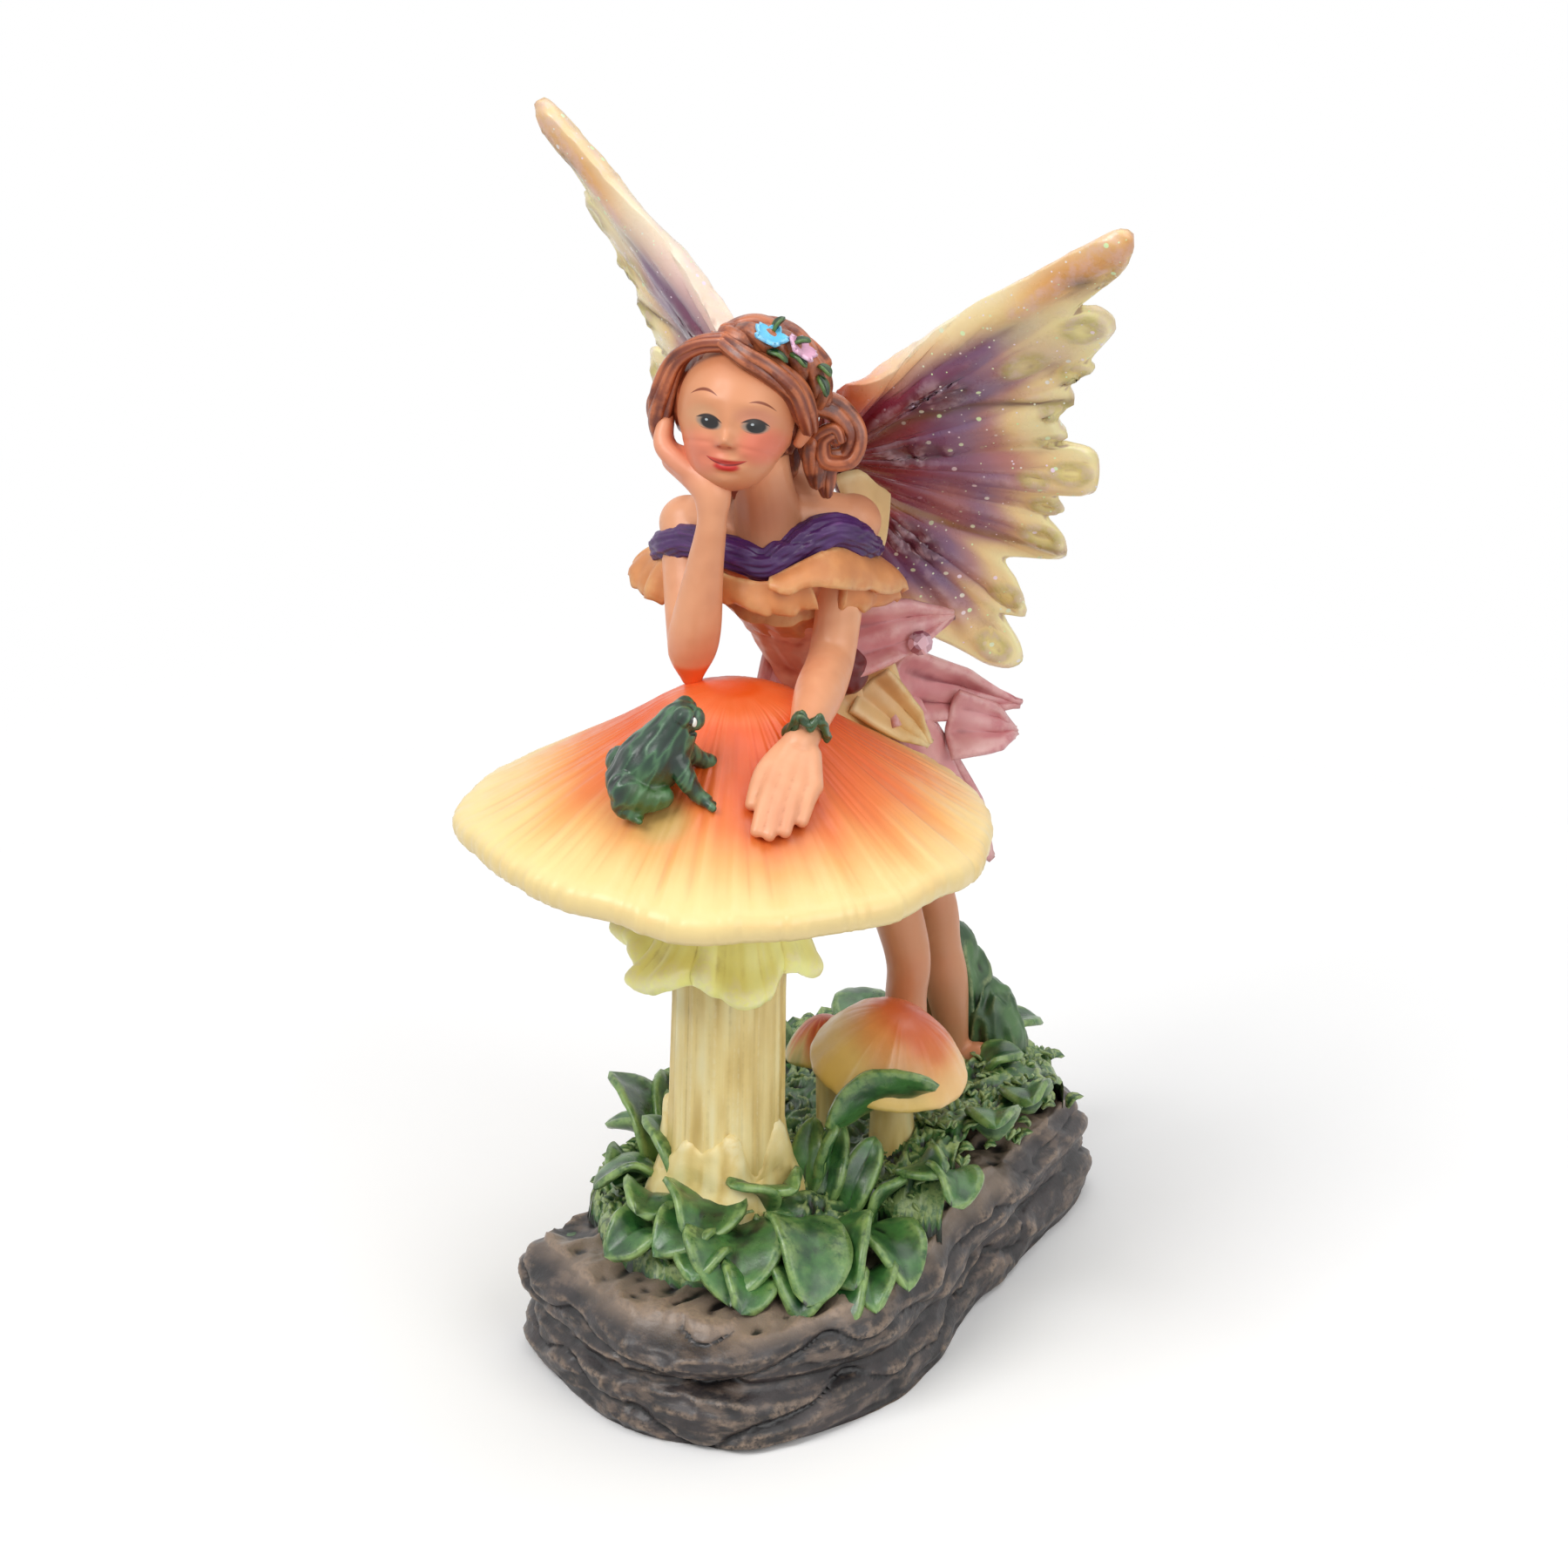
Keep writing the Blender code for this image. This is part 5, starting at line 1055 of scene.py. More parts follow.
def make_skin():
    """Neck, shoulders, back, arms and hands as one skin, and the two legs."""
    back = unit(np.cross(LATERAL, unit(NECK - CHEST)))
    torso = body_rings([(WAIST * 0.5 + CHEST * 0.5, 4.3, 3.6, 0), (CHEST, 5.5, 3.9, 0),
                        (CHEST * 0.5 + NECK * 0.5, 5.3, 3.4, 0), (NECK, 3.1, 2.7, 0)], -back,
                       columns=60)
    chin = HEAD + vec(0.8, 1.0, -4.0)
    pieces = [grid("torso", torso, around=True, ends=True),
              limb_at("neck",
                      [(NECK - vec(0, 0, 2.0), 3.2), (NECK * 0.5 + chin * 0.5, 2.6), (chin, 2.7)]),
              ellipsoid("upper_back", fairy(-2.3, 11.6, 12.5), (4.6, 2.9, 4.2)),
              ellipsoid("shoulder_right", SHOULDER_RIGHT, (2.45, 2.45, 2.35)),
              ellipsoid("shoulder_left", SHOULDER_LEFT, (2.45, 2.45, 2.35)),
              limb_at("shoulders", [(SHOULDER_RIGHT, 2.2), (NECK - FRONT, 2.7), (SHOULDER_LEFT, 2.2)]),
              limb_at("collar_right",
                      [(NECK + FRONT * 2.2 - vec(0, 0, 1.6), 0.75),
                       (SHOULDER_RIGHT * 0.5 + NECK * 0.5 + FRONT * 1.9 + vec(0, 0, 0.3), 0.75),
                       (SHOULDER_RIGHT + FRONT * 0.8 + vec(0, 0, 1.3), 0.8)]),
              limb_at("collar_left",
                      [(NECK + FRONT * 2.2 - vec(0, 0, 1.6), 0.75),
                       (SHOULDER_LEFT * 0.5 + NECK * 0.5 + FRONT * 1.9 + vec(0, 0, 0.5), 0.75),
                       (SHOULDER_LEFT + FRONT * 0.8 + vec(0, 0, 1.4), 0.8)]),
              limb_at("upper_arm_right",
                      [(SHOULDER_RIGHT, 2.4), (SHOULDER_RIGHT * 0.5 + ELBOW * 0.5, 2.25),
                       (ELBOW, 2.0)]),
              limb_at("forearm_right",
                      [(ELBOW - vec(0, 0, 2.2), 0.95), (ELBOW, 2.0),
                       (ELBOW * 0.78 + WRIST_RIGHT * 0.22, 2.15),
                       (ELBOW * 0.4 + WRIST_RIGHT * 0.6, 1.64), (WRIST_RIGHT, 1.25),
                       (PALM_RIGHT, 1.55)]),
              limb_at("hand_right",
                      [(WRIST_RIGHT, 1.2), (PALM_RIGHT, 1.7), (CHEEK + vec(-0.4, 0.2, 0.2), 1.25)])]
    for index, (push, reach) in enumerate(((0.9, 0.2), (0.2, 0.8), (-0.6, 0.5))):
        off = FACE * push
        pieces.append(limb_at(f"finger_right_{index}", [
            (PALM_RIGHT + off * 0.6, 0.9), (CHEEK + vec(-1.0, 0, 1.0) + off, 0.85),
            (CHEEK + vec(-1.7, 1.2, 2.6 + reach) + off, 0.66)]))
    pieces.append(limb_at("arm_left", [
        (SHOULDER_LEFT, 2.35), (SHOULDER_LEFT * 0.45 + ELBOW_LEFT * 0.55, 2.02), (ELBOW_LEFT, 2.0),
        (ELBOW_LEFT * 0.5 + WRIST_LEFT * 0.5, 2.1), (WRIST_LEFT, 1.5), (on_cap(0.375, -0.200, 1.5), 1.45)]))
    knuckles = [(0.352, -0.330), (0.402, -0.345), (0.450, -0.333), (0.494, -0.300)]
    for index, (across, along) in enumerate(knuckles):
        tip_across, tip_along = ((0.405, -0.575), (0.452, -0.562), (0.492, -0.515), (0.520, -0.435))[index]
        heel = on_cap(0.375 + 0.022 * (index - 1), -0.190, 1.4)
        pieces.append(limb_at(f"palm_{index}", [(heel, 1.05), (on_cap(across, along, 1.25), 0.92)]))
        pieces.append(
            limb_at(f"finger_{index}",
                    [(on_cap(across, along, 1.30), 0.80),
                     (on_cap(0.5 * (across + tip_across), 0.5 * (along + tip_along), 1.25), 0.72),
                     (on_cap(tip_across, tip_along, 0.65), 0.56)]))
    pieces.append(limb_at("thumb", [(on_cap(0.345, -0.20, 1.2), 0.95), (on_cap(0.318, -0.36, 1.0), 0.80),
                                    (on_cap(0.336, -0.485, 0.55), 0.62)]))
    skin = fused("skin", pieces, 0.20, 4)
    store(skin.data, "tint", skin_tint(coordinates(skin.data)))
    material = skin_paint("skin_paint")
    dress(skin, material, rounds=6)
    pieces = []
    for hip, knee, ankle, toe in (((0.5, 6.0), (5.7, 5.2), (5.6, 4.2), (6.0, 1.2)),
                                  ((1.0, 9.0), (4.3, 13.4), (6.3, 14.6), (9.4, 15.0))):
        foot = on_ground(*ankle, -1.0)
        top = vec(*hip, HIPS[2] - 6.0)
        bend = vec(*knee, foot[2] + 0.52 * (top[2] - foot[2]))
        pieces.append(limb_at("leg", [
            (top, 2.6), (bend + (top - bend) * 0.35, 2.3), (bend, 2.02), (bend * 0.78 + foot * 0.22, 1.86),
            (bend * 0.55 + foot * 0.45, 2.02), (bend * 0.15 + foot * 0.85, 1.25), (foot, 1.5)], around=30))
        end = on_ground(*toe, 0.5)
        pieces.append(
            limb_at("foot",
                    [(foot + vec(0, 0, 1.2), 1.55), (foot * 0.4 + end * 0.6 + vec(0, 0, 0.7), 1.35),
                     (end, 1.0)]))
    legs = fused("legs", pieces, 0.25, 3)
    store(legs.data, "tint", skin_tint(coordinates(legs.data)))
    dress(legs, material, rounds=6)


def make_head():
    """The head as one dense surface, shaped by brow, nose, cheeks, lips and chin."""
    down = np.linspace(0.03, math.pi - 0.03, 132)[:, None]
    round_ = np.linspace(0, 2 * math.pi, 184, endpoint=False)[None, :]
    ways = np.stack([np.sin(down) * np.sin(round_), np.cos(down) + 0 * round_,
                     -np.sin(down) * np.cos(round_)], axis=-1)

    def reach_to(center, radii):
        start = -np.array(center) / radii
        way = ways / radii
        a = np.sum(way ** 2, axis=-1)
        b = np.sum(start * way, axis=-1)
        return (-b + np.sqrt(b * b - a * (np.sum(start ** 2) - 1))) / a

    skull = reach_to((-0.05, 0.12, 0.0), (0.84, 0.90, 0.94))
    jaw = reach_to((-0.08, -0.44, 0.27), (0.60, 0.55, 0.60))
    far = np.maximum(skull, jaw) + 0.035 * np.exp(-((skull - jaw) / 0.09) ** 2)
    places = ways * far[..., None]
    x, y = places[..., 0] - FACE_MIDDLE, places[..., 1]
    front = smooth(0.1, 0.5, places[..., 2])

    def mound(cx, cy, wx, wy, high):
        return high * np.exp(-((x - cx) / wx) ** 2 - ((y - cy) / wy) ** 2)

    rise = 0.0
    for hand in (-1, 1):
        rise = rise + mound(0.325 * hand, 0.02, 0.20, 0.13, -0.065) + mound(0.32 * hand, 0.01, 0.13,
                0.085, 0.055)
        rise = rise + mound(0.34 * hand, 0.30, 0.26, 0.10, 0.026) + mound(0.40 * hand, -0.32, 0.24,
                0.22, 0.060)
        rise = rise + mound(0.085 * hand, -0.275, 0.050, 0.045, 0.060) + mound(0.27 * hand, -0.49,
                0.07, 0.07, -0.030)
    rise = rise + mound(0, -0.03, 0.085, 0.24, 0.045) + mound(0, -0.215, 0.095, 0.10, 0.150) + mound(0,
            -0.37, 0.13, 0.05, -0.035)
    rise = rise + mound(0.04, -0.485, 0.16, 0.040, 0.050) + mound(0.04, -0.60, 0.13, 0.048, 0.055)
    rise = rise + mound(0.02, -0.545, 0.20, 0.022, -0.028) + mound(0.04, -0.69, 0.14, 0.05, -0.035)
    rise = rise + mound(0.02, -0.85, 0.17, 0.12, 0.050)
    places = places + ways * (rise * front)[..., None] * np.array([0.25, 0.25, 1.0])
    points = HEAD + HEAD_RADIUS * (places[..., :1] * HEAD_SIDE + places[..., 1:2] * HEAD_UP
                                   + places[..., 2:] * FACE)
    ear = limb_at("ear",
                  [(spot(0.80, 0.06, 0.16), 0.35), (spot(0.88, -0.04, 0.16), 0.70),
                   (spot(0.80, -0.26, 0.18), 0.45)])
    head = grid("head", points, around=True, ends=True, at_head=places)
    store(ear.data, "at_head", coordinates(ear.data) * 0 + [0.97, 0.0, 0.1])
    dress(joined("head", [head, ear]), face_paint(), rounds=5)


def face_paint():
    """Peach skin with painted brows, eyes looking aside, red lips and pink cheeks, with painted shade round
    the face's edges and under the nose, and a painted highlight in each eye.
    """
    paint = Paint("face_paint", 0.44, 0.12)
    split = paint.node("ShaderNodeSeparateXYZ")
    paint.put(split.inputs[0], paint.layer("at_head", vector=True))
    x, y, z = split.outputs
    seen = paint.span(z, 0.15, 0.35)

    def oval(center, radii, turn, soft):
        return paint.oval(x, y, center, radii, turn, soft)

    def stroke(center, reach, rise, width, tilt):
        return paint.stroke(x, y, center, reach, rise, width, tilt)

    def lay(color, mask, over, most=1.0):
        return paint.mix(paint.times(paint.times(mask, seen), most), color, over)

    color = paint.mix(paint.patches(4.0, 2.0, 0.35, 0.7, 0.0, 0.15), (0.89, 0.61, 0.44),
                      (0.84, 0.52, 0.36))
    # Painted shade: the face darkens towards the jaw, both sides and the hairline.
    color = paint.mix(paint.span(y, -1.0, -0.65, 0.65, 0.0), color, (0.76, 0.45, 0.31))
    color = paint.mix(paint.span(x, 0.46, 0.76, 0.0, 0.65), color, (0.80, 0.46, 0.30))
    color = paint.mix(paint.span(x, -0.92, -0.70, 0.55, 0.0), color, (0.80, 0.47, 0.32))
    color = paint.mix(paint.span(y, 0.48, 0.80, 0.0, 0.55), color, (0.80, 0.49, 0.32))
    color = lay(color, oval((0.36, -0.27), (0.21, 0.18), 0, 0.95), (0.94, 0.42, 0.36), 0.62)
    color = lay(color, oval((-0.44, -0.46), (0.25, 0.20), 0, 0.95), (0.94, 0.48, 0.40), 0.60)
    color = lay(color, oval((0.27, 0.10), (0.20, 0.10), -6, 0.8), (0.84, 0.54, 0.46), 0.55)
    color = lay(color, oval((-0.46, 0.06), (0.16, 0.10), 8, 0.8), (0.86, 0.66, 0.50), 0.60)
    # Painted shade under the nose.
    color = lay(color, oval((-0.10, -0.33), (0.11, 0.026), 0, 0.7), (0.72, 0.36, 0.26), 0.5)
    for hand in (-1, 1):
        color = lay(color, oval((-0.105 + 0.070 * hand, -0.318), (0.026, 0.017), 0, 0.5),
                    (0.62, 0.24, 0.17), 0.7)
    for center, high, tilt in ((-0.355, -0.030, -6), (0.265, -0.020, -2)):
        color = lay(color, oval((center, high), (0.170, 0.082), tilt, 0.25), (0.62, 0.54, 0.48))
        color = lay(color, oval((center + 0.012, high + 0.008), (0.128, 0.088), tilt, 0.16),
                    (0.05, 0.03, 0.03))
        # A painted highlight in each eye.
        color = lay(color, oval((center - 0.035, high + 0.035), (0.020, 0.015), 0, 0.3),
                    (0.80, 0.84, 0.86), 0.8)
        color = lay(color, stroke((center, high + 0.028), 0.190, 0.060, 0.026, -0.012), (0.10, 0.05, 0.04))
        color = lay(color, stroke((center, high - 0.062), 0.14, -0.024, 0.007, 0.0),
                    (0.55, 0.29, 0.22), 0.6)
    color = lay(color, stroke((-0.465, 0.310), 0.20, 0.085, 0.019, 0.02), (0.52, 0.23, 0.10))
    color = lay(color, stroke((0.335, 0.250), 0.185, 0.058, 0.017, -0.05), (0.54, 0.25, 0.11))
    color = lay(color, oval((-0.060, -0.592), (0.165, 0.060), 0, 0.30), (0.80, 0.14, 0.12))
    color = lay(color, stroke((-0.070, -0.480), 0.275, -0.060, 0.046, -0.006), (0.84, 0.27, 0.22))
    color = lay(color, stroke((-0.070, -0.478), 0.285, -0.086, 0.013, -0.006), (0.42, 0.06, 0.05), 0.8)
    return paint.finish(color, 0.5, 0.008, 0.02)


def rope(name, stations, strands=4, twist=0.5, size=0.62, steps=12):
    """A lock of hair: grooved strands that wind slowly round its path."""
    path = smooth_path(stations, steps)
    places, radii = path[:, :3], path[:, 3]
    ways = unit(np.gradient(places, axis=0))
    side = unit(np.cross(ways[0], [0.31, 0.17, 0.93]))
    sides, overs = [], []
    for way in ways:
        side = unit(side - way * np.dot(side, way))
        sides.append(side)
        overs.append(np.cross(way, side))
    sides, overs = np.array(sides), np.array(overs)
    t = np.linspace(0, 1, len(path))
    pieces = []
    for index in range(strands):
        turn = 2 * math.pi * (index / strands + twist * t)
        off = (1 - size * 0.9) * radii
        center = places + sides * (off * np.cos(turn))[:, None] + overs * (off * np.sin(turn))[:, None]
        radius = radii * size * (1 + 0.06 * np.sin(7 * t + 2 * index))
        rows = [(*p, r) for p, r in zip(center[::3], radius[::3])]
        pieces.append(limb(f"{name}_{index}", rows, 3, 20, lambda a, s: 1 + 0.085 * np.sin(5 * a + 4 * s)))
    return pieces


def make_hair():
    """Hair in grooved locks: parted left of the middle, a twisted braid, a curl and loose strands."""
    r = HEAD_RADIUS

    def lock(name, places, strands=4, twist=0.5, size=0.62):
        return rope(name, [(*spot(a, u, f), w * r) for a, u, f, w in places], strands, twist, size)

    def combed(points):
        local = (points - HEAD) / r
        lines = np.stack([local @ HEAD_SIDE * 5.5 + (local @ HEAD_UP) * 1.2, local @ FACE * 1.4,
                          local @ HEAD_UP * 1.0], axis=-1)
        return 0.24 * ridged(lines, 0.8, 110, 2)

    shell_turn = [math.degrees(a)
                  for a in Matrix(np.column_stack([HEAD_SIDE, -FACE, HEAD_UP]).tolist()).to_euler()]
    pieces = [ellipsoid("hair_back", spot(-0.02, 0.22, -0.32), np.array([1.00, 0.97, 0.93]) * r,
                        shell_turn, 84, 126, combed),
              ellipsoid("hair_nape", spot(0.05, -0.62, -0.62), np.array([0.70, 0.68, 0.60]) * r,
                        shell_turn, 50, 76, combed)]
    pieces += lock("lock_right",
                   [(-0.30, 1.02, 0.52, 0.13), (-0.64, 0.92, 0.44, 0.12), (-0.93, 0.66, 0.26, 0.14),
                    (-1.06, 0.22, 0.12, 0.18), (-1.10, -0.18, 0.02, 0.17),
                    (-1.02, -0.50, -0.02, 0.11)], 4, 0.35)
    pieces += lock("lock_right_low",
                   [(-1.04, 0.32, -0.02, 0.15), (-1.14, 0.02, -0.02, 0.15),
                    (-1.08, -0.32, -0.04, 0.13)], 3, 0.4)
    pieces += lock("lock_left",
                   [(-0.30, 1.01, 0.52, 0.13), (0.02, 0.88, 0.70, 0.15), (0.36, 0.74, 0.68, 0.17),
                    (0.68, 0.50, 0.52, 0.18), (0.84, 0.20, 0.36, 0.17), (0.92, -0.04, 0.16, 0.13)], 4,
                   0.35)
    pieces += lock("braid",
                   [(-0.34, 1.05, 0.36, 0.15), (0.02, 1.10, 0.46, 0.20), (0.32, 1.06, 0.44, 0.21),
                    (0.64, 0.94, 0.34, 0.21), (0.94, 0.62, 0.12, 0.19), (1.02, 0.30, -0.10, 0.15)], 3,
                   2.2, 0.66)
    pieces += lock("crown", [(-0.30, 1.04, 0.20, 0.20), (0.10, 1.17, 0.10, 0.22), (0.56, 1.05, 0.02, 0.22),
                             (0.92, 0.74, -0.14, 0.20)], 4, 0.8)
    pieces += lock("curl",
                   [(0.92, 0.25, -0.20, 0.20), (1.22, 0.20, -0.25, 0.19), (1.50, -0.08, -0.28, 0.17),
                    (1.46, -0.42, -0.28, 0.17), (1.16, -0.48, -0.24, 0.16), (1.08, -0.22, -0.18, 0.14),
                    (1.24, -0.08, -0.14, 0.12), (1.34, -0.20, -0.12, 0.09)], 3, 0.5)
    pieces += lock("strand",
                   [(0.93, -0.25, -0.25, 0.20), (1.00, -0.60, -0.36, 0.17),
                    (1.06, -0.88, -0.46, 0.09)], 4, 0.3)
    pieces += lock("strand_back",
                   [(1.10, -0.40, -0.45, 0.18), (1.15, -0.78, -0.54, 0.15),
                    (1.20, -1.02, -0.60, 0.08)], 3, 0.3)
    paint = Paint("hair_paint", 0.38, 0.35)
    base = paint.mix(paint.patches(5.0, 1.0, 0.3, 0.7), (0.33, 0.11, 0.06), (0.56, 0.25, 0.14))
    color = paint.brushed(base, (0.15, 0.035, 0.025), (0.92, 0.54, 0.34), (-0.13, -0.01),
                          (0.015, 0.12), 0.85, 0.60, 3.0)
    dress(joined("hair", pieces), paint.finish(color, 0.3, 0.03, 0.06), rounds=7)


def make_flowers():
    """A blue and a pink flower with dark green leaves in the hair."""
    for name, place, color, size in (("blue", (0.30, 1.13, 0.62), (0.42, 0.80, 0.97), 1.05),
                                     ("pink", (0.70, 1.00, 0.50), (0.92, 0.68, 0.80), 1.0)):
        middle = spot(*place)
        out = unit(middle - spot(0, 0.1, 0.1))
        right = unit(np.cross([0, 0, 1.0], out))
        up = np.cross(out, right)
        pieces = []
        for index in range(5):
            turn = 2 * math.pi * index / 5 + 0.4
            way = right * math.cos(turn) + up * math.sin(turn)
            over = np.cross(out, way)
            t, s = sheet_shares(12, 11)
            half = 0.62 * size * np.sqrt(np.clip(np.sin(np.pi * np.clip(0.12 + 0.86 * t, 0, 1)), 0, 1))
            lift = 0.25 + 0.30 * t ** 2 + 0.18 * (s ** 2) * t
            points = (middle + way * (1.35 * size * t)[..., None] + over * (half * s)[..., None] + out
                      * (lift + 0 * s)[..., None])
            pieces.append(plate(f"petal_{index}", points, 0.17))
        paint = Paint(f"{name}_petal_paint", 0.35, 0.3)
        tone = np.array(srgb(*color))
        color = paint.brushed(tone, tone * 0.45, (0.93, 0.97, 1.0),
                              (-0.12, -0.01), (0.05, 0.2), 0.6, 0.35)
        dress(joined(f"{name}_flower", pieces), paint.finish(color, 0.3, 0.02, 0.03), rounds=4)
    pieces = []
    for index, (a, u, f, da, du, df) in enumerate(
        ((0.34, 1.20, 0.50, 0.10, 0.20, 0.02), (0.58, 1.10, 0.52, 0.22, 0.06, 0.02),
         (0.60, 0.98, 0.60, 0.20, -0.12, 0.06), (0.96, 0.84, 0.36, 0.16, -0.10, 0.02),
         (0.98, 0.70, 0.38, 0.12, -0.22, 0.0), (0.30, 0.98, 0.72, 0.24, -0.08, 0.04))):
        foot = spot(a, u, f)
        points, rim = leaf_rows(foot, foot + (spot(a + da, u + du, f + df) - foot) * 1.25, 0.95, 0.15,
                                0.4, 10, 9, seed=index)
        pieces.append(plate(f"hair_leaf_{index}", points, 0.15, rim=rim))
    dress(joined("hair_leaves", pieces),
          leaf_paint("hair_leaf_paint", (0.05, 0.16, 0.08), (0.14, 0.30, 0.12), (0.40, 0.55, 0.25)),
          rounds=4)


def flounce(name, top, bottom, waves, depth, seed, bulge=0.5, rows=12, columns=78):
    """A gathered strip of cloth between two edges, with broad folds that deepen to an uneven lower edge."""
    upper, lower = resampled(top, columns), resampled(bottom, columns)
    t = np.linspace(0, 1, rows)[:, None]
    s = np.linspace(0, 1, columns)[None, :]
    points = upper[None] * (1 - t[..., None]) + lower[None] * t[..., None]
    normal = sheet_normal(points)
    if np.mean(normal @ FRONT) < 0:
        normal = -normal
    turns = 2 * np.pi * waves
    folds = np.sin(turns * s + 1.3 * np.sin(5 * s + seed)) + 0.3 * np.sin(turns * 2.1 * s + seed)
    off = bulge * np.sin(np.pi * t * 0.8) + depth * folds * t ** 0.8
    points = points + normal * off[..., None]
    edge = noise(np.stack([s * 14 + 0 * t, 0 * s * t, 0 * s * t + seed], axis=-1), 1.0, 131)
    points = points + (lower - upper)[None] * (0.12 * edge * smooth(0.5, 1.0, t))[..., None]
    return plate(name, points, 0.42 - 0.16 * smooth(0.8, 1.0, t) + 0 * s)


def cloth_paint(name, base, deep, light, roughness=0.45, coat=0.1, streak=0.35, most=0.45):
    paint = Paint(name, roughness, coat)
    mixed = paint.mix(paint.patches(3.0, 2.0, 0.3, 0.7, 0.0, streak), base, deep)
    color = paint.brushed(mixed, deep, light, (-0.16, -0.015), (0.02, 0.16), 0.8, most, 2.2)
    return paint.finish(color, 0.3, 0.03, 0.06)


def petal(name, foot, tip, width, arch, cup, twist=0.0, seed=0, ragged=0.10, rows=26, columns=21):
    """A skirt petal that turns about its length, with long folds and a curled, uneven edge."""
    along = tip - foot
    length = np.linalg.norm(along)
    side = unit(np.cross(along, STONE_FACING))
    lift = unit(np.cross(side, along))
    t, s = sheet_shares(rows, columns)
    half = 0.5 * width * (1.0 - 0.55 * t) * np.where(t < 0.62, 1.0,
                                                     (np.clip((1.0 - t) / 0.38, 0, 1)) ** 0.7)
    half = np.maximum(half, 0.25)
    turn = np.radians(twist) * t
    across = side * np.cos(turn)[..., None] + np.cross(unit(along), side) * np.sin(turn)[..., None]
    folds = 0.05 * width * np.sin(2.3 * np.pi * s + seed) * (0.4 + 0.6 * t)
    points = foot + along * t[..., None] + across * (half * s)[..., None]
    fine = 0.22 * noise(points, 3.4, 140 + seed)
    lip = ragged * half * noise(np.stack([s * 2 + 0 * t, t * 5 + 0 * s, 0 * t * s + seed], axis=-1),
                                1.0, 141)
    high = arch * length * np.sin(np.pi * t) + cup * half * (s ** 2 - 0.3)
    high = high + folds + fine + lip * np.abs(s) ** 3
    points = points + lift * high[..., None]
    for _ in range(2):
        over = (points - STONE_PLACE) @ STONE_FACING
        aside = np.linalg.norm(points - STONE_PLACE - over[..., None] * STONE_FACING, axis=-1)
        sink = smooth(2.4, 1.3, aside) * np.maximum(0.0, over + 0.9)
        points = points - STONE_FACING * sink[..., None]
    rim = rim_share(t, s)
    return plate(name, points, 0.46 - 0.22 * rim, rim=rim)


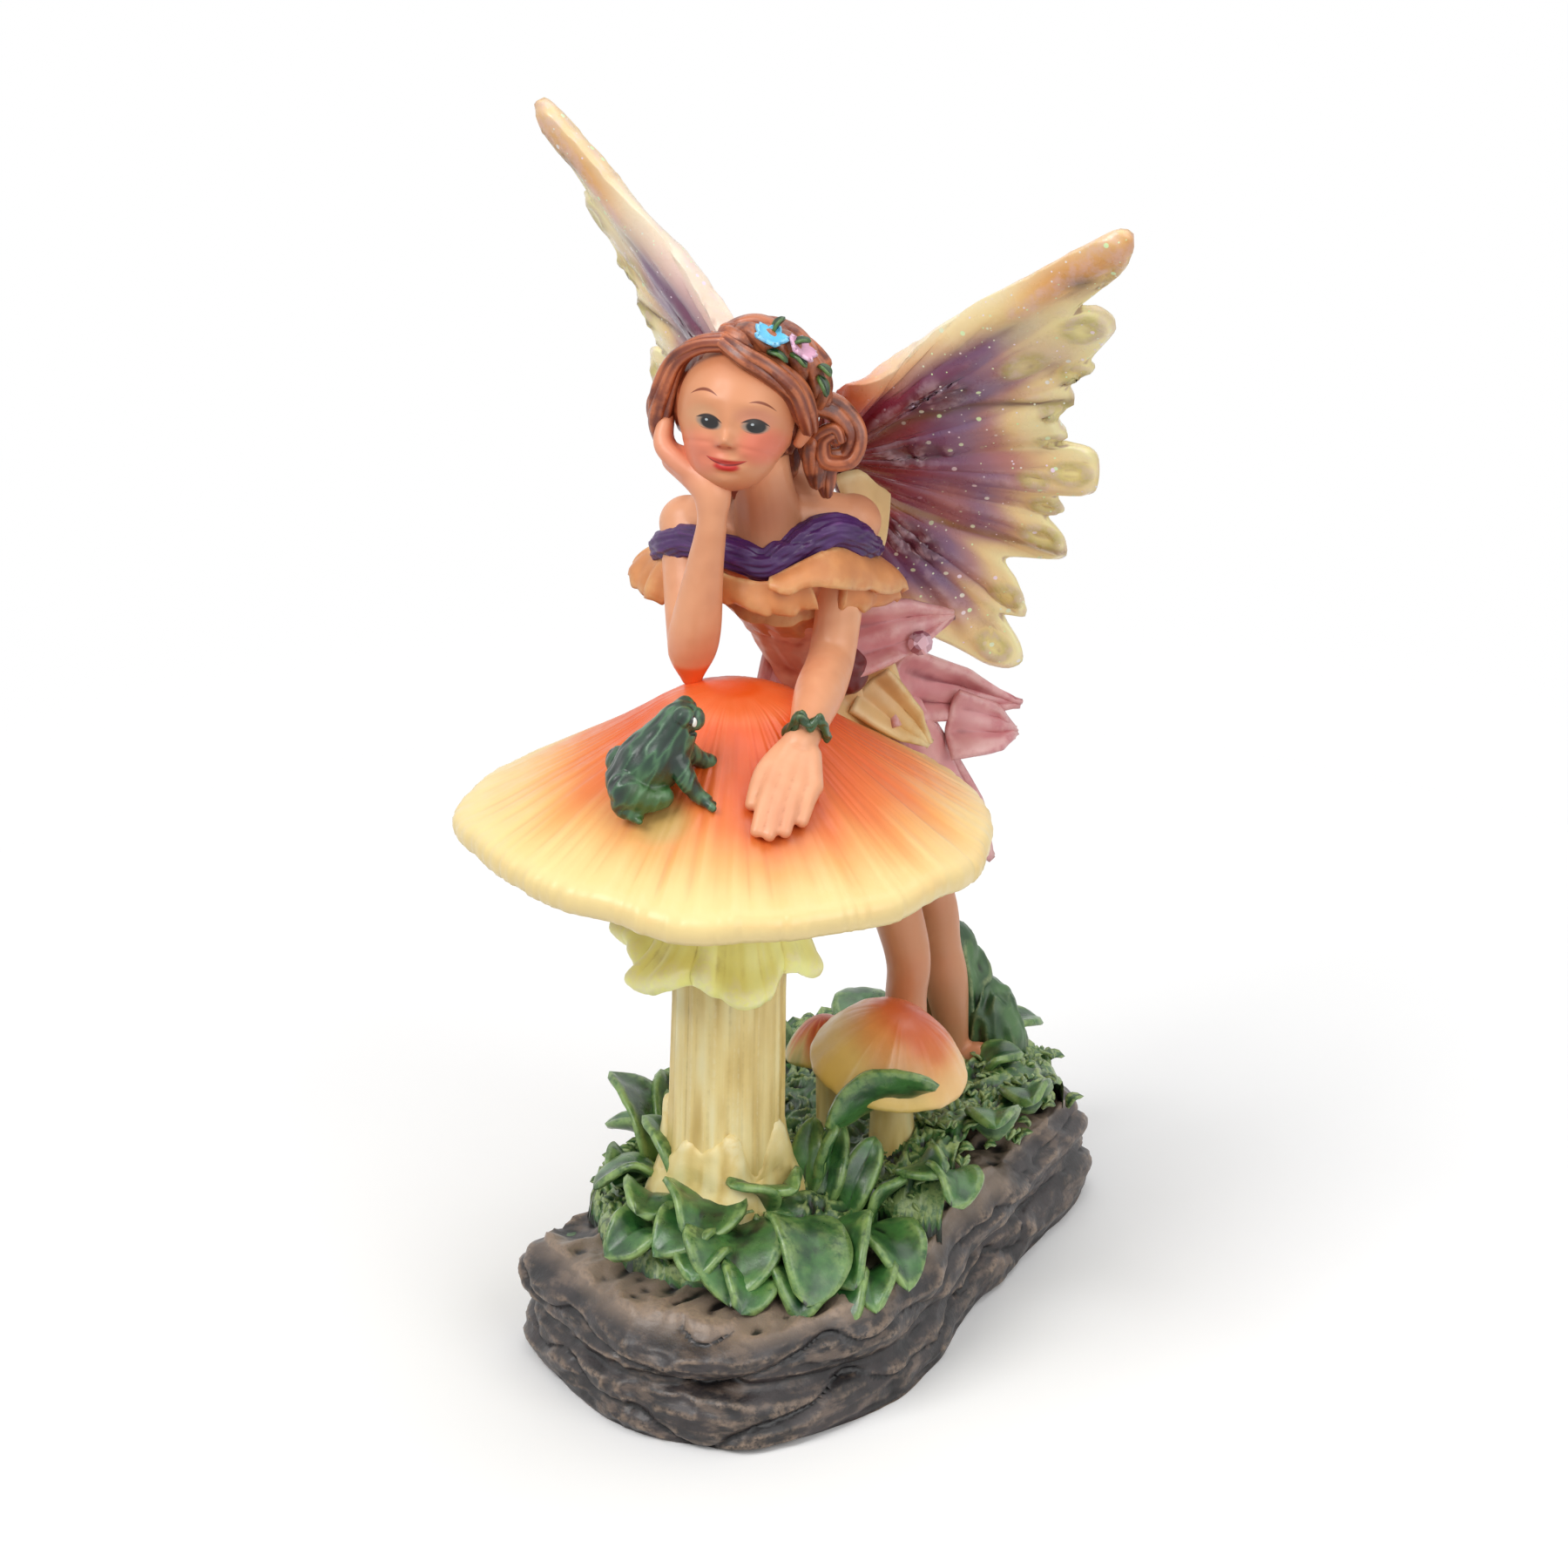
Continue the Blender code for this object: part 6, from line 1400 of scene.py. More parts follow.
def make_dress():
    """The purple band, the flounces below it, the corset, the skirt and its petals."""
    band = resampled([(-11.6, -7.8, 69.1, 1.1), (-10.8, -8.5, 69.6, 1.4), (-9.0, -9.9, 70.6, 1.5),
                      (-6.8, -10.7, 71.5, 1.3), (-3.1, -11.1, 71.3, 1.3), (-0.4, -10.5, 70.6, 1.35),
                      (1.1, -9.5, 71.3, 1.45), (2.5, -8.1, 72.4, 1.55), (4.1, -6.6, 73.1, 1.5),
                      (5.1, -5.2, 72.4, 1.45), (5.5, -3.2, 71.0, 1.3), (5.0, -0.9, 69.8, 1.0)], 90)
    tallness = np.clip(band[:, 3], 0.4, 2.0)

    def pleats(a, s):
        return 1 + 0.05 * np.sin(7 * a + 4 * np.sin(9 * s)) + 0.035 * np.sin(17 * a + 21 * s)

    rows = tube([(x, y, z, r) for (x, y, z, _), r in zip(band[::2], tallness[::2])], 4, 72, pleats)
    ridges = noise(np.stack([rows[..., 0] * 0.25, rows[..., 1] * 0.25, rows[..., 2] * 1.7], axis=-1),
                   0.75, 150, 2)
    rows = swollen(rows, 0.26 * ridges)
    strap = grid("band", rows, around=True, ends=True)
    dress(strap,
          cloth_paint("purple_paint", (0.29, 0.12, 0.38), (0.15, 0.03, 0.20), (0.54, 0.30, 0.60), 0.42,
                      0.05), rounds=6)
    pieces = [
        flounce("cuff_left_arm",
                [(1.0, -11.2, 69.6), (2.4, -10.4, 70.6), (3.6, -9.1, 71.4), (4.5, -7.4, 71.8),
                 (5.2, -5.4, 71.1), (5.5, -2.8, 69.6), (5.3, -0.6, 68.6)],
                [(1.2, -12.1, 68.8), (2.7, -11.7, 68.7), (4.2, -10.9, 69.3), (5.6, -9.5, 69.2),
                 (6.6, -7.6, 68.7), (7.2, -4.0, 67.2), (6.9, 1.2, 65.2)], 1.6, 0.40, 1, 0.55),
        flounce("cuff_left_back", [(5.5, -2.8, 69.6), (5.3, -0.6, 68.6), (3.6, 0.6, 68.6)],
                [(7.0, 0.8, 65.3), (5.4, 1.8, 65.5), (3.2, 1.4, 65.6)], 1.0, 0.30, 2, 0.3),
        flounce("cuff_left_low", [(4.8, -6.0, 69.6), (5.8, -3.6, 68.4), (6.1, -0.6, 66.9)],
                [(4.9, -6.6, 66.2), (5.6, -3.5, 65.4), (6.5, 0.6, 65.0)], 1.0, 0.30, 4, 0.4),
        flounce("cuff_right_arm",
                [(-12.9, -6.6, 68.4), (-12.0, -7.8, 68.2), (-10.3, -9.4, 68.9), (-8.2, -10.4, 69.6),
                 (-6.5, -10.9, 69.8)],
                [(-14.3, -7.0, 66.2), (-13.2, -8.8, 65.6), (-11.0, -10.4, 65.4), (-9.3, -11.0, 65.7),
                 (-6.8, -11.3, 66.6)], 2.4, 0.42, 3, 0.5),
        flounce("bodice_hem",
                [(-6.2, -10.6, 70.2), (-3.4, -12.0, 69.9), (-1.8, -12.2, 69.6), (0.1, -11.8, 69.6),
                 (1.6, -11.2, 70.0), (3.0, -9.8, 70.8)],
                [(-5.6, -11.6, 67.4), (-3.4, -12.5, 67.3), (-1.5, -12.6, 67.5), (0.7, -12.1, 67.0),
                 (2.2, -11.0, 66.7), (3.8, -9.0, 67.2)], 2.2, 0.26, 5, 0.45)]
    front = unit(np.cross(LATERAL, unit(CHEST - WAIST)))
    hem_low = body_rings([(WAIST * 0.30 + CHEST * 0.70 + FRONT * 0.8, 5.0, 4.1, 0.03),
                          (WAIST * 0.5 + CHEST * 0.5, 4.6, 3.9, 0.04),
                          (WAIST * 0.62 + CHEST * 0.38, 4.0, 3.4, 0.0)], front, 9, 120)
    pieces.append(grid("bodice", hem_low, around=True, ends=True))
    dress(joined("flounces", pieces),
          cloth_paint("peach_cloth_paint", (0.90, 0.61, 0.38), (0.68, 0.36, 0.20), (0.97, 0.81, 0.57),
                      streak=0.3), rounds=6)
    corset_rows = body_rings([(HIPS, 4.9, 4.2, 0.02), (HIPS * 0.4 + WAIST * 0.6, 4.4, 3.7, 0.03),
                              (WAIST, 3.95, 3.45, 0.03), (WAIST * 0.5 + CHEST * 0.5, 4.45, 3.7, 0.03),
                              (WAIST * 0.3 + CHEST * 0.7, 4.8, 3.9, 0.02)], front, 8, 130)
    corset_rows = swollen(corset_rows, 0.20 * ridged(corset_rows * [1.0, 1.0, 0.45], 1.5, 160, 2))
    dress(grid("corset", corset_rows, around=True, ends=True),
          cloth_paint("corset_paint", (1.0, 0.78, 0.66), (0.82, 0.46, 0.37), (1.0, 0.86, 0.78)), rounds=8)
    hem = HIPS + vec(2.0, 3.0, -13.0)
    lean = unit(FRONT - vec(0, 0, 0.3))
    skirt_rows = body_rings(
        [(WAIST * 0.75 + HIPS * 0.25, 3.7, 3.2, 0.03), (WAIST * 0.35 + HIPS * 0.65, 4.8, 4.1, 0.06),
         (HIPS, 5.6, 5.0, 0.09), (HIPS * 0.5 + hem * 0.5, 6.6, 6.1, 0.12), (hem, 7.6, 7.2, 0.15)],
        lean, 7, 220)
    skirt_rows = swollen(skirt_rows, 0.16 * ridged(skirt_rows * [1.0, 1.0, 0.3], 1.3, 161, 2))
    pieces = [grid("skirt", skirt_rows, around=True, ends=True, rim=np.zeros(skirt_rows.shape[:2]))]
    for name, foot, tip, width, arch, cup, twist, seed in (
            ("flare_upper", (1.9, 15.6, -1.4), (8.9, 22.8, 0.0), 6.8, 0.05, 0.25, 0.0, 1),
            ("flare_lower", (4.6, 19.6, -6.2), (11.2, 31.6, -11.2), 7.2, -0.16, 0.45, 30.0, 2),
            ("flare_curl", (7.0, 26.2, -12.0), (10.8, 31.8, -14.0), 6.0, 0.16, 0.50, -25.0, 3),
            ("petal_back", (3.0, 24.0, -14.0), (8.8, 31.2, -26.4), 8.0, 0.06, 0.30, 0.0, 4),
            ("petal_front", (-2.5, 17.0, -3.0), (-5.2, 14.6, -11.5), 6.5, 0.08, 0.30, 10.0, 6)):
        pieces.append(petal(name, fairy(*foot), fairy(*tip), width, arch, cup, twist, seed))
    for index in range(7):
        angle = 2 * math.pi * index / 7
        outward = vec(math.cos(angle), math.sin(angle), 0.0)
        foot = HIPS * 0.65 + hem * 0.35 + outward * SKIRT_RADIUS * 0.72
        tip = hem + outward * SKIRT_RADIUS * 1.02 + vec(0, 0, -2.2 - 1.0 * (index % 2))
        pieces.append(hem_petal(f"hem_petal_{index}", foot, tip, outward, index))
    paint = Paint("skirt_paint", 0.42, 0.25)
    base = paint.mix(paint.patches(4.0, 2.0, 0.3, 0.7), (0.88, 0.63, 0.64), (0.80, 0.48, 0.50))
    base = paint.mix(paint.patches(6.0, 2.0, 0.5, 0.7, 0.0, 0.5), base, (0.92, 0.74, 0.68))
    color = paint.brushed(base, (0.52, 0.20, 0.24), (0.97, 0.82, 0.80), (-0.16, -0.015), (0.02, 0.16),
                          0.85, 0.45, 2.2)
    dress(joined("skirt", pieces), paint.finish(color, 0.3, 0.03, 0.06), rounds=8)
    cream = [petal("petal_cream", fairy(2.0, 17.2, -5.0), fairy(4.6, 20.0, -11.0), 8.0, 0.10, 0.35,
                   0.0, 7), petal("petal_cream_low", fairy(3.2, 17.6, -6.0), fairy(7.4, 21.4, -11.8),
                                  5.0, 0.12, 0.45, 0.0, 8),
             flounce("shoulder_flap", [(0.9, 0.0, 75.2), (2.4, 1.5, 75.6), (3.9, 4.2, 74.6)],
                     [(3.2, -0.6, 69.4), (3.6, 0.6, 68.6), (3.9, 2.2, 68.0)], 1.2, 0.25, 6, 0.5)]
    dress(joined("cream_petals", cream),
          cloth_paint("cream_cloth_paint", (0.92, 0.78, 0.54), (0.74, 0.54, 0.34), (0.98, 0.92, 0.72),
                      streak=0.2), rounds=6)
    # Painted shade: a dark maroon lump fills the gap under the arm.
    dark = [ellipsoid("under_arm", fairy(2.2, 15.2, -3.6), (2.2, 1.9, 2.2),
                      relief=lambda p: 0.15 * ridged(p, 1.2, 170))]
    dress(joined("under_arm_painted_shade", dark),
          cloth_paint("under_arm_shade_paint", (0.42, 0.13, 0.15), (0.22, 0.05, 0.07), (0.62, 0.28, 0.27)))


def hem_petal(name, foot, tip, outward, seed):
    """One rounded petal of the skirt's hem."""
    along = tip - foot
    side = unit(np.cross(along, outward))
    t, s = sheet_shares(22, 19)
    half = 4.2 * np.sqrt(np.maximum(0.004, 1.0 - t ** 3))
    high = 1.2 * (np.sin(3 * t) - s ** 2) + 0.22 * np.sin(3 * np.pi * s + seed) * t
    points = foot + along * t[..., None] + side * (half * s)[..., None] + outward * high[..., None]
    rim = rim_share(t, s)
    return plate(name, points, 0.46 - 0.22 * rim, rim=rim)


def make_bracelet():
    """A vine round the wrist, with leaf-like bumps."""
    path = [(6.6, -19.2, 59.6, 0.30), (6.9, -19.9, 60.4, 0.42), (7.7, -20.3, 61.4, 0.34),
            (8.4, -20.3, 62.2, 0.50), (9.1, -20.2, 61.6, 0.34), (9.6, -19.4, 61.8, 0.46),
            (9.8, -18.7, 60.8, 0.36), (9.6, -17.9, 59.6, 0.40)]
    pieces = [limb("vine", path, 8, 16, lambda a, s: 1 + 0.18 * np.sin(3 * a + 40 * s))]
    pieces += [
        limb("vine_twist",
             [(x + 0.15, y - 0.05, z - 0.45 * (-1) ** k, 0.24) for k, (x, y, z, r) in enumerate(path)],
             8, 12)]
    dress(joined("bracelet", pieces),
          leaf_paint("bracelet_paint", (0.08, 0.20, 0.11), (0.20, 0.36, 0.17), (0.60, 0.66, 0.40)),
          rounds=4)


def make_frog():
    """A dark green frog that sits on the cap, with lengthwise brush strokes."""
    seat = on_cap(-0.020, -0.560)
    ahead, side = unit([0.883, 0.469, 0.0]), unit([0.469, -0.883, 0.0])

    def place(forward, sideways, up):
        return seat + ahead * forward * 0.92 + side * sideways + vec(0, 0, up * 0.80)

    def part(name, stations):
        return limb(name, [(*place(*station[:3]), station[3]) for station in stations], 10, 24)

    pieces = [
        part("frog_body",
             [(-3.0, 0.0, 1.4, 1.8), (-1.4, 0.0, 2.9, 2.6), (0.3, 0.0, 5.0, 2.5), (1.5, 0.0, 7.3, 1.9),
              (2.3, 0.0, 8.5, 1.6), (3.3, 0.0, 8.5, 1.0)]),
        part("frog_thigh_near",
             [(-2.6, 1.4, 2.0, 1.5), (-2.9, 2.3, 1.9, 1.35), (-1.2, 2.2, 1.0, 1.3),
              (0.6, 1.9, 0.9, 0.9)]),
        part("frog_shin_near",
             [(0.4, 2.0, 1.1, 0.85), (-1.4, 2.6, 0.3, 0.7), (-2.8, 2.7, -0.3, 0.55)]),
        part("frog_foot_near",
             [(-2.8, 2.6, 1.6, 1.1), (-3.3, 2.4, 0.1, 0.75), (-2.6, 2.6, -0.7, 0.5)]),
        part("frog_thigh_far",
             [(-2.6, -1.4, 2.4, 1.4), (-3.6, -2.2, 2.8, 1.05), (-3.6, -2.0, 0.9, 0.8)]),
        part("frog_arm_near",
             [(1.6, 1.2, 4.6, 1.1), (2.6, 1.7, 2.6, 0.8), (3.4, 1.6, 1.0, 0.65),
              (4.3, 1.6, 0.3, 0.5)]),
        part("frog_arm_far",
             [(2.2, -1.2, 4.6, 1.0), (3.4, -1.8, 3.2, 0.72), (4.6, -2.4, 2.4, 0.6),
              (5.6, -2.8, 1.9, 0.5)])]
    for hand in (-1.0, 1.0):
        pieces.append(ellipsoid("frog_brow", place(2.35, 1.15 * hand, 9.35), (0.85, 0.85, 0.8)))
    for push in (-0.9, 0.0, 0.9):
        pieces.append(part("toe_near", [(3.9, 1.6, 0.4, 0.42), (5.0, 1.6 + push, -0.2, 0.26)]))
        pieces.append(part("toe_far", [(5.4, -2.7, 2.0, 0.42), (6.6, -2.9 + push, 1.5, 0.26)]))
        pieces.append(part("toe_back", [(-2.8, 2.6, -0.5, 0.42), (-1.5, 3.0 + push * 0.7, -1.0, 0.28)]))
    frog = fused("frog", pieces, 0.145, 3)
    p = coordinates(frog.data)
    local = p - seat
    spine = np.clip((local @ ahead + 3.0) / 5.5, 0, 1)
    along = np.stack(
        [local @ side, local @ ahead - 0.55 * local[:, 2], (local @ ahead * 0.5 + local[:, 2]) * 0.16],
        axis=-1)
    strokes = ridged(along, 0.85, 180, 2)
    moved = (p + read_points(frog.data, "normal") * (0.09 * strokes)[:, None]) * MM
    frog.data.vertices.foreach_set("co", moved.astype(np.float32).ravel())
    frog.data.update()
    belly = smooth(4.0, 1.0, local[:, 2]) * smooth(-3.4, -1.0, local @ ahead) * smooth(2.4, 0.2,
            local @ ahead)
    tint = blend(ramp_colors(strokes + 0.2 * spine, [(-0.8, (0.02, 0.07, 0.05)), (0.0, (0.05, 0.14, 0.10)),
                                                     (0.7, (0.10, 0.24, 0.16)), (1.1, (0.30, 0.46, 0.32))]),
                 (0.30, 0.48, 0.20), 0.55 * belly)
    store(frog.data, "tint", tint)
    paint = Paint("frog_paint", 0.36, 0.35)
    color = paint.brushed(paint.color_layer("tint"), (0.015, 0.05, 0.035), (0.42, 0.62, 0.42),
                          (-0.12, -0.01), (0.05, 0.2), 0.85, 0.4)
    dress(frog, paint.finish(color, 0.3, 0.03, 0.05), rounds=6)
    eye = Paint("frog_eye_paint", 0.15, 0.8)
    black = [ellipsoid("eye", place(3.0, 1.45 * hand, 9.15), (0.42, 0.42, 0.46), rows=24, columns=30)
             for hand in (-1, 1)]
    dress(joined("frog_eyes", black), eye.finish((0.03, 0.03, 0.03), 0.5, 0.001, 0.02))
    # A painted reflection: a white glint on the eye.
    glint = Paint("frog_glint_paint", 0.3, 0.5)
    white = [ellipsoid("glint", place(3.27, 1.62, 9.0), (0.24, 0.24, 0.42), rows=20, columns=24)]
    dress(joined("frog_glint", white), glint.finish((0.97, 0.97, 0.94), 0.5, 0.001, 0.02))


def make_stump():
    """The mossy stump behind the legs: green bark with tan wood showing through."""
    foot = on_ground(5.4, 17.6)

    def bark(points):
        stretched = points * [1.0, 1.0, 0.28]
        return 0.42 * ridged(stretched, 1.5, 190, 2) + 0.30 * noise(points, 2.4, 191, 2)

    pieces = []
    for name, off, radii, lean in (("stump", (-1.5, 0.0, 6.3), (3.8, 3.0, 8.5), -12.0),
                                   ("stump_side", (2.0, 1.2, 2.6), (3.0, 3.1, 5.6), -8.0)):
        pieces.append(ellipsoid(name, foot + vec(*off), radii, (0.0, lean, 25.0), 66, 92, bark))
    stump = joined("stump", pieces)
    p = coordinates(stump.data)
    streaks = noise(p * [1.2, 1.2, 0.16], 0.9, 192, 2)
    facing = smooth(0.0, 2.0, (p - foot) @ unit([-0.6, -0.8, 0.0]))
    wood = smooth(-0.38, 0.02, streaks) * facing * smooth(12.5, 9.0, p[:, 2] - foot[2])
    tint = blend(blend((0.16, 0.29, 0.16), (0.31, 0.46, 0.27), smooth(-0.3, 0.5, noise(p, 1.6, 193, 2))),
                 (0.62, 0.48, 0.32), 0.85 * wood)
    store(stump.data, "tint", tint)
    paint = Paint("stump_paint", 0.48, 0.2)
    color = paint.brushed(paint.color_layer("tint"), (0.05, 0.07, 0.045), (0.62, 0.68, 0.48), (-0.2, -0.02),
                          (0.05, 0.22), 0.9, 0.6)
    dress(stump, paint.finish(color, 0.3, 0.05, 0.08), rounds=8)


# Wings

def wing_root(hand):
    """Where a wing meets the hair and the back."""
    return fairy(-1.9 + hand * WING_SPACING / 2, 15.6, 15.1)


# The wing's rim: angle over the horizontal in degrees, and reach as a share of the longest reach
WING_RIM = [
    (84, 0.11), (60, 0.28), (51.4, 0.49), (46.5, 0.67), (43.8, 0.88), (42.5, 0.99), (40.2, 1.0),
    (37.6, 0.90), (36.4, 0.775), (34.2, 0.80), (30.4, 0.785), (26.7, 0.68), (24.6, 0.67), (22.6, 0.60),
    (18.2, 0.585), (15.0, 0.535), (9.1, 0.527), (6.6, 0.505), (3.9, 0.565), (-1.7, 0.576), (-8.0, 0.557),
    (-10.5, 0.486), (-17.1, 0.492), (-20.5, 0.465), (-26.2, 0.516), (-33.7, 0.525), (-42.0, 0.435),
    (-46.7, 0.50), (-53.1, 0.573), (-57.0, 0.545), (-59.8, 0.64), (-62.5, 0.677), (-66.8, 0.652),
    (-70.2, 0.58), (-76.3, 0.49), (-82.0, 0.40),
]

# How far each direction of the wing sweeps back, as a share of its reach
WING_SWEEP = [(-90, 0.50), (-63, 0.58), (-54, 0.68), (-32, 0.71), (-4, 0.50), (20, 0.29), (33, 0.10),
              (42, 0.01), (90, -0.04)]

# Each wing's own turn at its seat, in degrees
WING_SEAT_TURN = {1: (0.0, 0.0, 0.0), -1: (-2.0, 4.0, -7.0)}

# Veins: direction and strength
WING_VEINS = [(45.0, 0.6), (38.5, 0.8), (31.0, 0.5), (25.0, 0.5), (12.5, 0.6), (3.0, 0.6), (-6.0, 0.6),
              (-14.0, 0.7), (-23.0, 0.6), (-32.0, 0.5), (-50.0, 0.6), (-57.0, 0.7), (-64.0, 0.6),
              (-72.0, 0.5)]

# Raised ovals near the rim: direction, reach, length and width in mm
WING_SPOTS = [(39.6, 0.90, 1.5, 0.8), (33.2, 0.735, 1.3, 1.0), (32.0, 0.56, 1.7, 0.8),
              (25.2, 0.625, 1.0, 0.7), (17.0, 0.545, 1.1, 0.7), (8.5, 0.49, 0.9, 0.6),
              (-2.0, 0.515, 1.3, 0.9), (-4.5, 0.44, 1.0, 0.6), (-15.0, 0.455, 1.0, 0.8),
              (-27.0, 0.465, 1.3, 0.9), (-51.0, 0.50, 1.1, 0.8), (-63.5, 0.60, 1.3, 0.8)]

# Engraved patches: direction, reach, length and width in mm
WING_PATCHES = [(35.0, 0.34, 3.2, 1.5), (9.0, 0.20, 3.0, 1.3), (-57.0, 0.27, 2.8, 1.6)]


def make_wings():
    """Two translucent wings: thick cream leading edges, crimson roots, mauve fields, yellow lobes."""
    rim = resampled([(0.02 * a, b, 0.0, a) for a, b in WING_RIM], 240)
    angles, reaches = rim[:, 3], rim[:, 1]
    shares = np.concatenate([np.linspace(0.05, 0.90, 38), np.linspace(0.917, 1.0, 10)])
    keys = np.array([angle for angle, _ in WING_SWEEP])
    sweeps = np.array([sweep for _, sweep in WING_SWEEP])
    lead_reach = np.array([reach for _, reach in WING_RIM[:6]])
    lead_angle = np.array([angle for angle, _ in WING_RIM[:6]])
    angle = np.broadcast_to(angles[None, :], (len(shares), len(angles)))
    share = np.broadcast_to(shares[:, None], angle.shape)
    reach = share * reaches[None, :]
    far = reach * WING_REACH
    arc = np.pi / 180 * far
    gap = np.maximum(0.0, (np.interp(reach, lead_reach, lead_angle) - angle)) * arc
    a = np.radians(angle)
    flat = np.stack([far * np.cos(a), far * np.sin(a), 0 * far], axis=-1)
    veins = 0
    for direction, strength in WING_VEINS:
        off = (angle - direction) * arc + 0.7 * noise(flat * [1, 1, 0], 7.0, 200 + int(direction) % 9)
        veins = veins + 0.24 * strength * bell(off, 0, 0.55) * smooth(0.05, 0.2, reach)
    brown_vein = bell((angle - np.interp(reach, [0.08, 0.32, 0.52, 0.60], [38, 29, 20, 18])) * arc, 0, 0.55)
    brown_vein = brown_vein * smooth(0.10, 0.20, reach)
    yellow_way = np.interp(reach, [0.08, 0.16, 0.37, 0.50], [-52, -46, -34, -30])
    yellow_vein = bell((angle - yellow_way) * arc, 0, 0.42)
    yellow_vein = yellow_vein * smooth(0.08, 0.18, reach)
    grain = noise(np.stack([angle * 0.40, reach * 3.0, 0 * reach], axis=-1), 1.0, 210, 2)
    spots, spot_fill = 0, 0
    for direction, out, long, wide in WING_SPOTS:
        near = np.hypot((reach - out) * WING_REACH / long, (angle - direction) * arc / wide)
        spots = spots + bell(near, 1.0, 0.28)
        spot_fill = spot_fill + smooth(1.15, 0.85, near)
    patches = 0
    for direction, out, long, wide in WING_PATCHES:
        near = np.hypot((reach - out) * WING_REACH / long, (angle - direction) * arc / wide)
        patches = patches + smooth(1.2, 0.7, near)
    band = smooth(3.4, 1.2, gap)
    relief = veins * (1 - 0.6 * band) + 0.10 * grain + 0.22 * spots + 0.55 * band * smooth(0.1, 0.4, reach)
    relief = relief + 0.20 * noise(flat, 3.0, 211, 2) - 0.24 * brown_vein + 0.12 * yellow_vein
    relief = relief + 0.20 * patches * ridged(flat, 1.1, 214, 1)
    thin = (0.5 + 0.45 * band) * (1 - 0.55 * smooth(0.965, 1.0, share))
    blotch = noise(flat, 5.0, 212, 2)
    field = ramp_colors(share * 0.92 + 0.12 * blotch + 0.04 * grain,
                        [(0.05, (0.38, 0.05, 0.08)), (0.16, (0.47, 0.08, 0.13)),
                         (0.28, (0.52, 0.18, 0.27)), (0.42, (0.45, 0.26, 0.42)),
                         (0.55, (0.52, 0.38, 0.52)), (0.67, (0.75, 0.55, 0.53)),
                         (0.78, (0.96, 0.84, 0.60)), (0.92, (1.0, 0.95, 0.72))])
    tipward = smooth(0.54, 0.70, reach + 0.06 * noise(flat, 4.0, 213))
    field = blend(field, (1.0, 0.95, 0.70), 0.85 * tipward * smooth(12, 30, angle))
    rosy = smooth(-0.1, 0.6, noise(flat, 6.5, 215)) * smooth(0.30, 0.55, share)
    rosy = rosy * smooth(0.9, 0.7, share) * smooth(25, 0, angle)
    field = blend(field, (0.76, 0.46, 0.40), 0.65 * rosy)
    red_low = bell(angle, -48, 12) * bell(reach, 0.14, 0.10)
    field = blend(field, (0.66, 0.22, 0.20), 0.6 * red_low)
    field = blend(field, (0.30, 0.08, 0.16), 0.65 * np.clip(patches, 0, 1))
    field = blend(field, (0.58, 0.42, 0.20), 0.75 * np.clip(yellow_vein, 0, 1))
    field = blend(field, (0.40, 0.24, 0.17), 0.75 * np.clip(brown_vein, 0, 1) * smooth(0.72, 0.60, reach))
    field = blend(field, (0.92, 0.88, 0.52), 0.5 * np.clip(spot_fill, 0, 1))
    field = blend(field, (0.68, 0.62, 0.26), 0.65 * np.clip(spots, 0, 1))
    mark = bell((reach - 0.84) * WING_REACH, 0, 1.1) * bell(gap, 2.1, 0.7)
    edge = smooth(0.985, 1.0, share) * (1 - band)
    amber = bell(gap, 1.5, 1.6) * smooth(0.62, 0.80, reach)
    leads = {1: [(0.05, (0.50, 0.10, 0.12)), (0.14, (0.74, 0.24, 0.16)), (0.21, (0.90, 0.46, 0.26)),
                 (0.31, (0.97, 0.74, 0.54)), (0.5, (0.98, 0.88, 0.66)), (0.72, (0.98, 0.86, 0.54)),
                 (0.84, (0.95, 0.72, 0.32)), (1.0, (0.94, 0.76, 0.40))],
             -1: [(0.05, (0.60, 0.20, 0.30)), (0.16, (0.80, 0.46, 0.50)), (0.28, (0.94, 0.78, 0.72)),
                  (0.45, (0.93, 0.80, 0.78)), (0.62, (0.94, 0.84, 0.74)), (0.80, (0.95, 0.84, 0.56)),
                  (1.0, (0.93, 0.80, 0.48))],}
    for name, hand in (("wing_right", -1), ("wing_left", 1)):
        lead = ramp_colors(reach, leads[hand])
        lead = blend(lead, (1.0, 0.96, 0.84), 0.55 * bell(gap, 0.2, 0.9) * smooth(0.2, 0.4, reach))
        lead = blend(lead, (0.90, 0.64, 0.60), 0.5 * smooth(0.0, 0.6, noise(flat, 3.2, 216))
                     * bell(gap, 2.6, 1.1))
        tint = blend(field, lead, band)
        tint = blend(tint, (0.88, 0.56, 0.18), 0.65 * amber)
        tint = blend(tint, (0.22, 0.20, 0.12), 0.8 * mark)
        tint = blend(tint, (0.82, 0.70, 0.36), 0.4 * edge)
        seat = turned(WING_SEAT_TURN[hand])
        swept = np.interp(angle, keys, sweeps) * far + 0.5 * np.sin(a * 16) * share
        points = np.stack([hand * far * np.cos(a), swept, far * np.sin(a)], axis=-1)
        normal = sheet_normal(points)
        if np.mean(normal[..., 1]) > 0:
            normal = -normal
        points = points + normal * (relief - 0.15)[..., None] * 0.9
        points = points @ seat.T + wing_root(hand)
        inner_end = wing_root(hand) - vec(0.12 * hand, 0.92, 0.38) * 4.3
        peg = limb_at("peg", [(wing_root(hand) + seat @ vec(0.3 * hand, 0.4, 0.6), 1.0), (inner_end, 0.85)])
        store(peg.data, "tint", np.tile(np.array(srgb(0.42, 0.09, 0.12)), (len(peg.data.vertices), 1)))
        store(peg.data, "glitter", np.zeros(len(peg.data.vertices)))
        sheet = plate(name, points, thin, tint=tint, glitter=smooth(0.12, 0.4, reach))
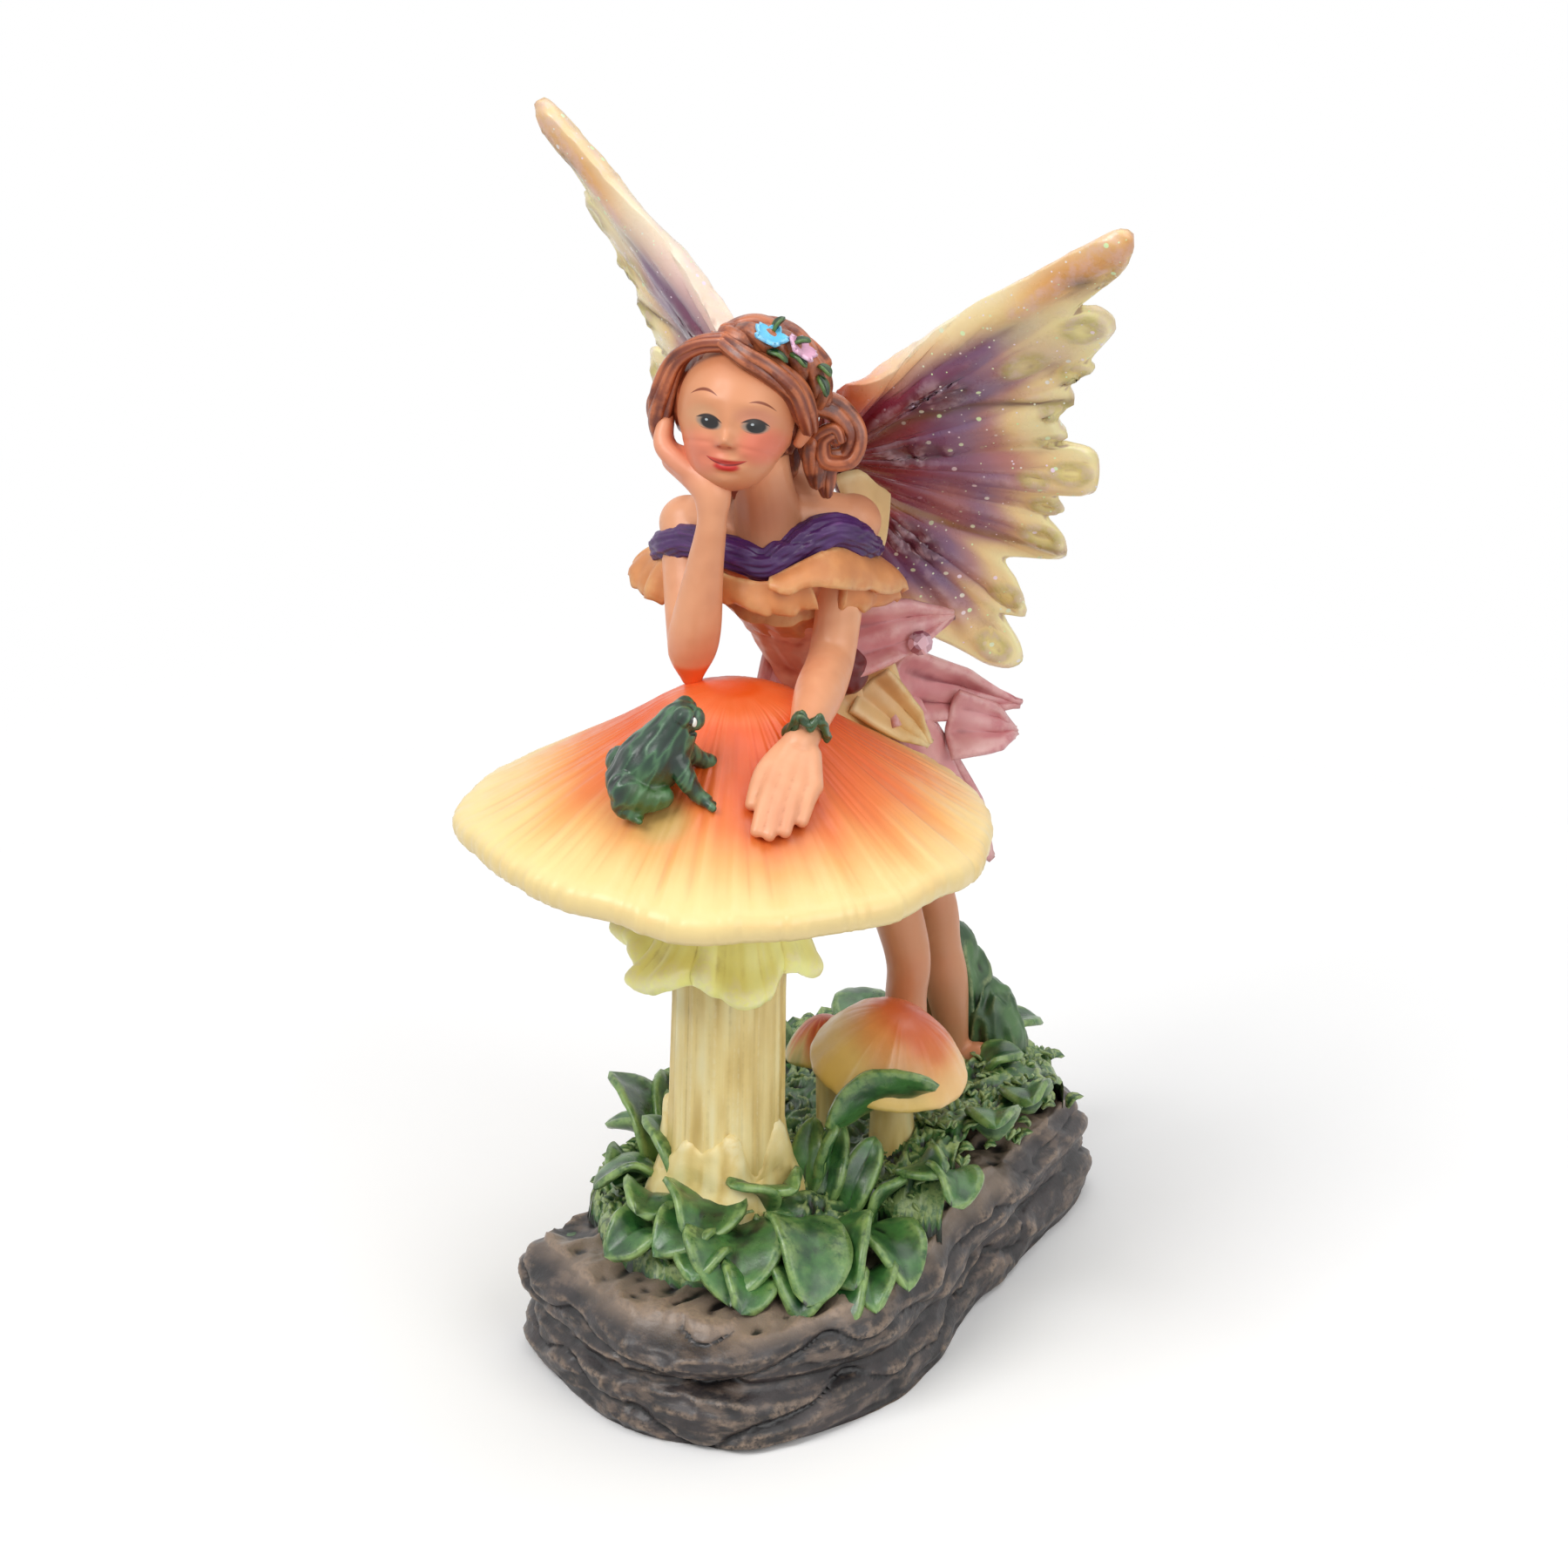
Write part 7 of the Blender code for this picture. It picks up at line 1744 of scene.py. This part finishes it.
        dress(joined(f"{name}_resin", [sheet, peg]), wing_paint(f"{name}_paint"), node=name,
              rounds=6)


def wing_paint(name):
    """Tinted resin with ridges picked out pale, and flakes of glitter whose sparkle is painted in as
    near-white colour.
    """
    paint = Paint(name, 0.30, 0.4)
    tint = paint.color_layer("tint")
    low = paint.span(paint.layer("relief_broad"), -0.12, -0.004, 0.60, 0.0)
    color = paint.mix(low, tint, (0.56, 0.30, 0.44), "MULTIPLY")
    high = paint.span(paint.layer("relief_broad"), 0.008, 0.11, 0.0, 0.35)
    broken = paint.times(high, paint.patches(1.2, 3.0, 0.35, 0.65))
    color = paint.mix(broken, color, (0.93, 0.80, 0.84))
    # Glitter flakes, with their sparkle painted in as near-white colour: a painted reflection.
    for size, near, share in ((1.5, 0.125, 0.35), (0.62, 0.13, 0.55)):
        cells = paint.node("ShaderNodeTexVoronoi")
        paint.put(cells.inputs["Vector"], paint.place)
        cells.inputs["Scale"].default_value = 1.0 / (size * MM)
        chosen = paint.node("ShaderNodeSeparateColor")
        paint.put(chosen.inputs[0], cells.outputs["Color"])
        flake = paint.times(paint.span(cells.outputs["Distance"], near, near * 1.35, 1.0, 0.0),
                           paint.span(chosen.outputs[0], share, share + 0.02))
        flake = paint.times(flake, paint.layer("glitter"))
        hue = paint.mix(chosen.outputs[1], (0.88, 1.0, 0.74), (1.0, 0.90, 0.98))
        color = paint.mix(flake, color, hue)
    paint.put(paint.shader.inputs["Subsurface Weight"], 0.25)
    paint.shader.inputs["Subsurface Radius"].default_value = (1.0, 0.8, 0.6)
    paint.shader.inputs["Subsurface Scale"].default_value = 0.9 * MM
    return paint.finish(color, 0.4, 0.05, 0.03)


def make_stone():
    """Pink cut glass on the stone of the CAD model, with painted highlights on some of its facets."""
    paint = Paint("stone_paint", 0.06, 0.6)
    facets = paint.node("ShaderNodeTexVoronoi")
    paint.put(facets.inputs["Vector"], paint.place)
    facets.inputs["Scale"].default_value = 1.0 / (0.9 * MM)
    pick = paint.node("ShaderNodeSeparateColor")
    paint.put(pick.inputs[0], facets.outputs["Color"])
    # Facets range from dark crimson glass to near white; the near-white ones are painted highlights.
    tone = paint.mix(pick.outputs[0], (0.52, 0.10, 0.22), (1.0, 0.84, 0.90))
    paint.put(paint.shader.inputs["Base Color"], tone)
    paint.put(paint.shader.inputs["Transmission Weight"], 0.10)
    stone = bpy.data.objects["skirt_stone"]
    stone.data.materials.clear()
    stone.data.materials.append(paint.material)


# Stage, lights and camera

def make_stage():
    """A pale floor that keeps the shadow and fades into the white surroundings."""
    bpy.ops.mesh.primitive_plane_add(size=4.0, location=(0, 0, -0.00005))
    floor = bpy.context.active_object
    floor.name = "floor"
    material = bpy.data.materials.new("floor_white")
    material.use_nodes = True
    tree = material.node_tree
    shader = tree.nodes["Principled BSDF"]
    shader.inputs["Base Color"].default_value = (0.97, 0.97, 0.97, 1.0)
    shader.inputs["Roughness"].default_value = 0.9
    shader.inputs["Specular IOR Level"].default_value = 0.1
    place = tree.nodes.new("ShaderNodeTexCoord")
    far = tree.nodes.new("ShaderNodeVectorMath")
    far.operation = "LENGTH"
    fade = tree.nodes.new("ShaderNodeMapRange")
    fade.interpolation_type = "SMOOTHSTEP"
    fade.inputs["From Min"].default_value = 0.025
    fade.inputs["From Max"].default_value = 0.17
    clear = tree.nodes.new("ShaderNodeBsdfTransparent")
    choose = tree.nodes.new("ShaderNodeMixShader")
    tree.links.new(place.outputs["Object"], far.inputs[0])
    tree.links.new(far.outputs["Value"], fade.inputs["Value"])
    tree.links.new(fade.outputs["Result"], choose.inputs[0])
    tree.links.new(shader.outputs[0], choose.inputs[1])
    tree.links.new(clear.outputs[0], choose.inputs[2])
    tree.links.new(choose.outputs[0], tree.nodes["Material Output"].inputs[0])
    floor.data.materials.append(material)


def area_light(name, place, aim, size, power):
    light = bpy.data.lights.new(name, "AREA")
    light.size = size
    light.energy = power
    lamp = bpy.data.objects.new(name, light)
    bpy.context.scene.collection.objects.link(lamp)
    lamp.location = place
    lamp.rotation_euler = (Vector(aim) - Vector(place)).to_track_quat("-Z", "Y").to_euler()


def make_light():
    world = bpy.data.worlds.new("studio")
    bpy.context.scene.world = world
    world.use_nodes = True
    tree = world.node_tree
    soft = tree.nodes["Background"]
    soft.inputs["Color"].default_value = (1.0, 1.0, 1.0, 1.0)
    soft.inputs["Strength"].default_value = 0.38
    white = tree.nodes.new("ShaderNodeBackground")
    white.inputs["Color"].default_value = (1.0, 1.0, 1.0, 1.0)
    white.inputs["Strength"].default_value = 1.0
    path = tree.nodes.new("ShaderNodeLightPath")
    choose = tree.nodes.new("ShaderNodeMixShader")
    seen = path.outputs["Is Camera Ray"]
    for other in ("Is Glossy Ray", "Is Transmission Ray"):
        either = tree.nodes.new("ShaderNodeMath")
        either.operation = "MAXIMUM"
        tree.links.new(seen, either.inputs[0])
        tree.links.new(path.outputs[other], either.inputs[1])
        seen = either.outputs[0]
    tree.links.new(seen, choose.inputs[0])
    tree.links.new(soft.outputs[0], choose.inputs[1])
    tree.links.new(white.outputs[0], choose.inputs[2])
    tree.links.new(choose.outputs[0], tree.nodes["World Output"].inputs[0])
    area_light("key", (-0.25, -0.55, 0.75), (0, 0, 0.05), 0.5, 4.7)
    area_light("fill", (0.65, -0.25, 0.45), (0, 0, 0.05), 0.6, 2.3)
    area_light("top", (0.05, 0.25, 0.9), (0, 0, 0.05), 0.8, 2.9)


CAMERA_AZIMUTH, CAMERA_ELEVATION, CAMERA_DISTANCE = 28.0, 24.0, 480.0
CAMERA_AIM = Vector((-0.99, -5.56, 48.4))


def make_camera():
    camera = bpy.data.cameras.new("camera")
    camera.sensor_width = 36.0
    camera.lens = 128.0
    camera.clip_start = 0.01
    eye = bpy.data.objects.new("camera", camera)
    bpy.context.scene.collection.objects.link(eye)
    turn, lift = math.radians(CAMERA_AZIMUTH), math.radians(CAMERA_ELEVATION)
    back = Vector((math.sin(turn) * math.cos(lift), -math.cos(turn) * math.cos(lift), math.sin(lift)))
    eye.location = (CAMERA_AIM + back * CAMERA_DISTANCE) * MM
    eye.rotation_euler = (-back).to_track_quat("-Z", "Y").to_euler()
    bpy.context.scene.camera = eye


make_camera()
make_light()
make_stage()
make_rock()
make_moss()
make_leaves()
make_cap()
make_big_stem()
make_small_toadstools()
make_stump()
make_frog()
make_skin()
make_head()
make_hair()
make_flowers()
make_dress()
make_bracelet()
make_wings()
make_stone()

bpy.context.scene.view_settings.view_transform = "Standard"
